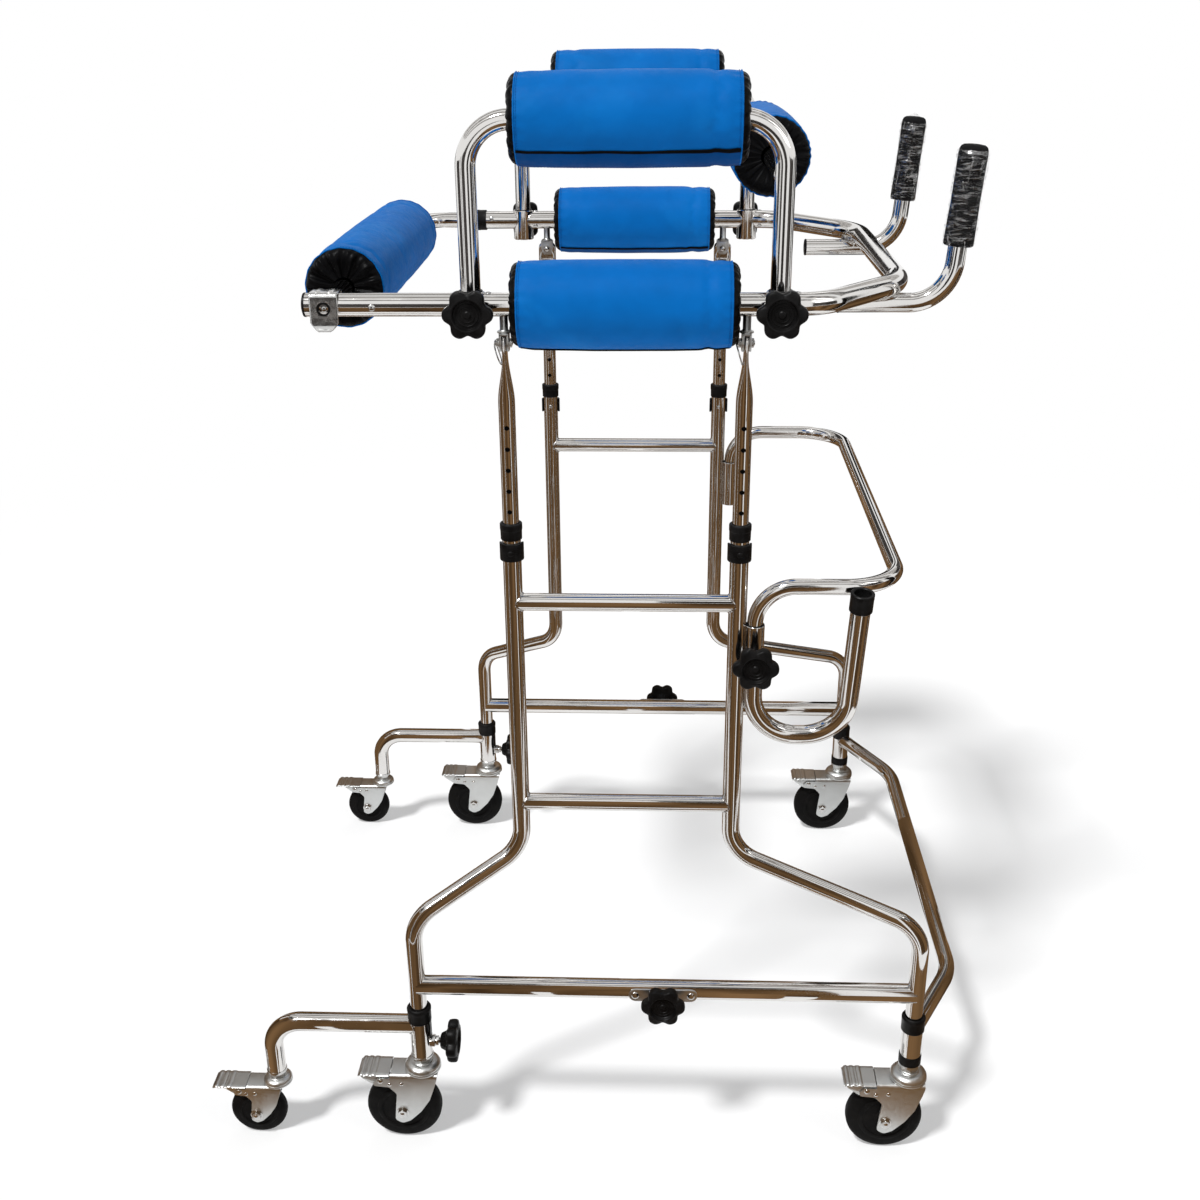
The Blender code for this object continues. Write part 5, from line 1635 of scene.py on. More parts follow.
        bolt = Form().rod(across(-outer - 0.004), across(outer + 0.004), 0.0028, 24)
        bolt.hexagon(across(near * outer), across(near * (outer + 0.0034)), 0.0052)
        bolt.hexagon(across(-near * outer), across(-near * (outer + 0.0030)), 0.0052)
        way = place.to_3x3() @ Vector((0, near, 0))
        bolt.add(shop.head_mesh([(across(near * (outer + 0.0030)), way, 0.0042)], BRIGHT_ZINC, 0.8))
        shop.hand_over("clevis_bolt_" + tag, bolt, BRIGHT_ZINC, Body.RING)
        centre = Vector((0.0, near * (outer + 0.0022), eye - 0.0125))
        loop = [place @ (centre + Vector((0.0030 * up * 0.6 + 0.0085 * up, 0.0035 * out, 0.0115 * out)))
                for out, up, _ in ring(1.0, 0.0, 36)]
        wire = shop.welds.run(shop.line_mesh([loop], True), BRIGHT_ZINC, Bead=0.0008, Unevenness=0.0)
        shop.hand_over("wire_ring_" + tag, wire, BRIGHT_ZINC, Body.RING)

    def build_grip(self, shop: Workshop, side_name: str, side: int) -> None:
        """Build a foam sleeve grip with its clear wrapping film.

        Args:
            shop: The workshop that makes the pieces.
            side_name: The side's name.
            side: The side's sign in Y.
        """
        foot, top = self.handle_line(side)
        high = self.grip_length
        place = aim(top - (top - foot).normalized() * high, top)
        profile = ((0.0113, 0.0), (0.0158, 0.0), (0.0168, 0.0010), (0.0172, 0.0030), (0.0169, 0.020),
                   (0.0163, 0.045), (0.0162, 0.060), (0.0164, 0.085), (0.0166, 0.100), (0.0160, 0.1055),
                   (0.0146, 0.1085), (0.0120, 0.1102), (0.0080, 0.1108), (0.0005, high))
        foam = Form().turn(profile, place, 56)
        shop.hand_over("grip_foam_" + side_name, foam, FOAM, Body.RING, "grip_" + side_name, sharp=50.0)
        lean = 0.0 if side < 0 else 0.004
        rings = []
        for height in (-0.0005 + (high + 0.001) * index / 45 for index in range(46)):
            close = blend(high - 0.012, high + 0.0012, height)
            radius = 0.0176 + 0.0004 * sin(9 * height / high)
            radius *= sqrt(max(0.0004, 1.0 - 0.97 * close * close))
            line = []
            for angle in (tau * step / 72 for step in range(72)):
                spot = Vector((cos(angle) * 1.6, sin(angle) * 1.6, height * 62 + side * 7.0))
                wrinkle = noise.turbulence(spot, 4, False, noise_basis="PERLIN_ORIGINAL") * 0.0012
                crease = abs(sin(3 * angle + height * 150 + 2 * noise.noise(spot))) ** 8 * 0.0006
                reach = radius + wrinkle * (1 - close) + crease * (1 - close)
                line.append(place @ Vector((*polar(reach, angle), height + lean * close * cos(angle))))
            rings.append(line)
        shop.hand_over("grip_film_" + side_name, Form().loft(rings, caps=False), FILM, Body.RING, sharp=80.0)

    def build_ends(self, shop: Workshop) -> None:
        """Build the plugs in the tubes' open ends, the gate's collar, the screws and the snap button.

        Args:
            shop: The workshop that makes the pieces.
        """
        z, width, radius, back = self.ring_height, self.half_width, self.ring_radius, Vector((1, 0, 0))
        end = Vector((self.right_end, -width, z))
        plug = about(radius, 0.0, (0.0004, 0.0), (0.0006, 0.0008), (0.0002, 0.0024))
        plugs = Form().turn([(0.0, 0.0), *plug, (radius * 0.8, 0.0034), (0.0005, 0.0038)],
                            aim(end + Vector((0.001, 0, 0)), end - back), 44)
        small = about(self.handle, 0.0, (0.0003, -0.0005), (0.0005, 0.0006), (0.0, 0.0018))
        for _, side in SIDES:
            foot, _ = self.handle_line(side)
            tail = Vector((self.tail_x, foot.y, foot.z))
            plugs.turn([(0.0005, -0.0005), *small, (self.handle * 0.7, 0.0024), (0.0005, 0.0026)],
                       aim(tail, tail - back), 40)
        shop.hand_over("tube_plugs", plugs, NYLON, Body.RING)
        left = Vector((self.left_end, width, z))
        foot, lip, seat, bore = 0.0035 - self.collar_height, 0.0035, radius + 0.0001, self.gate_tube + 0.0003
        profile = [(seat, foot), *about(self.collar, foot, (-0.0010, 0.0), (-0.0003, 0.0006)),
                   *about(self.collar, 0.0, (-0.0003, -0.0018), (0.0, -0.0012)),
                   *about(self.collar, lip, (0.0, -0.0010), (-0.0010, 0.0)),
                   (self.gate_tube + 0.0008, lip), (bore, lip - 0.0006), (bore, 0.0004), (seat, 0.0004)]
        collar = Form().turn(profile, aim(left, left - back), 48, closed=True)
        shop.hand_over("gate_bush", collar, NYLON, Body.RING, "gate_collar", sharp=30.0)
        heads = [((self.left_end + 0.020, width - radius * 0.92, z + radius * 0.30), (0, -0.95, 0.3), 0.0034),
                 ((-0.2755, -width - radius * 0.98, z - 0.001), (0, -1, 0), 0.0040)]
        shop.add_heads("ring_screws", heads, Body.RING)
        hole = Vector((-0.328, -width - radius, z - 0.002))
        profile = ((0.0005, 0.0050), (0.0018, 0.0049), (0.0032, 0.0042), (0.0041, 0.0028), (0.0045, 0.0008),
                   (0.0045, -0.0090), (0.0005, -0.0090))
        button = Form().turn(profile, aim(hole, hole - Vector((0, 1, 0))) @ moved(z=-0.0042), 40)
        shop.hand_over("latch_button", button, BRIGHT_ZINC, Body.BUTTON, "snap_button", sharp=50.0)


@dataclass
class Arches(Layout):
    """Both arches over the ring's arms and the chest bar welded between their front legs."""

    rise: float = 0.192
    bend: float = 0.048
    below: float = 0.026
    radius: float = 0.011
    bar_rise: float = 0.134

    def build(self, shop: Workshop) -> None:
        """Build the tubes and their welds.

        Args:
            shop: The workshop that makes the pieces.
        """
        foot, top, level = (self.ring_height + rise for rise in (-self.below, self.rise, self.bar_rise))
        x, routes, beads = self.arch_x, [], []
        for y in (-self.half_width, self.half_width):
            routes.append(([(-x, y, foot), (-x, y, top), (x, y, top), (x, y, foot)], self.radius, self.bend))
            beads.append(saddle(((x, y, 0), (0, 0, 1), self.radius),
                                ((x, y, level), (0, -y, 0), self.radius - 0.0005)))
        bar = [(x, -self.half_width, level), (x, self.half_width, level)]
        tubes = shop.tube_mesh(*routes, (bar, self.radius - 0.0003, 0.0), bend_steps=20)
        shop.hand_over("arch_tubes", tubes, CHROME, Body.ARCHES, "arch_frame")
        shop.add_beads("arch_welds", beads, Body.ARCHES)


@dataclass
class Gate(Layout):
    """The rear swing gate: its bent tube and the saddle latch over the right arm."""

    radius: float = 0.011
    left_end: float = -0.235
    bore: float = 0.045
    corner_x: float = -0.328
    bend: float = 0.045
    half_latch: float = 0.0155
    sheet: float = 0.002
    drop: float = 0.027
    lip: float = 0.008
    hole: float = 0.0068
    hole_drop: float = 0.002
    columns: int = 17

    def build(self, shop: Workshop) -> None:
        """Build the tube and the latch.

        Args:
            shop: The workshop that makes the pieces.
        """
        y, z = self.half_width, self.ring_height
        latch_side = -y + self.ring_radius + self.sheet + 0.0006
        route = [(self.left_end + self.bore - 0.0003, y, z), (self.corner_x, y, z),
                 (self.corner_x, latch_side, z)]
        tube = shop.tube_mesh((route, self.radius, self.bend), bend_steps=24)
        shop.hand_over("gate_bar", tube, CHROME, Body.GATE, "gate_tube")
        self.build_latch(shop, latch_side)

    def latch_strip(self, outer_y: float, inner_y: float, top: float) -> list[tuple[float, float, float]]:
        """Give the latch's section from its curled tab over the arm, each spot with its share of width.

        Args:
            outer_y: Its outer side in Y.
            inner_y: Its inner side in Y.
            top: Its top.

        Returns:
            The spots with their shares.
        """
        foot, level, round_off = self.ring_height - self.drop, self.ring_height, 0.0045
        strip = [(outer_y - 0.0036, foot + 0.0008, 0.42), (outer_y - 0.0024, foot + 0.0026, 0.62),
                 (outer_y - 0.0010, foot + 0.0050, 0.78), (outer_y - 0.0002, foot + 0.0078, 0.93)]
        strip += [(outer_y, z, 1.0) for z in (foot + 0.0100, level - 0.010, level - 0.002, level + 0.006)]
        bend = [polar(1.0, pi / 2 * step / 6) for step in range(7)]
        strip += [(outer_y + round_off * (1 - out), top - round_off * (1 - up), 1.0) for out, up in bend]
        strip += [(inner_y - round_off * (1 - up), top - round_off * (1 - out), 1.0) for out, up in bend]
        return strip + [(inner_y, level - self.lip, 1.0)]

    def build_latch(self, shop: Workshop, latch_side: float) -> None:
        """Build the folded latch plate with its ribs, its rimmed hole and the curled tab.

        Args:
            shop: The workshop that makes the pieces.
            latch_side: The latch's side in Y.
        """
        reach = self.ring_radius + 0.0003 + self.sheet / 2
        top, outer_y = self.ring_height + reach, -self.half_width - reach
        strip = self.latch_strip(outer_y, -self.half_width + reach, top)
        points = []
        for y, z, share in strip:
            for across in (-1 + 2 * index / (self.columns - 1) for index in range(self.columns)):
                ribbed = top - 0.0005 < z <= top + 1e-6 and 0.25 < abs(across) < 0.62
                lift = 0.0013 if ribbed else 0.0
                points.append((self.corner_x + self.half_latch * share * across, y, z + lift))
        sheet = bare("latch", points, faces=grid_faces(len(strip), self.columns))
        middle = Vector((self.corner_x, outer_y, self.ring_height - self.hole_drop))
        out = Vector((0, 1, 0))
        drill = Form().rod(middle - out * 0.01, middle + out * 0.005, self.hole, 40, 0.0)
        tool = stood("drill", drill.mesh("drill"))
        thicken, ease = sheet_steps(self.sheet, 0.0005, 40)
        cut = ("BOOLEAN", {"operation": "DIFFERENCE", "solver": "EXACT", "object": tool})
        plate = modified(sheet, thicken, cut, ease)
        bpy.data.objects.remove(tool, do_unlink=True)
        shop.hand_over("latch_plate", plate, BRIGHT_ZINC, Body.GATE, "gate_latch", sharp=32.0)
        face = middle - out * (self.sheet / 2)
        profile = about(self.hole, 0.0, (-0.0014, -0.0012), (0.0008, -0.0002), (0.0009, 0.0004),
                        (0.0004, 0.0009), (-0.0006, 0.0009), (-0.0014, 0.0004))
        rim = Form().turn(profile, aim(face, face - out), 44, closed=True)
        shop.hand_over("latch_hole_rim", rim, NYLON, Body.GATE)
        bead = [(self.corner_x + x, latch_side + 0.0004, self.ring_height + z)
                for x, z, _ in ring(self.radius + 0.0004, 0.0, 40)]
        shop.add_beads("latch_weld", [bead], Body.GATE)


@dataclass
class Loop(Layout):
    """The middle loop, a level bowed tube whose ends drop into the sockets."""

    socket_x: float = 0.1542
    height: float = 0.777
    front_x: float = 0.326
    bend: float = 0.048
    front_bend: float = 0.068
    radius: float = 0.0095
    foot: float = 0.668

    def build(self, shop: Workshop) -> None:
        """Build the tube.

        Args:
            shop: The workshop that makes the pieces.
        """
        y = self.half_width
        half = [(self.socket_x, y, self.foot), (self.socket_x, y, self.height),
                (self.front_x, y, self.height)]
        corners = [(x, -y, z) for x, _, z in half] + half[::-1]
        bends = [self.bend, self.bend, self.front_bend, self.front_bend, self.bend, self.bend]
        tube = shop.tube_mesh((corners, self.radius, bends), bend_steps=22)
        shop.hand_over("loop_tube", tube, CHROME, Body.LOOP, "middle_loop")


class Stub(Enum):
    """How the foot of a caster stub is finished."""

    NUT = "nut"
    EXPANDER = "expander"


@dataclass
class CasterStub(Layout):
    """A caster stub: chromed sleeve, soft black collar, and the nut or expander at its foot."""

    radius: float = 0.0135
    finish: Stub = Stub.EXPANDER
    top: float = 0.212
    foot: float = 0.1333
    collar_height: float = 0.022

    def build(self, shop: Workshop, tag: str, body: str, x: float, y: float) -> None:
        """Build the stub on its body.

        Args:
            shop: The workshop that makes the pieces.
            tag: What its pieces are named after.
            body: The body that it moves with.
            x: Where it stands in X.
            y: Where it stands in Y.
        """
        place, low = moved(x, y), (x, y, self.foot - 0.0001)
        tube = Form().sleeve((x, y, self.foot), (x, y, self.top - 0.001), self.radius, self.leg + 0.0004, 44)
        shop.hand_over("stub_tube_" + tag, tube, CHROME, body)
        seat, inner, foot = self.radius + 0.0001, self.leg + 0.0003, self.top - self.collar_height
        outer = self.radius + 0.0014
        profile = [(seat, foot), (outer - 0.0005, foot), (outer, foot + 0.0008),
                   *about(outer, self.top, (0.0, -0.0062), (0.0003, -0.0054), (0.0004, -0.0022),
                          (-0.0006, -0.0006), (-0.0020, 0.0002)),
                   *about(inner, self.top, (0.0006, 0.0002), (0.0, -0.0006), (0.0, -0.0060)),
                   (seat, self.top - 0.0062)]
        shop.hand_over("stub_collar_" + tag, Form().turn(profile, place, 48, closed=True), NYLON, body,
                       sharp=28.0)
        if self.finish is Stub.EXPANDER:
            profile = about(self.radius, self.foot, (0.0001, 0.004), (0.0009, 0.0045), (0.0010, 0.0165),
                            (0.0006, 0.0180), (0.0001, 0.0180))
            shop.hand_over("stub_expander_" + tag, Form().turn(profile, place, 48, closed=True), NYLON, body)
            foot_ring = Form().sleeve(low, (x, y, self.foot + 0.0046), self.radius + 0.0006, self.leg, 44,
                                      0.0006)
            shop.hand_over("stub_ring_" + tag, foot_ring, ZINC, body)
        else:
            foot_ring = Form().sleeve(low, (x, y, self.foot + 0.0030), self.radius + 0.0007, self.leg, 44,
                                      0.0005)
            shop.hand_over("stub_ring_" + tag, foot_ring, BRIGHT_ZINC, body)


@dataclass
class BaseBar(Layout):
    """The front of the base: a bent bar between the two front caster stubs."""

    height: float = 0.186
    corner_x: float = 0.441
    corner_half_width: float = 0.264
    bend: float = 0.105
    radius: float = 0.011
    stub: float = 0.0135

    def build(self, shop: Workshop) -> None:
        """Build the bar, its stubs and the welds.

        Args:
            shop: The workshop that makes the pieces.
        """
        x, width, z = self.stub_front, self.base_half_width, self.height
        corners = [(x, -width, z), (self.corner_x, -self.corner_half_width, z),
                   (self.corner_x, self.corner_half_width, z), (x, width, z)]
        shop.hand_over("base_bar", shop.tube_mesh((corners, self.radius, self.bend)), CHROME, Body.BASE,
                       "front_base_bar")
        beads = []
        for side_name, side in SIDES:
            y = width * side
            CasterStub(radius=self.stub).build(shop, "front_" + side_name, Body.BASE, x, y)
            way = (self.corner_x - x, (self.corner_half_width - width) * side, 0)
            beads.append(saddle(((x, y, z), (0, 0, 1), self.stub), ((x, y, z), way, self.radius)))
        shop.add_beads("base_bar_welds", beads, Body.BASE, 0.0015)


@dataclass
class Outrigger(Layout):
    """A rear outrigger: the leg's stub, the bent arm to the small caster and the clamp's boss."""

    height: float = 0.183
    end_x: float = -0.465
    bend: float = 0.040
    radius: float = 0.0125
    stub: float = 0.014
    small_height: float = 0.101
    knob_height: float = 0.156

    def build(self, shop: Workshop) -> None:
        """Build both outriggers.

        Args:
            shop: The workshop that makes the pieces.
        """
        x, foot = self.stub_rear, self.small_height + 0.0003
        for side_name, side in SIDES:
            body, y = "outrigger_" + side_name, self.base_half_width * side
            spot = (x, y, self.height)
            route = [spot, (self.end_x, y, self.height), (self.end_x, y, foot)]
            arm = shop.tube_mesh((route, self.radius, self.bend), bend_steps=24)
            shop.hand_over("outrigger_arm_" + side_name, arm, CHROME, body, body)
            CasterStub(radius=self.stub, finish=Stub.NUT).build(shop, "rear_" + side_name, body, x, y)
            bead = saddle((spot, (0, 0, 1), self.stub), (spot, (-1, 0, 0), self.radius))
            shop.add_beads("outrigger_weld_" + side_name, [bead], body, 0.0015)
            edge = x + self.stub

            def nut(start: float, end: float, radius: float, bore: float) -> Form:
                """Give a nut that stands out from the stub."""
                return Form().hexagon((start, y, self.knob_height), (end, y, self.knob_height), radius, bore)

            shop.hand_over("outrigger_boss_" + side_name, nut(edge - 0.003, edge + 0.005, 0.0085, 0.0044),
                           BRIGHT_ZINC, body)
            lock_nut = nut(edge + 0.0056, edge + 0.0094, 0.0068, 0.0040)
            shop.hand_over("outrigger_lock_nut_" + side_name, lock_nut, BRIGHT_ZINC,
                           "outrigger_knob_" + side_name)
            low, outer = self.knob_height + 0.008, self.stub + 0.0011
            tongue = rounded([(low, -0.0062), (0.196, -0.0062), (0.196, 0.0062), (low, 0.0062)], 0.0015, 3)
            strip = Form().loft([[(x + sqrt(max(0.0, reach * reach - across * across)), y + across, z)
                                  for z, across in tongue] for reach in (outer - 0.0012, outer)])
            shop.hand_over("outrigger_collar_tongue_" + side_name, strip, NYLON, body)
            cap = about(self.radius, foot, (0.0004, -0.0001), (0.0007, 0.0008), (0.0007, 0.0042),
                        (0.0001, 0.0048))
            cap = Form().turn([(0.0005, foot - 0.0001), *cap], moved(self.end_x, y), 44)
            shop.hand_over("outrigger_end_cap_" + side_name, cap, BRIGHT_ZINC, body)


@dataclass
class Caster:
    """A braked swivel caster: folded fork, raceway, one-piece wheel and ridged pedal."""

    wheel: float
    half_wheel: float
    trail: float
    height: float
    head: float
    collar: float
    reach: float
    plate: float = 0.0025
    side_gap: float = 0.002
    crown_top: float = 1.24
    crown_back: float = -0.28
    pedal_pin: tuple[float, float] = (-0.54, 1.03)
    pedal_front: float = -0.30
    pedal_sheet: float = 0.0025

    @property
    def half_fork(self) -> float:
        """Give half the width over the fork's cheeks."""
        return self.half_wheel + self.side_gap + self.plate

    def folded(self, outline: Profile, fold: float, middle: float, top: float) -> Form:
        """Fold a flat pattern down both sides of the wheel.

        Args:
            outline: Its points, each by its length and its distance from the middle line along the sheet.
            fold: The bend radius of the sheet's middle.
            middle: Half the width between the cheeks' middles.
            top: The height of the crown's middle.

        Returns:
            The sheet with its thickness and eased edges.
        """
        flat, quarter = middle - fold, fold * pi / 2
        mesh = bare("folded", ())
        with opened(mesh) as shape:
            shape.faces.new([shape.verts.new((x, s, 0.0)) for x, s in outline])
            bmesh.ops.triangulate(shape, faces=shape.faces[:])
            lines = [flat + quarter * step / 6 for step in range(7)]
            for line in [-value for value in lines] + lines:
                geometry = shape.verts[:] + shape.edges[:] + shape.faces[:]
                bmesh.ops.bisect_plane(shape, geom=geometry, plane_co=(0, line, 0), plane_no=(0, 1, 0),
                                       dist=1e-7)
            for vertex in shape.verts:
                x, s, _ = vertex.co
                away, sign = abs(s), 1.0 if s >= 0 else -1.0
                if away <= flat:
                    vertex.co = (x, s, top)
                elif away <= flat + quarter:
                    angle = (away - flat) / fold
                    vertex.co = (x, sign * (flat + fold * sin(angle)), top - fold * (1 - cos(angle)))
                else:
                    vertex.co = (x, sign * middle, top - fold - (away - flat - quarter))
        return Form().add(modified(mesh, *sheet_steps(self.plate, 0.0006, 50)))

    def fork_form(self) -> Form:
        """Give the folded fork about its stem, its crown level under the raceway.

        Returns:
            The fork.
        """
        size, fold = self.wheel, 0.0040
        middle = self.half_fork - self.plate / 2
        top, flat = size * (1 + self.crown_top) - self.plate / 2, middle - fold
        bend_end = flat + fold * pi / 2
        cheek = [(0.96, 1.13, 0.10), (0.90, 0.90, 0.15), (0.74, 0.42, 0.25), (0.50, 0.04, 0.2),
                 (0.20, -0.27, 0.12), (-0.02, -0.37, 0.16), (-0.21, -0.25, 0.12), (-0.17, 0.20, 0.3),
                 (-0.12, 0.62, 0.15), (-0.32, 0.84, 0.12), (-0.72, 0.88, 0.08), (-0.73, 0.99, 0.03),
                 (-0.61, 1.13, 0.04), (-0.29, 1.13, 0.02)]
        half = [(across * size - self.trail, bend_end + (top - fold - (size + up * size)))
                for across, up, _ in cheek]
        radii = [round_off * size for _, _, round_off in cheek]
        front = [(share * size - self.trail, s) for share, s in ((0.975, flat * 0.9), (0.985, 0.0),
                                                                 (0.975, -flat * 0.9))]
        back = self.crown_back * size - self.trail
        outline = [(back, flat), *half[::-1], *front, *((x, -s) for x, s in half), (back, -flat)]
        sizes = [0.0, *radii[::-1], 0.0, 0.0, 0.0, *radii, 0.0]
        return self.folded(rounded(outline, sizes, 4), fold, middle, top)

    def head_form(self) -> Form:
        """Give the raceway, its dust lip, the washer and the nut under the stub.

        Returns:
            The pieces above the fork.
        """
        crown = self.wheel * (1 + self.crown_top)
        rise, head = self.height - crown, self.head
        dome = ((1.0, 0.04), (1.0, 0.14), (0.985, 0.17), (0.955, 0.185), (0.950, 0.215), (0.985, 0.235),
                (0.992, 0.27), (0.975, 0.33), (0.93, 0.41), (0.86, 0.485), (0.76, 0.545), (0.66, 0.575))
        neck = ((0.0006, 0.585), (0.0002, 0.60), (0.0004, 0.66), (-0.0004, 0.68))
        profile = [(0.0005, -self.plate * 0.9), (head * 0.80, -self.plate * 0.9), (head * 0.86, -0.0002),
                   (head * 0.985, 0.0002), *((head * share, rise * up) for share, up in dome),
                   *((self.collar + out, rise * up) for out, up in neck), (0.0005, rise * 0.68)]
        form = Form().turn([(radius, crown + height) for radius, height in profile], steps=64)
        form.hexagon((0, 0, crown + rise * 0.66), (0, 0, crown + rise * 0.985), self.collar - 0.0006)
        return form.rod((0, 0, self.height - 0.002), (0, 0, self.height + 0.010), 0.006, 28)

    def build(self, shop: Workshop, tag: str, x: float, y: float) -> None:
        """Build one caster on its three bodies.

        Args:
            shop: The workshop that makes the pieces.
            tag: What its pieces are named after.
            x: Where it stands in X.
            y: Where it stands in Y.
        """
        place, fork = moved(x, y), "fork_" + tag
        shop.hand_over("fork_sheet_" + tag, Form().add(self.fork_form(), place), ZINC, fork, fork, sharp=38.0)
        shop.hand_over("raceway_" + tag, Form().add(self.head_form(), place), ZINC, fork, sharp=32.0)
        self.build_pins(shop, tag, place)
        self.build_wheel(shop, tag, place)
        self.build_pedal(shop, tag, place)

    def build_pins(self, shop: Workshop, tag: str, place: Matrix) -> None:
        """Build the axle bolt with its washers, the pedal's pin and the brake's rivets.

        Args:
            shop: The workshop that makes the pieces.
            tag: What its pieces are named after.
            place: Where the caster stands.
        """
        size, face = self.wheel, self.half_fork
        axle = Vector((-self.trail, 0, size))
        pin = axle + Vector((self.pedal_pin[0] * size, 0, self.pedal_pin[1] * size))
        form, heads = Form(), []
        for spot, past, radius, steps in ((axle, 0.001, 0.0039, 28), (pin, 0.0008, 0.0024, 20)):
            out = Vector((0, face + past, 0))
            form.rod(place @ (spot - out), place @ (spot + out), radius, steps)
        for side in (-1, 1):
            out = Vector((0, side, 0))
            form.sleeve(place @ (axle + out * (face - 0.0001)), place @ (axle + out * (face + 0.0010)),
                        0.0082, 0.0040, 36, 0.0002)
            form.hexagon(place @ (axle + out * (face + 0.0010)), place @ (axle + out * (face + 0.0044)),
                         0.0066)
            heads.append((place @ (axle + out * (face + 0.0040)), out, 0.0034))
            heads.append((place @ (pin + out * face), out, 0.0038))
            for across, up in ((-0.30, 0.93), (0.02, 0.95)):
                rivet = axle + Vector((across * size, 0, up * size)) + out * (face - 0.0001)
                heads.append((place @ rivet, out, 0.0028))
        form.add(shop.head_mesh(heads, BRIGHT_ZINC))
        shop.hand_over("fork_pins_" + tag, form, BRIGHT_ZINC, "fork_" + tag)

    def build_wheel(self, shop: Workshop, tag: str, place: Matrix) -> None:
        """Build the one-piece wheel: crowned tread, stepped side and hub.

        Args:
            shop: The workshop that makes the pieces.
            tag: What its pieces are named after.
            place: Where the caster stands.
        """
        side = ((0.082, 0.97), (0.20, 0.98), (0.235, 0.95), (0.25, 0.86), (0.27, 0.80), (0.52, 0.78),
                (0.56, 0.80), (0.575, 0.86), (0.60, 0.885), (0.66, 0.885), (0.685, 0.85), (0.70, 0.78),
                (0.74, 0.765), (0.84, 0.745), (0.90, 0.69), (0.945, 0.60), (0.975, 0.49), (0.992, 0.36),
                (1.0, 0.20))
        profile = [(radius * self.wheel, along * self.half_wheel) for radius, along in side]
        profile += [(radius, -along) for radius, along in reversed(profile)]
        form = Form().turn(profile, place @ moved(-self.trail, 0, self.wheel) @ turned(pi / 2, "X"), 120,
                           closed=True)
        shop.hand_over("tyre_" + tag, form, TYRE, "wheel_" + tag, "wheel_" + tag, sharp=24.0)

    def build_pedal(self, shop: Workshop, tag: str, place: Matrix) -> None:
        """Build the stamped pedal: ridged tread, its folded edges and the two flanges.

        Args:
            shop: The workshop that makes the pieces.
            tag: What its pieces are named after.
            place: Where the caster stands.
        """
        size, sheet, columns = self.wheel, self.pedal_sheet, 15
        pin = Vector((-self.trail + self.pedal_pin[0] * size, 0, size + self.pedal_pin[1] * size))
        top = size * (1 + self.crown_top) - pin.z
        front = (self.pedal_front - self.pedal_pin[0]) * size
        length = front - (-self.reach - self.pedal_pin[0] * size)
        points = []
        for share in (step / 48 for step in range(49)):
            z = top - sheet / 2
            for start, end in ((0.42, 0.57), (0.62, 0.76), (0.81, 0.94)):
                z += 0.0011 * blend(start, start + 0.035, share) * (1 - blend(end - 0.035, end, share))
            z -= 0.0016 * blend(0.90, 1.0, share)
            narrow = 1.0 - 0.10 * blend(0.80, 1.0, share) ** 2
            for across in (-1 + 2 * index / (columns - 1) for index in range(columns)):
                dip = 0.020 * size * blend(0.86, 1.0, abs(across))
                points.append((front - length * share, self.half_fork * narrow * across, z - dip))
        mesh = bare("tread", points, faces=grid_faces(49, columns))
        form = Form().add(modified(mesh, *sheet_steps(sheet * 0.85, 0.0005, 50)))
        flange = ((0.14, 0.19), (-0.30, 0.17), (-0.54, 0.15), (-0.50, 0.06), (-0.20, -0.16), (0.06, -0.17),
                  (0.13, 0.0))
        outline = rounded([(across * size, up * size) for across, up in flange], 0.003)
        for face in (-1, 1):
            where = moved(y=face * (self.half_wheel + self.side_gap - 0.0011)) @ turned(pi / 2, "X")
            form.add(Form().plate(outline, 0.0014, where).eased(0.0003))
        form = Form().add(form, place @ Matrix.Translation(pin))
        shop.hand_over("pedal_tread_" + tag, form, ZINC, "pedal_" + tag, "pedal_" + tag, sharp=30.0)


@dataclass
class RunningGear(Layout):
    """All six casters and where they stand."""

    end_x: float = -0.465

    def build(self, shop: Workshop) -> None:
        """Build the casters.

        Args:
            shop: The workshop that makes the pieces.
        """
        main = Caster(0.050, 0.0145, 0.028, 0.133, 0.0240, 0.0130, 0.057)
        small = Caster(0.0375, 0.0115, 0.030, 0.101, 0.0190, 0.0115, 0.056)
        for side_name, side in SIDES:
            y = self.base_half_width * side
            main.build(shop, "rear_" + side_name, self.stub_rear, y)
            main.build(shop, "front_" + side_name, self.stub_front, y)
            small.build(shop, "outrigger_" + side_name, self.end_x, y)


def weave(mesh: Mesh, where: Callable[[Vector], Flat]) -> Mesh:
    """Store where each corner of a mesh lies on its cloth, worked out from its place.

    Args:
        mesh: The mesh.
        where: What works a corner's place on the cloth out.

    Returns:
        The mesh.
    """
    spots = [where(mesh.vertices[loop.vertex_index].co) for loop in mesh.loops]
    store(mesh, "cloth", [part for spot in spots for part in (*spot, 0.0)], "FLOAT_VECTOR", "CORNER")
    return mesh


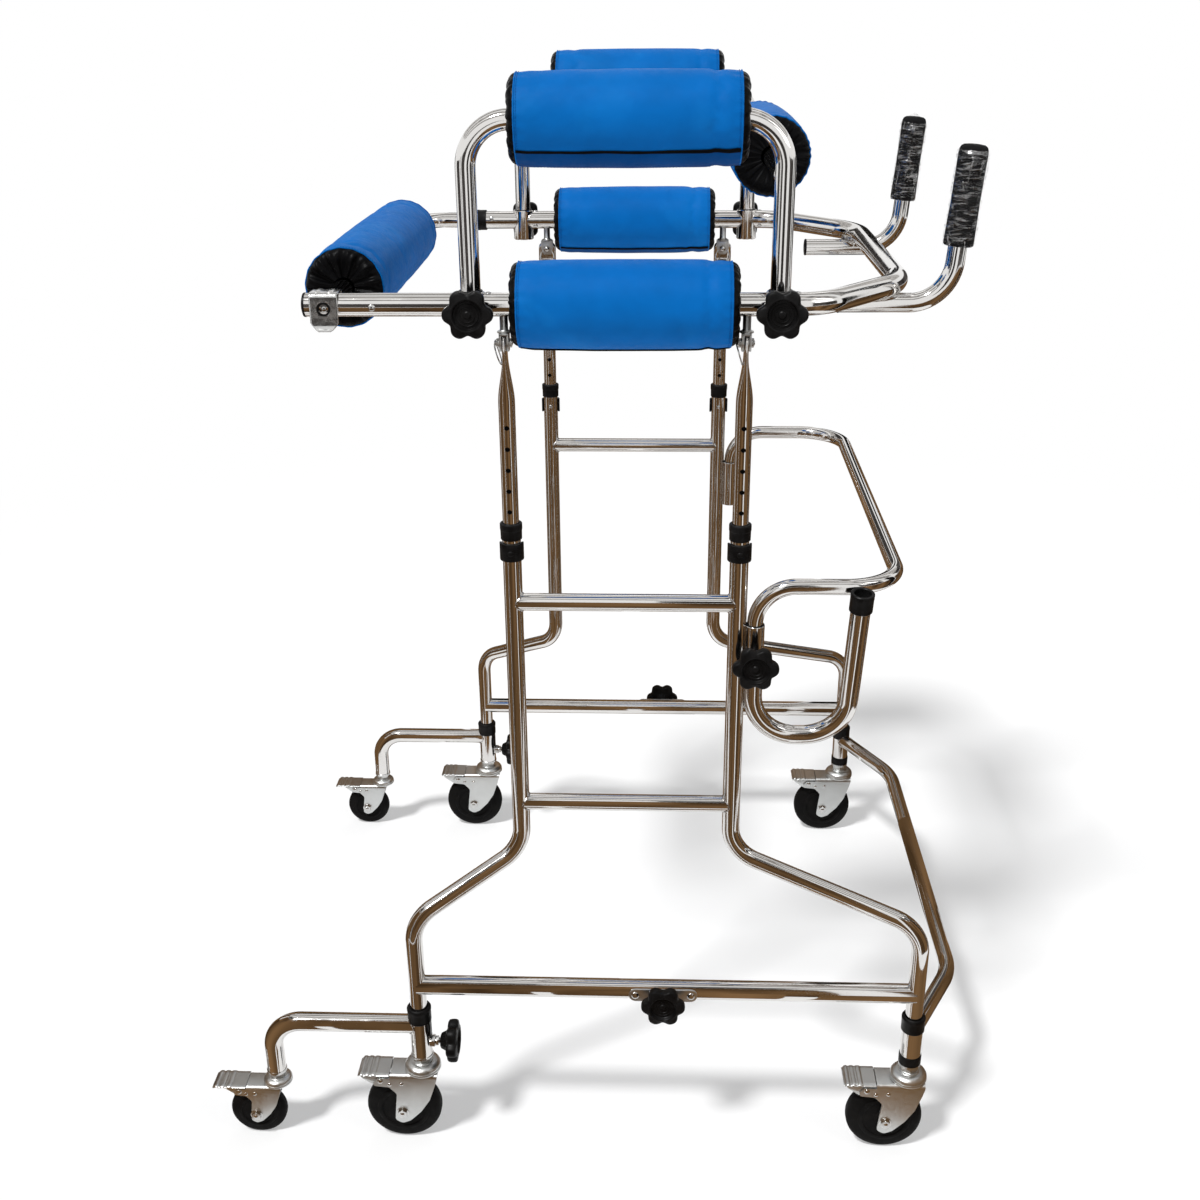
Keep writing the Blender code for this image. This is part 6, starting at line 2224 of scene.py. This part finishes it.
@dataclass
class Pad:
    """A stuffed roll: blue woven cover, gathered black ends, sewn seams and the closing flap.

    A pad whose flap_start is 0 hides its closing; else the flap starts so many degrees below level.
    """

    name: str
    body: Body
    middle: tuple[float, float, float]
    half_length: float
    tube: float
    seed: int
    flap_start: float = 0.0
    along_y: bool = False
    folds: int = 22
    fold_depth: float = 0.0009
    slack: float = 0.0012
    radius: float = 0.0475
    crown: float = 0.0015
    cap_depth: float = 0.0085
    around: int = 72
    cloth: Optional[bpy.types.Object] = None
    rest: Optional[np.ndarray] = None

    @property
    def place(self) -> Matrix:
        """Give the pad's place, its own X along the roll."""
        return Matrix.Translation(self.middle) @ turned(pi / 2 if self.along_y else 0.0, "Z")

    @property
    def edge(self) -> float:
        """Give the place of the seams along the roll."""
        return self.half_length - self.cap_depth

    def girth(self, along: float) -> float:
        """Give the cover's radius at a place along the roll.

        Args:
            along: The place.

        Returns:
            The radius there.
        """
        share = min(1.0, abs(along) / self.edge)
        drawn_in = 0.0010 * blend(0.80, 1.0, share) ** 2
        return self.radius + self.crown * (1.0 - share * share) - drawn_in

    def gather(self, angle: float, end: int) -> float:
        """Give the seam's in-and-out at an angle, from 0 to 1, uneven as hand-fed gathers are."""
        spot = Vector((cos(angle) * 1.7, sin(angle) * 1.7, self.seed * 3.1 + end))
        return 0.5 + 0.5 * sin(self.folds * angle + 2.4 * noise.noise(spot))

    def cut(self) -> None:
        """Cut the cover as a slack grid, its rows closer near the seams, and set up its stuffing."""
        count = max(26, round(2 * self.edge / 0.0052))
        shares = [-1 + 2 * index / count for index in range(count + 1)]
        points = []
        for along in (self.edge * (share + 0.05 * sin(pi * share)) for share in shares):
            near = blend(self.edge - 0.030, self.edge, abs(along))
            for angle in (tau * step / self.around for step in range(self.around)):
                slack = self.slack * near * (self.gather(angle, 1 if along > 0 else -1) - 0.5)
                spot = Vector((along * 30, cos(angle) * 1.4, sin(angle) * 1.4 + self.seed * 5))
                reach = self.girth(along) - 0.0010 + slack + 0.0003 * noise.noise(spot) * (1 - near)
                points.append((along, *polar(reach, angle)))
        mesh = bare(self.name + "_cover", points, faces=grid_faces(len(shares), self.around, closed=True))
        top = Vector((0, 0, self.radius))
        with opened(mesh) as shape:
            bmesh.ops.recalc_face_normals(shape, faces=shape.faces)
            highest = min(shape.faces, key=lambda face: (face.calc_center_median() - top).length)
            if highest.normal.z < 0:
                bmesh.ops.reverse_faces(shape, faces=shape.faces)
        self.rest = np.array(points)
        self.cloth = stood(self.name + "_cover", mesh)
        last = (len(shares) - 1) * self.around
        held = [*range(self.around), *range(last, last + self.around)]
        self.cloth.vertex_groups.new(name="seams").add(held, 1.0, "REPLACE")
        self.hang_cloth()

    def hang_cloth(self) -> None:
        """Hang the Cloth step on the cover, held at both seams."""
        step = self.cloth.modifiers.new("stuffing", "CLOTH")
        settings = step.settings
        settings.quality, settings.mass = 6, 0.12
        settings.tension_stiffness = settings.compression_stiffness = 18.0
        settings.shear_stiffness, settings.bending_stiffness = 6.0, 0.25
        settings.use_pressure, settings.uniform_pressure_force = True, 4.0
        settings.shrink_min = settings.shrink_max = -0.004
        settings.vertex_group_mass = "seams"
        settings.effector_weights.gravity = 0.0
        step.collision_settings.use_collision = False

    def lay(self, shop: Workshop, part: str, mesh: Mesh, finish: Finish, sharp: float = 80.0,
            replaces: Optional[str] = None) -> bpy.types.Object:
        """Hand over a piece that is drawn in the pad's own coordinates."""
        mesh.transform(self.place)
        return shop.hand_over(self.name + part, mesh, finish, self.body, replaces, sharp)

    def sew(self, shop: Workshop) -> None:
        """Finish the pad after the stuffing has run: smooth the cover, then add its ends and seams.

        Args:
            shop: The workshop that makes the pieces.
        """
        made = settled(self.cloth)
        swollen = np.empty(len(made.vertices) * 3)
        made.vertices.foreach_get("co", swollen)
        move = swollen.reshape(-1, 3) - self.rest
        reach = np.linalg.norm(move, axis=1, keepdims=True)
        move *= np.minimum(1.0, 0.0026 / np.maximum(reach, 1e-9))
        points = self.rest + move
        limit = self.radius + self.crown + 0.0010
        points[:, 1:] *= np.minimum(1.0, limit / np.hypot(points[:, 1], points[:, 2]))[:, None]
        grid = points.reshape(-1, self.around, 3)
        cover = self.cover_mesh(grid)
        surface = BVHTree.FromPolygons([vertex.co.copy() for vertex in cover.vertices],
                                       [tuple(face.vertices) for face in cover.polygons])
        self.lay(shop, "_cover", cover, BLUE, replaces=self.name)
        self.build_ends(shop, grid)
        self.build_seams(shop, grid)
        if self.flap_start:
            self.build_flap(shop, surface)

    def cover_mesh(self, grid: np.ndarray) -> Mesh:
        """Give the cover with lengths along and round it stored for the weave, subdivided once.

        Args:
            grid: The cover's points.

        Returns:
            The cover.
        """
        faces = [(a, d, c, b) for a, b, c, d in grid_faces(len(grid), self.around, closed=True)]
        mesh = bare(self.name, grid.reshape(-1, 3), faces=faces)
        chord = tau * self.radius / self.around
        values = []
        for row, step in (divmod(face, self.around) for face in range(len(faces))):
            for ahead, on in ((0, 0), (1, 0), (1, 1), (0, 1)):
                values += [float(grid[row + ahead, 0, 0]), (step + on) * chord, 0.0]
        store(mesh, "cloth", values, "FLOAT_VECTOR", "CORNER")
        made = modified(mesh, ("SUBSURF", {"levels": 1, "render_levels": 1}))
        made.flip_normals()
        centre = made.polygons[len(made.polygons) // 2]
        if centre.normal.dot(Vector((0, centre.center.y, centre.center.z))) < 0:
            made.flip_normals()
        return made

    def build_ends(self, shop: Workshop, grid: np.ndarray) -> None:
        """Build the gathered black ends, drawn in round the tube with deep uneven folds.

        Args:
            shop: The workshop that makes the pieces.
            grid: The cover's points.
        """
        steps, rows, inner = self.around * 4, 22, self.tube + 0.0016
        angles = [tau * step / steps for step in range(steps)]
        form = Form()
        for end, seam in ((-1, grid[0]), (1, grid[-1])):
            around = np.hypot(seam[:, 1], seam[:, 2])
            folds, starts = [], []
            for step, angle in enumerate(angles):
                at = step / 4
                low = int(at) % self.around
                starts.append(around[low] * (1 - at % 1) + around[(low + 1) % self.around] * (at % 1))
                folds.append(Vector((cos(angle) * 1.3, sin(angle) * 1.3, self.seed * 7.7 + end * 2)))
            rings = [[(end * (self.edge - 0.0028), *polar(float(around[step // 4]) - 0.0012, angle))
                      for step, angle in enumerate(angles)]]
            for share in (row / rows for row in range(rows + 1)):
                depth = self.fold_depth * sin(pi * min(1.0, share * 0.93)) ** 0.7 * (0.45 + 0.75 * share)
                bulge = self.cap_depth * sin(pi * min(share / 0.62, 1.0) / 2) ** 1.1
                sink = 0.0045 * blend(0.62, 1.0, share)
                line = []
                for angle, start, spot in zip(angles, starts, folds):
                    wander = 3.0 * noise.noise(spot) + 0.9 * share * noise.noise(spot * 2.3)
                    fold = sin(self.folds * 0.62 * angle + wander)
                    crisp = copysign(abs(fold) ** 0.6, fold)
                    second = sin(self.folds * 1.45 * angle + 2 * wander + 3.0 * share)
                    reach = inner + (start - 0.0006 - inner) * cos(pi / 2 * share) ** 0.74
                    out = self.edge + bulge - sink + depth * (crisp * 0.85 + 0.3 * second) * 0.9
                    reach += depth * 0.35 * second * (1 - share)
                    line.append((end * out, *polar(reach, angle)))
                rings.append(line)
            rings.append([(end * (self.edge - 0.004), *polar(self.tube + 0.0012, angle)) for angle in angles])
            form.loft(rings, caps=False)
        mesh = weave(form.mesh("ends"), lambda at: (atan2(at.z, at.y) * 0.035, hypot(at.y, at.z)))
        self.lay(shop, "_ends", mesh, GATHERED, 75.0)

    def build_seams(self, shop: Workshop, grid: np.ndarray) -> None:
        """Build the sewn edge at each end: a narrow raised lip and its row of stitches.

        Args:
            shop: The workshop that makes the pieces.
            grid: The cover's points.
        """
        lines, rows = [], []
        for outer, inner in ((grid[0], grid[1]), (grid[-1], grid[-2])):
            lines.append([self.place @ Vector(point) for point in outer])
            inset = [Vector(a).lerp(Vector(b), 0.55) for a, b in zip(outer, inner)]
            rows.append([self.place @ Vector((p.x, p.y * 1.012, p.z * 1.012)) for p in inset])
        lip = shop.welds.run(shop.line_mesh(lines, True), BLUE, Bead=0.0010, Unevenness=0.12)
        shop.hand_over(self.name + "_seams", lip, BLUE, self.body, sharp=80.0)
        self.stitch(shop, "_stitches", rows, True, 0.00030)

    def stitch(self, shop: Workshop, part: str, lines: Lines, closed: bool, thread: float) -> None:
        """Lay stitches along lines.

        Args:
            shop: The workshop that makes the pieces.
            part: What is stitched.
            lines: The points of each line.
            closed: Whether each line closes on itself.
            thread: The thread's size.
        """
        mesh = shop.stitches.run(shop.line_mesh(lines, closed), THREAD, Pitch=0.0034, Thread=thread,
                                 Reach=0.0011)
        shop.hand_over(self.name + part, mesh, THREAD, self.body, sharp=80.0)

    def skin_point(self, surface: BVHTree, along: float, angle: float, lift: float) -> Vector:
        """Give the point over the cover at a place along and an angle below level, lifted off it.

        Args:
            surface: The cover.
            along: The place along the roll.
            angle: Radians below level on the flap's side.
            lift: The height over the cloth.

        Returns:
            The point in the pad's own coordinates.
        """
        way = Vector((0.0, -cos(angle), -sin(angle)))
        hit = surface.ray_cast(Vector((along, 0, 0)) + way * 0.09, -way)[0]
        spot = hit if hit is not None else Vector((along, 0, 0)) + way * self.girth(along)
        return spot + way * lift

    def build_flap(self, shop: Workshop, surface: BVHTree) -> None:
        """Build the closing flap under the roll, its binding tape and the stitched line.

        Args:
            shop: The workshop that makes the pieces.
            surface: The cover's surface.
        """
        columns, sweep, first = 60, radians(46), radians(self.flap_start)
        spots = [(self.edge - 0.0006) * (-1 + 2 * index / columns) for index in range(columns + 1)]
        starts = [first + 0.020 * noise.noise(Vector((spot * 22, self.seed * 4.0, 0.3))) for spot in spots]
        section = [(row, 0.0010) for row in range(13)] + [(row, -0.0004) for row in range(12, -1, -1)]
        rings = [[self.skin_point(surface, spot, start + sweep * row / 12, lift) for row, lift in section]
                 for spot, start in zip(spots, starts)]
        flap = weave(Form().loft(rings).mesh("flap"), lambda at: (at.x, atan2(at.z, at.y) * self.radius))
        self.lay(shop, "_flap", flap, FLAP, 60.0)
        rings = []
        for index, (spot, start) in enumerate(zip(spots, starts)):
            uneven = 0.0004 * noise.noise(Vector((spot * 60, 2.0, self.seed)))
            width = 0.0016 + 0.0010 * blend(0.55, 1.0, index / columns) + uneven
            rings.append([self.skin_point(surface, spot, start + width * cos(turn) / self.radius,
                                          0.0010 + 0.0009 * sin(turn))
                          for turn in (tau * step / 12 for step in range(12))])
        self.lay(shop, "_binding", Form().loft(rings).mesh("binding"), BINDING, 60.0)
        line = [self.place @ self.skin_point(surface, spot, start + sweep * 0.86, 0.0011)
                for spot, start in zip(spots, starts)]
        self.stitch(shop, "_flap_stitches", [line], False, 0.00028)


@dataclass
class Upholstery(Layout):
    """All six pads, stuffed together so that the simulation runs once."""

    def build(self, shop: Workshop) -> None:
        """Cut, stuff and sew every pad.

        Args:
            shop: The workshop that makes the pieces.
        """
        z, y, high = self.ring_height, self.half_width, self.ring_height + 0.192
        pads = [Pad("side_pad_right", Body.RING, (0.0, -y, z), 0.1235, 0.01275, 1, 78),
                Pad("side_pad_left", Body.RING, (0.0, y, z), 0.1195, 0.01275, 2, 52),
                Pad("arm_pad_right", Body.ARCHES, (0.004, -y, high), 0.124, 0.011, 3, 38),
                Pad("arm_pad_left", Body.ARCHES, (0.004, y, high), 0.124, 0.011, 4, 52),
                Pad("chest_pad", Body.ARCHES, (self.arch_x, 0.0, z + 0.134), 0.129, 0.011, 5, along_y=True,
                    folds=30, fold_depth=0.0008),
                Pad("gate_pad", Body.GATE, (-0.328, -0.0145, z), 0.2145, 0.011, 6, along_y=True, folds=18,
                    fold_depth=0.0030, slack=0.0006)]
        for pad in pads:
            pad.cut()
        for number in range(1, 21):
            bpy.context.scene.frame_set(number)
        log.info("stuffed %d pads", len(pads))
        for pad in pads:
            pad.sew(shop)
        bpy.context.scene.frame_set(1)


@dataclass
class Clamps(Layout):
    """All the star knobs and where they sit."""

    def build(self, shop: Workshop) -> None:
        """Build the ten knobs.

        Args:
            shop: The workshop that makes the pieces.
        """
        seats = []
        for side_name, side in SIDES:
            low, out = self.base_half_width, (0, side, 0)
            rail = (0.049, side * (low + 0.0125 + 0.0015), 0.246)
            loop = (0.1542, side * (self.half_width + 0.0117 + 0.005), 0.687)
            seats.append(("rail_knob_" + side_name, rail, out, 0.0125))
            seats.append(("loop_knob_" + side_name, loop, out, 0.0069))
            seats.append(("outrigger_knob_" + side_name, (self.stub_rear + 0.014 + 0.005, side * low, 0.156),
                          (1, 0, 0), 0.0077, 0.007))
        seats += [("ring_knob_" + tag, (self.arch_x * end, side * (self.half_width + 0.0148), 1.104),
                   (0, side, 0), 0.0035) for tag, end, side in CORNERS]
        for name, *seat in seats:
            StarKnob().build(shop, name, name, *seat)


@dataclass
class Studio:
    """The floor, the soft lights, the glowing cards that paint reflections on the chrome and other glossy
    surfaces, and the camera.
    """

    eye: tuple[float, float, float] = (0.0354 + SHIFT, -1.84947, 1.413628)
    yaw: float = 0.0428485
    pitch: float = 0.4046149
    roll: float = -0.0093008
    focal: float = 1402.979
    frame: float = 1200.0
    sensor: float = 36.0

    def build(self) -> None:
        """Set up the whole studio."""
        self.floor()
        self.world()
        self.lamps()
        self.flags()
        self.camera()
        bpy.context.scene.view_settings.view_transform = "Standard"

    def floor(self) -> None:
        """Lay a plain pale floor that keeps the shadow."""
        white, reach = (1.0, 1.0, 1.0, 1.0), 30.0
        paint = Shader("pale_floor").set(Base_Color=(0.90, 0.90, 0.90, 1.0), Roughness=0.9,
                                         Specular_IOR_Level=0.0)
        glow = paint.node("Emission", {"Color": white})
        away = paint.node("VectorMath", {0: paint.node("TexCoord").outputs["Object"]}, operation="LENGTH")
        fade = paint.spread(away.outputs["Value"], 0.34, 1.0, 1.3, 3.0, "SMOOTHSTEP")
        share = paint.sum(paint.white_rays(), fade, "MULTIPLY")
        mix = paint.node("MixShader", {0: share, 1: paint.surface.outputs[0], 2: glow.outputs[0]})
        mesh = bare("floor", [(-reach, -reach, 0), (reach, -reach, 0), (reach, reach, 0), (-reach, reach, 0)],
                    faces=[(0, 1, 2, 3)])
        mesh.materials.append(paint.end(mix.outputs[0]).material)
        stood("floor", mesh)

    def world(self) -> None:
        """Light the set evenly, and show white to the camera and the metal."""
        world = bpy.data.worlds.new("studio")
        world.use_nodes = True
        made = Nodes(world.node_tree)
        back = made.nodes["Background"].inputs
        made.feed(back["Color"], (1.0, 1.0, 1.0, 1.0))
        made.feed(back["Strength"], made.spread(made.white_rays(), 0.25, 1.0, 0.0, 1.0))
        bpy.context.scene.world = world

    def lamps(self) -> None:
        """Hang the soft key high on the left, and two weaker lamps that fill its shadows."""
        for name, kind, place, size, power in (("key", "SUN", (-1.4, -1.5, 4.0), 0.14, 3.05),
                                               ("fill", "AREA", (2.3, -1.4, 2.6), 1.6, 13.0),
                                               ("back", "AREA", (0.4, 2.4, 3.2), 1.8, 10.0)):
            lamp = bpy.data.lights.new(name, kind)
            lamp.energy = power
            setattr(lamp, "angle" if kind == "SUN" else "size", size)
            stood(name, lamp).matrix_world = aim(place, (0.0, 0.0, 0.6)) @ turned(pi, "X")

    def flags(self) -> None:
        """Stand warm and dark glowing cards round the set and hang grey ones over it: painted reflections,
        seen by glossy rays alone.
        """
        brown, dark, grey = (0.142, 0.080, 0.036), (0.010, 0.009, 0.008), (0.060, 0.055, 0.052)
        low = ((-178, -131), (-126, -66), (-60, -14), (-3, 56), (65, 104), (111, 149), (157, 175))
        slim = ((-14, -4), (57, 64), (104, 110), (150, 156), (-130, -127))
        high = ((-170, -138), (-120, -99), (-84, -68), (-52, -22), (10, 50), (70, 100), (116, 142))
        foot = ((-172, -128), (-126, -99), (-96, -62), (-58, -8), (0, 66), (72, 118), (124, 170))
        wide, near = (1.05, 0.86), (0.59, 0.50)
        for name, colour, spans, heights, size in (("brown_flags", brown, low, (0.01, 0.95), wide),
                                                   ("dark_flags", dark, slim, (0.01, 1.30), wide),
                                                   ("grey_flags", grey, high, (0.97, 1.28), wide),
                                                   ("foot_flags", brown, foot, (0.004, 0.25), near)):
            form = Form()
            for first, last in spans:
                count = max(2, round((last - first) / 4))
                spots = [self.flag_spot(radians(first + (last - first) * step / count), size)
                         for step in range(count + 1)]
                form.loft([[(*spot, z) for spot in spots] for z in heights], caps=False, open_rings=True)
            self.stand(name, form, colour)
        middle = Form()
        for first, last in ((-0.64, -0.30), (-0.27, 0.03), (0.06, 0.35), (0.38, 0.64)):
            middle.loft([[(first, 0.11, z), (last, 0.11, z)] for z in (0.004, 0.36)], caps=False,
                        open_rings=True)
        self.stand("middle_flags", middle, brown)
        tops = ((-1.50, -1.05, 0.30), (-0.72, -0.15, 0.42), (0.22, 0.95, 0.34), (1.30, 2.90, 0.50))
        for index, (*edges, level) in enumerate(tops):
            strip = Form().loft([[(-2.6, y, 2.4), (2.6, y, 2.4)] for y in edges], caps=False, open_rings=True)
            self.stand(f"top_painted_reflection_{index}", strip, (level, level * 0.97, level * 0.94))

    def stand(self, name: str, form: Form, colour: Colour) -> None:
        """Put one set of glowing cards up: a painted reflection, seen by glossy rays alone.

        Args:
            name: The set's name.
            form: The cards.
            colour: The colour of their painted reflection.
        """
        made = Shader(name)
        # Painted reflection streaks: the cards' glow is uneven, stretched upright.
        painted_reflection_streaks = made.spread(made.grain(5.5, 3.0, (1.0, 1.0, 0.22)), 0.20, 1.85)
        glow = made.node("Emission", {"Color": (*colour, 1.0), "Strength": painted_reflection_streaks})
        mesh = form.mesh(name)
        mesh.materials.append(made.end(glow.outputs[0]).material)
        item = stood(name, mesh)
        # Hidden from the camera, diffuse light and shadows, so these glowing cards show only as painted
        # reflections.
        item.visible_camera = item.visible_diffuse = item.visible_shadow = False
        item.visible_transmission = item.visible_volume_scatter = False

    def flag_spot(self, angle: float, size: Flat) -> Flat:
        """Give a place in plan on the rounded rectangle that a row of painted-reflection cards stands on."""
        reach = ((cos(angle) / size[0]) ** 4 + (sin(angle) / size[1]) ** 4) ** -0.25
        return polar(reach, angle)

    def camera(self) -> None:
        """Stand the camera where the photograph was taken from."""
        forward = Vector((-sin(self.yaw) * cos(self.pitch), cos(self.yaw) * cos(self.pitch),
                          -sin(self.pitch)))
        right = Vector((cos(self.yaw), sin(self.yaw), 0.0))
        up = right.cross(forward)
        level, lean = polar(1.0, self.roll)
        across, above = right * level + up * lean, up * level - right * lean
        lens = bpy.data.cameras.new("camera")
        lens.sensor_width = self.sensor
        lens.lens = self.focal * self.sensor / self.frame
        lens.clip_start, lens.clip_end = 0.05, 80.0
        item = stood("camera", lens)
        turn = Matrix((across, above, -forward)).transposed().to_4x4()
        item.matrix_world = Matrix.Translation(self.eye) @ turn
        bpy.context.scene.camera = item


def write_sizes() -> None:
    """Update the view layer; no boxes are written."""
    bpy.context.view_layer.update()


def main() -> None:
    """Build every sub-assembly in order, then the studio."""
    logging.basicConfig(level=logging.INFO, format="%(name)s %(message)s")
    shop = Workshop()
    for part in (SideFrame(), HeightAdjusters(), Ring(), Arches(), Gate(), Loop(), BaseBar(), Outrigger(),
                 RunningGear(), Clamps(), Upholstery()):
        part.build(shop)
        log.info("%s done", type(part).__name__)
    Studio().build()
    write_sizes()


if __name__ == "__main__":
    main()
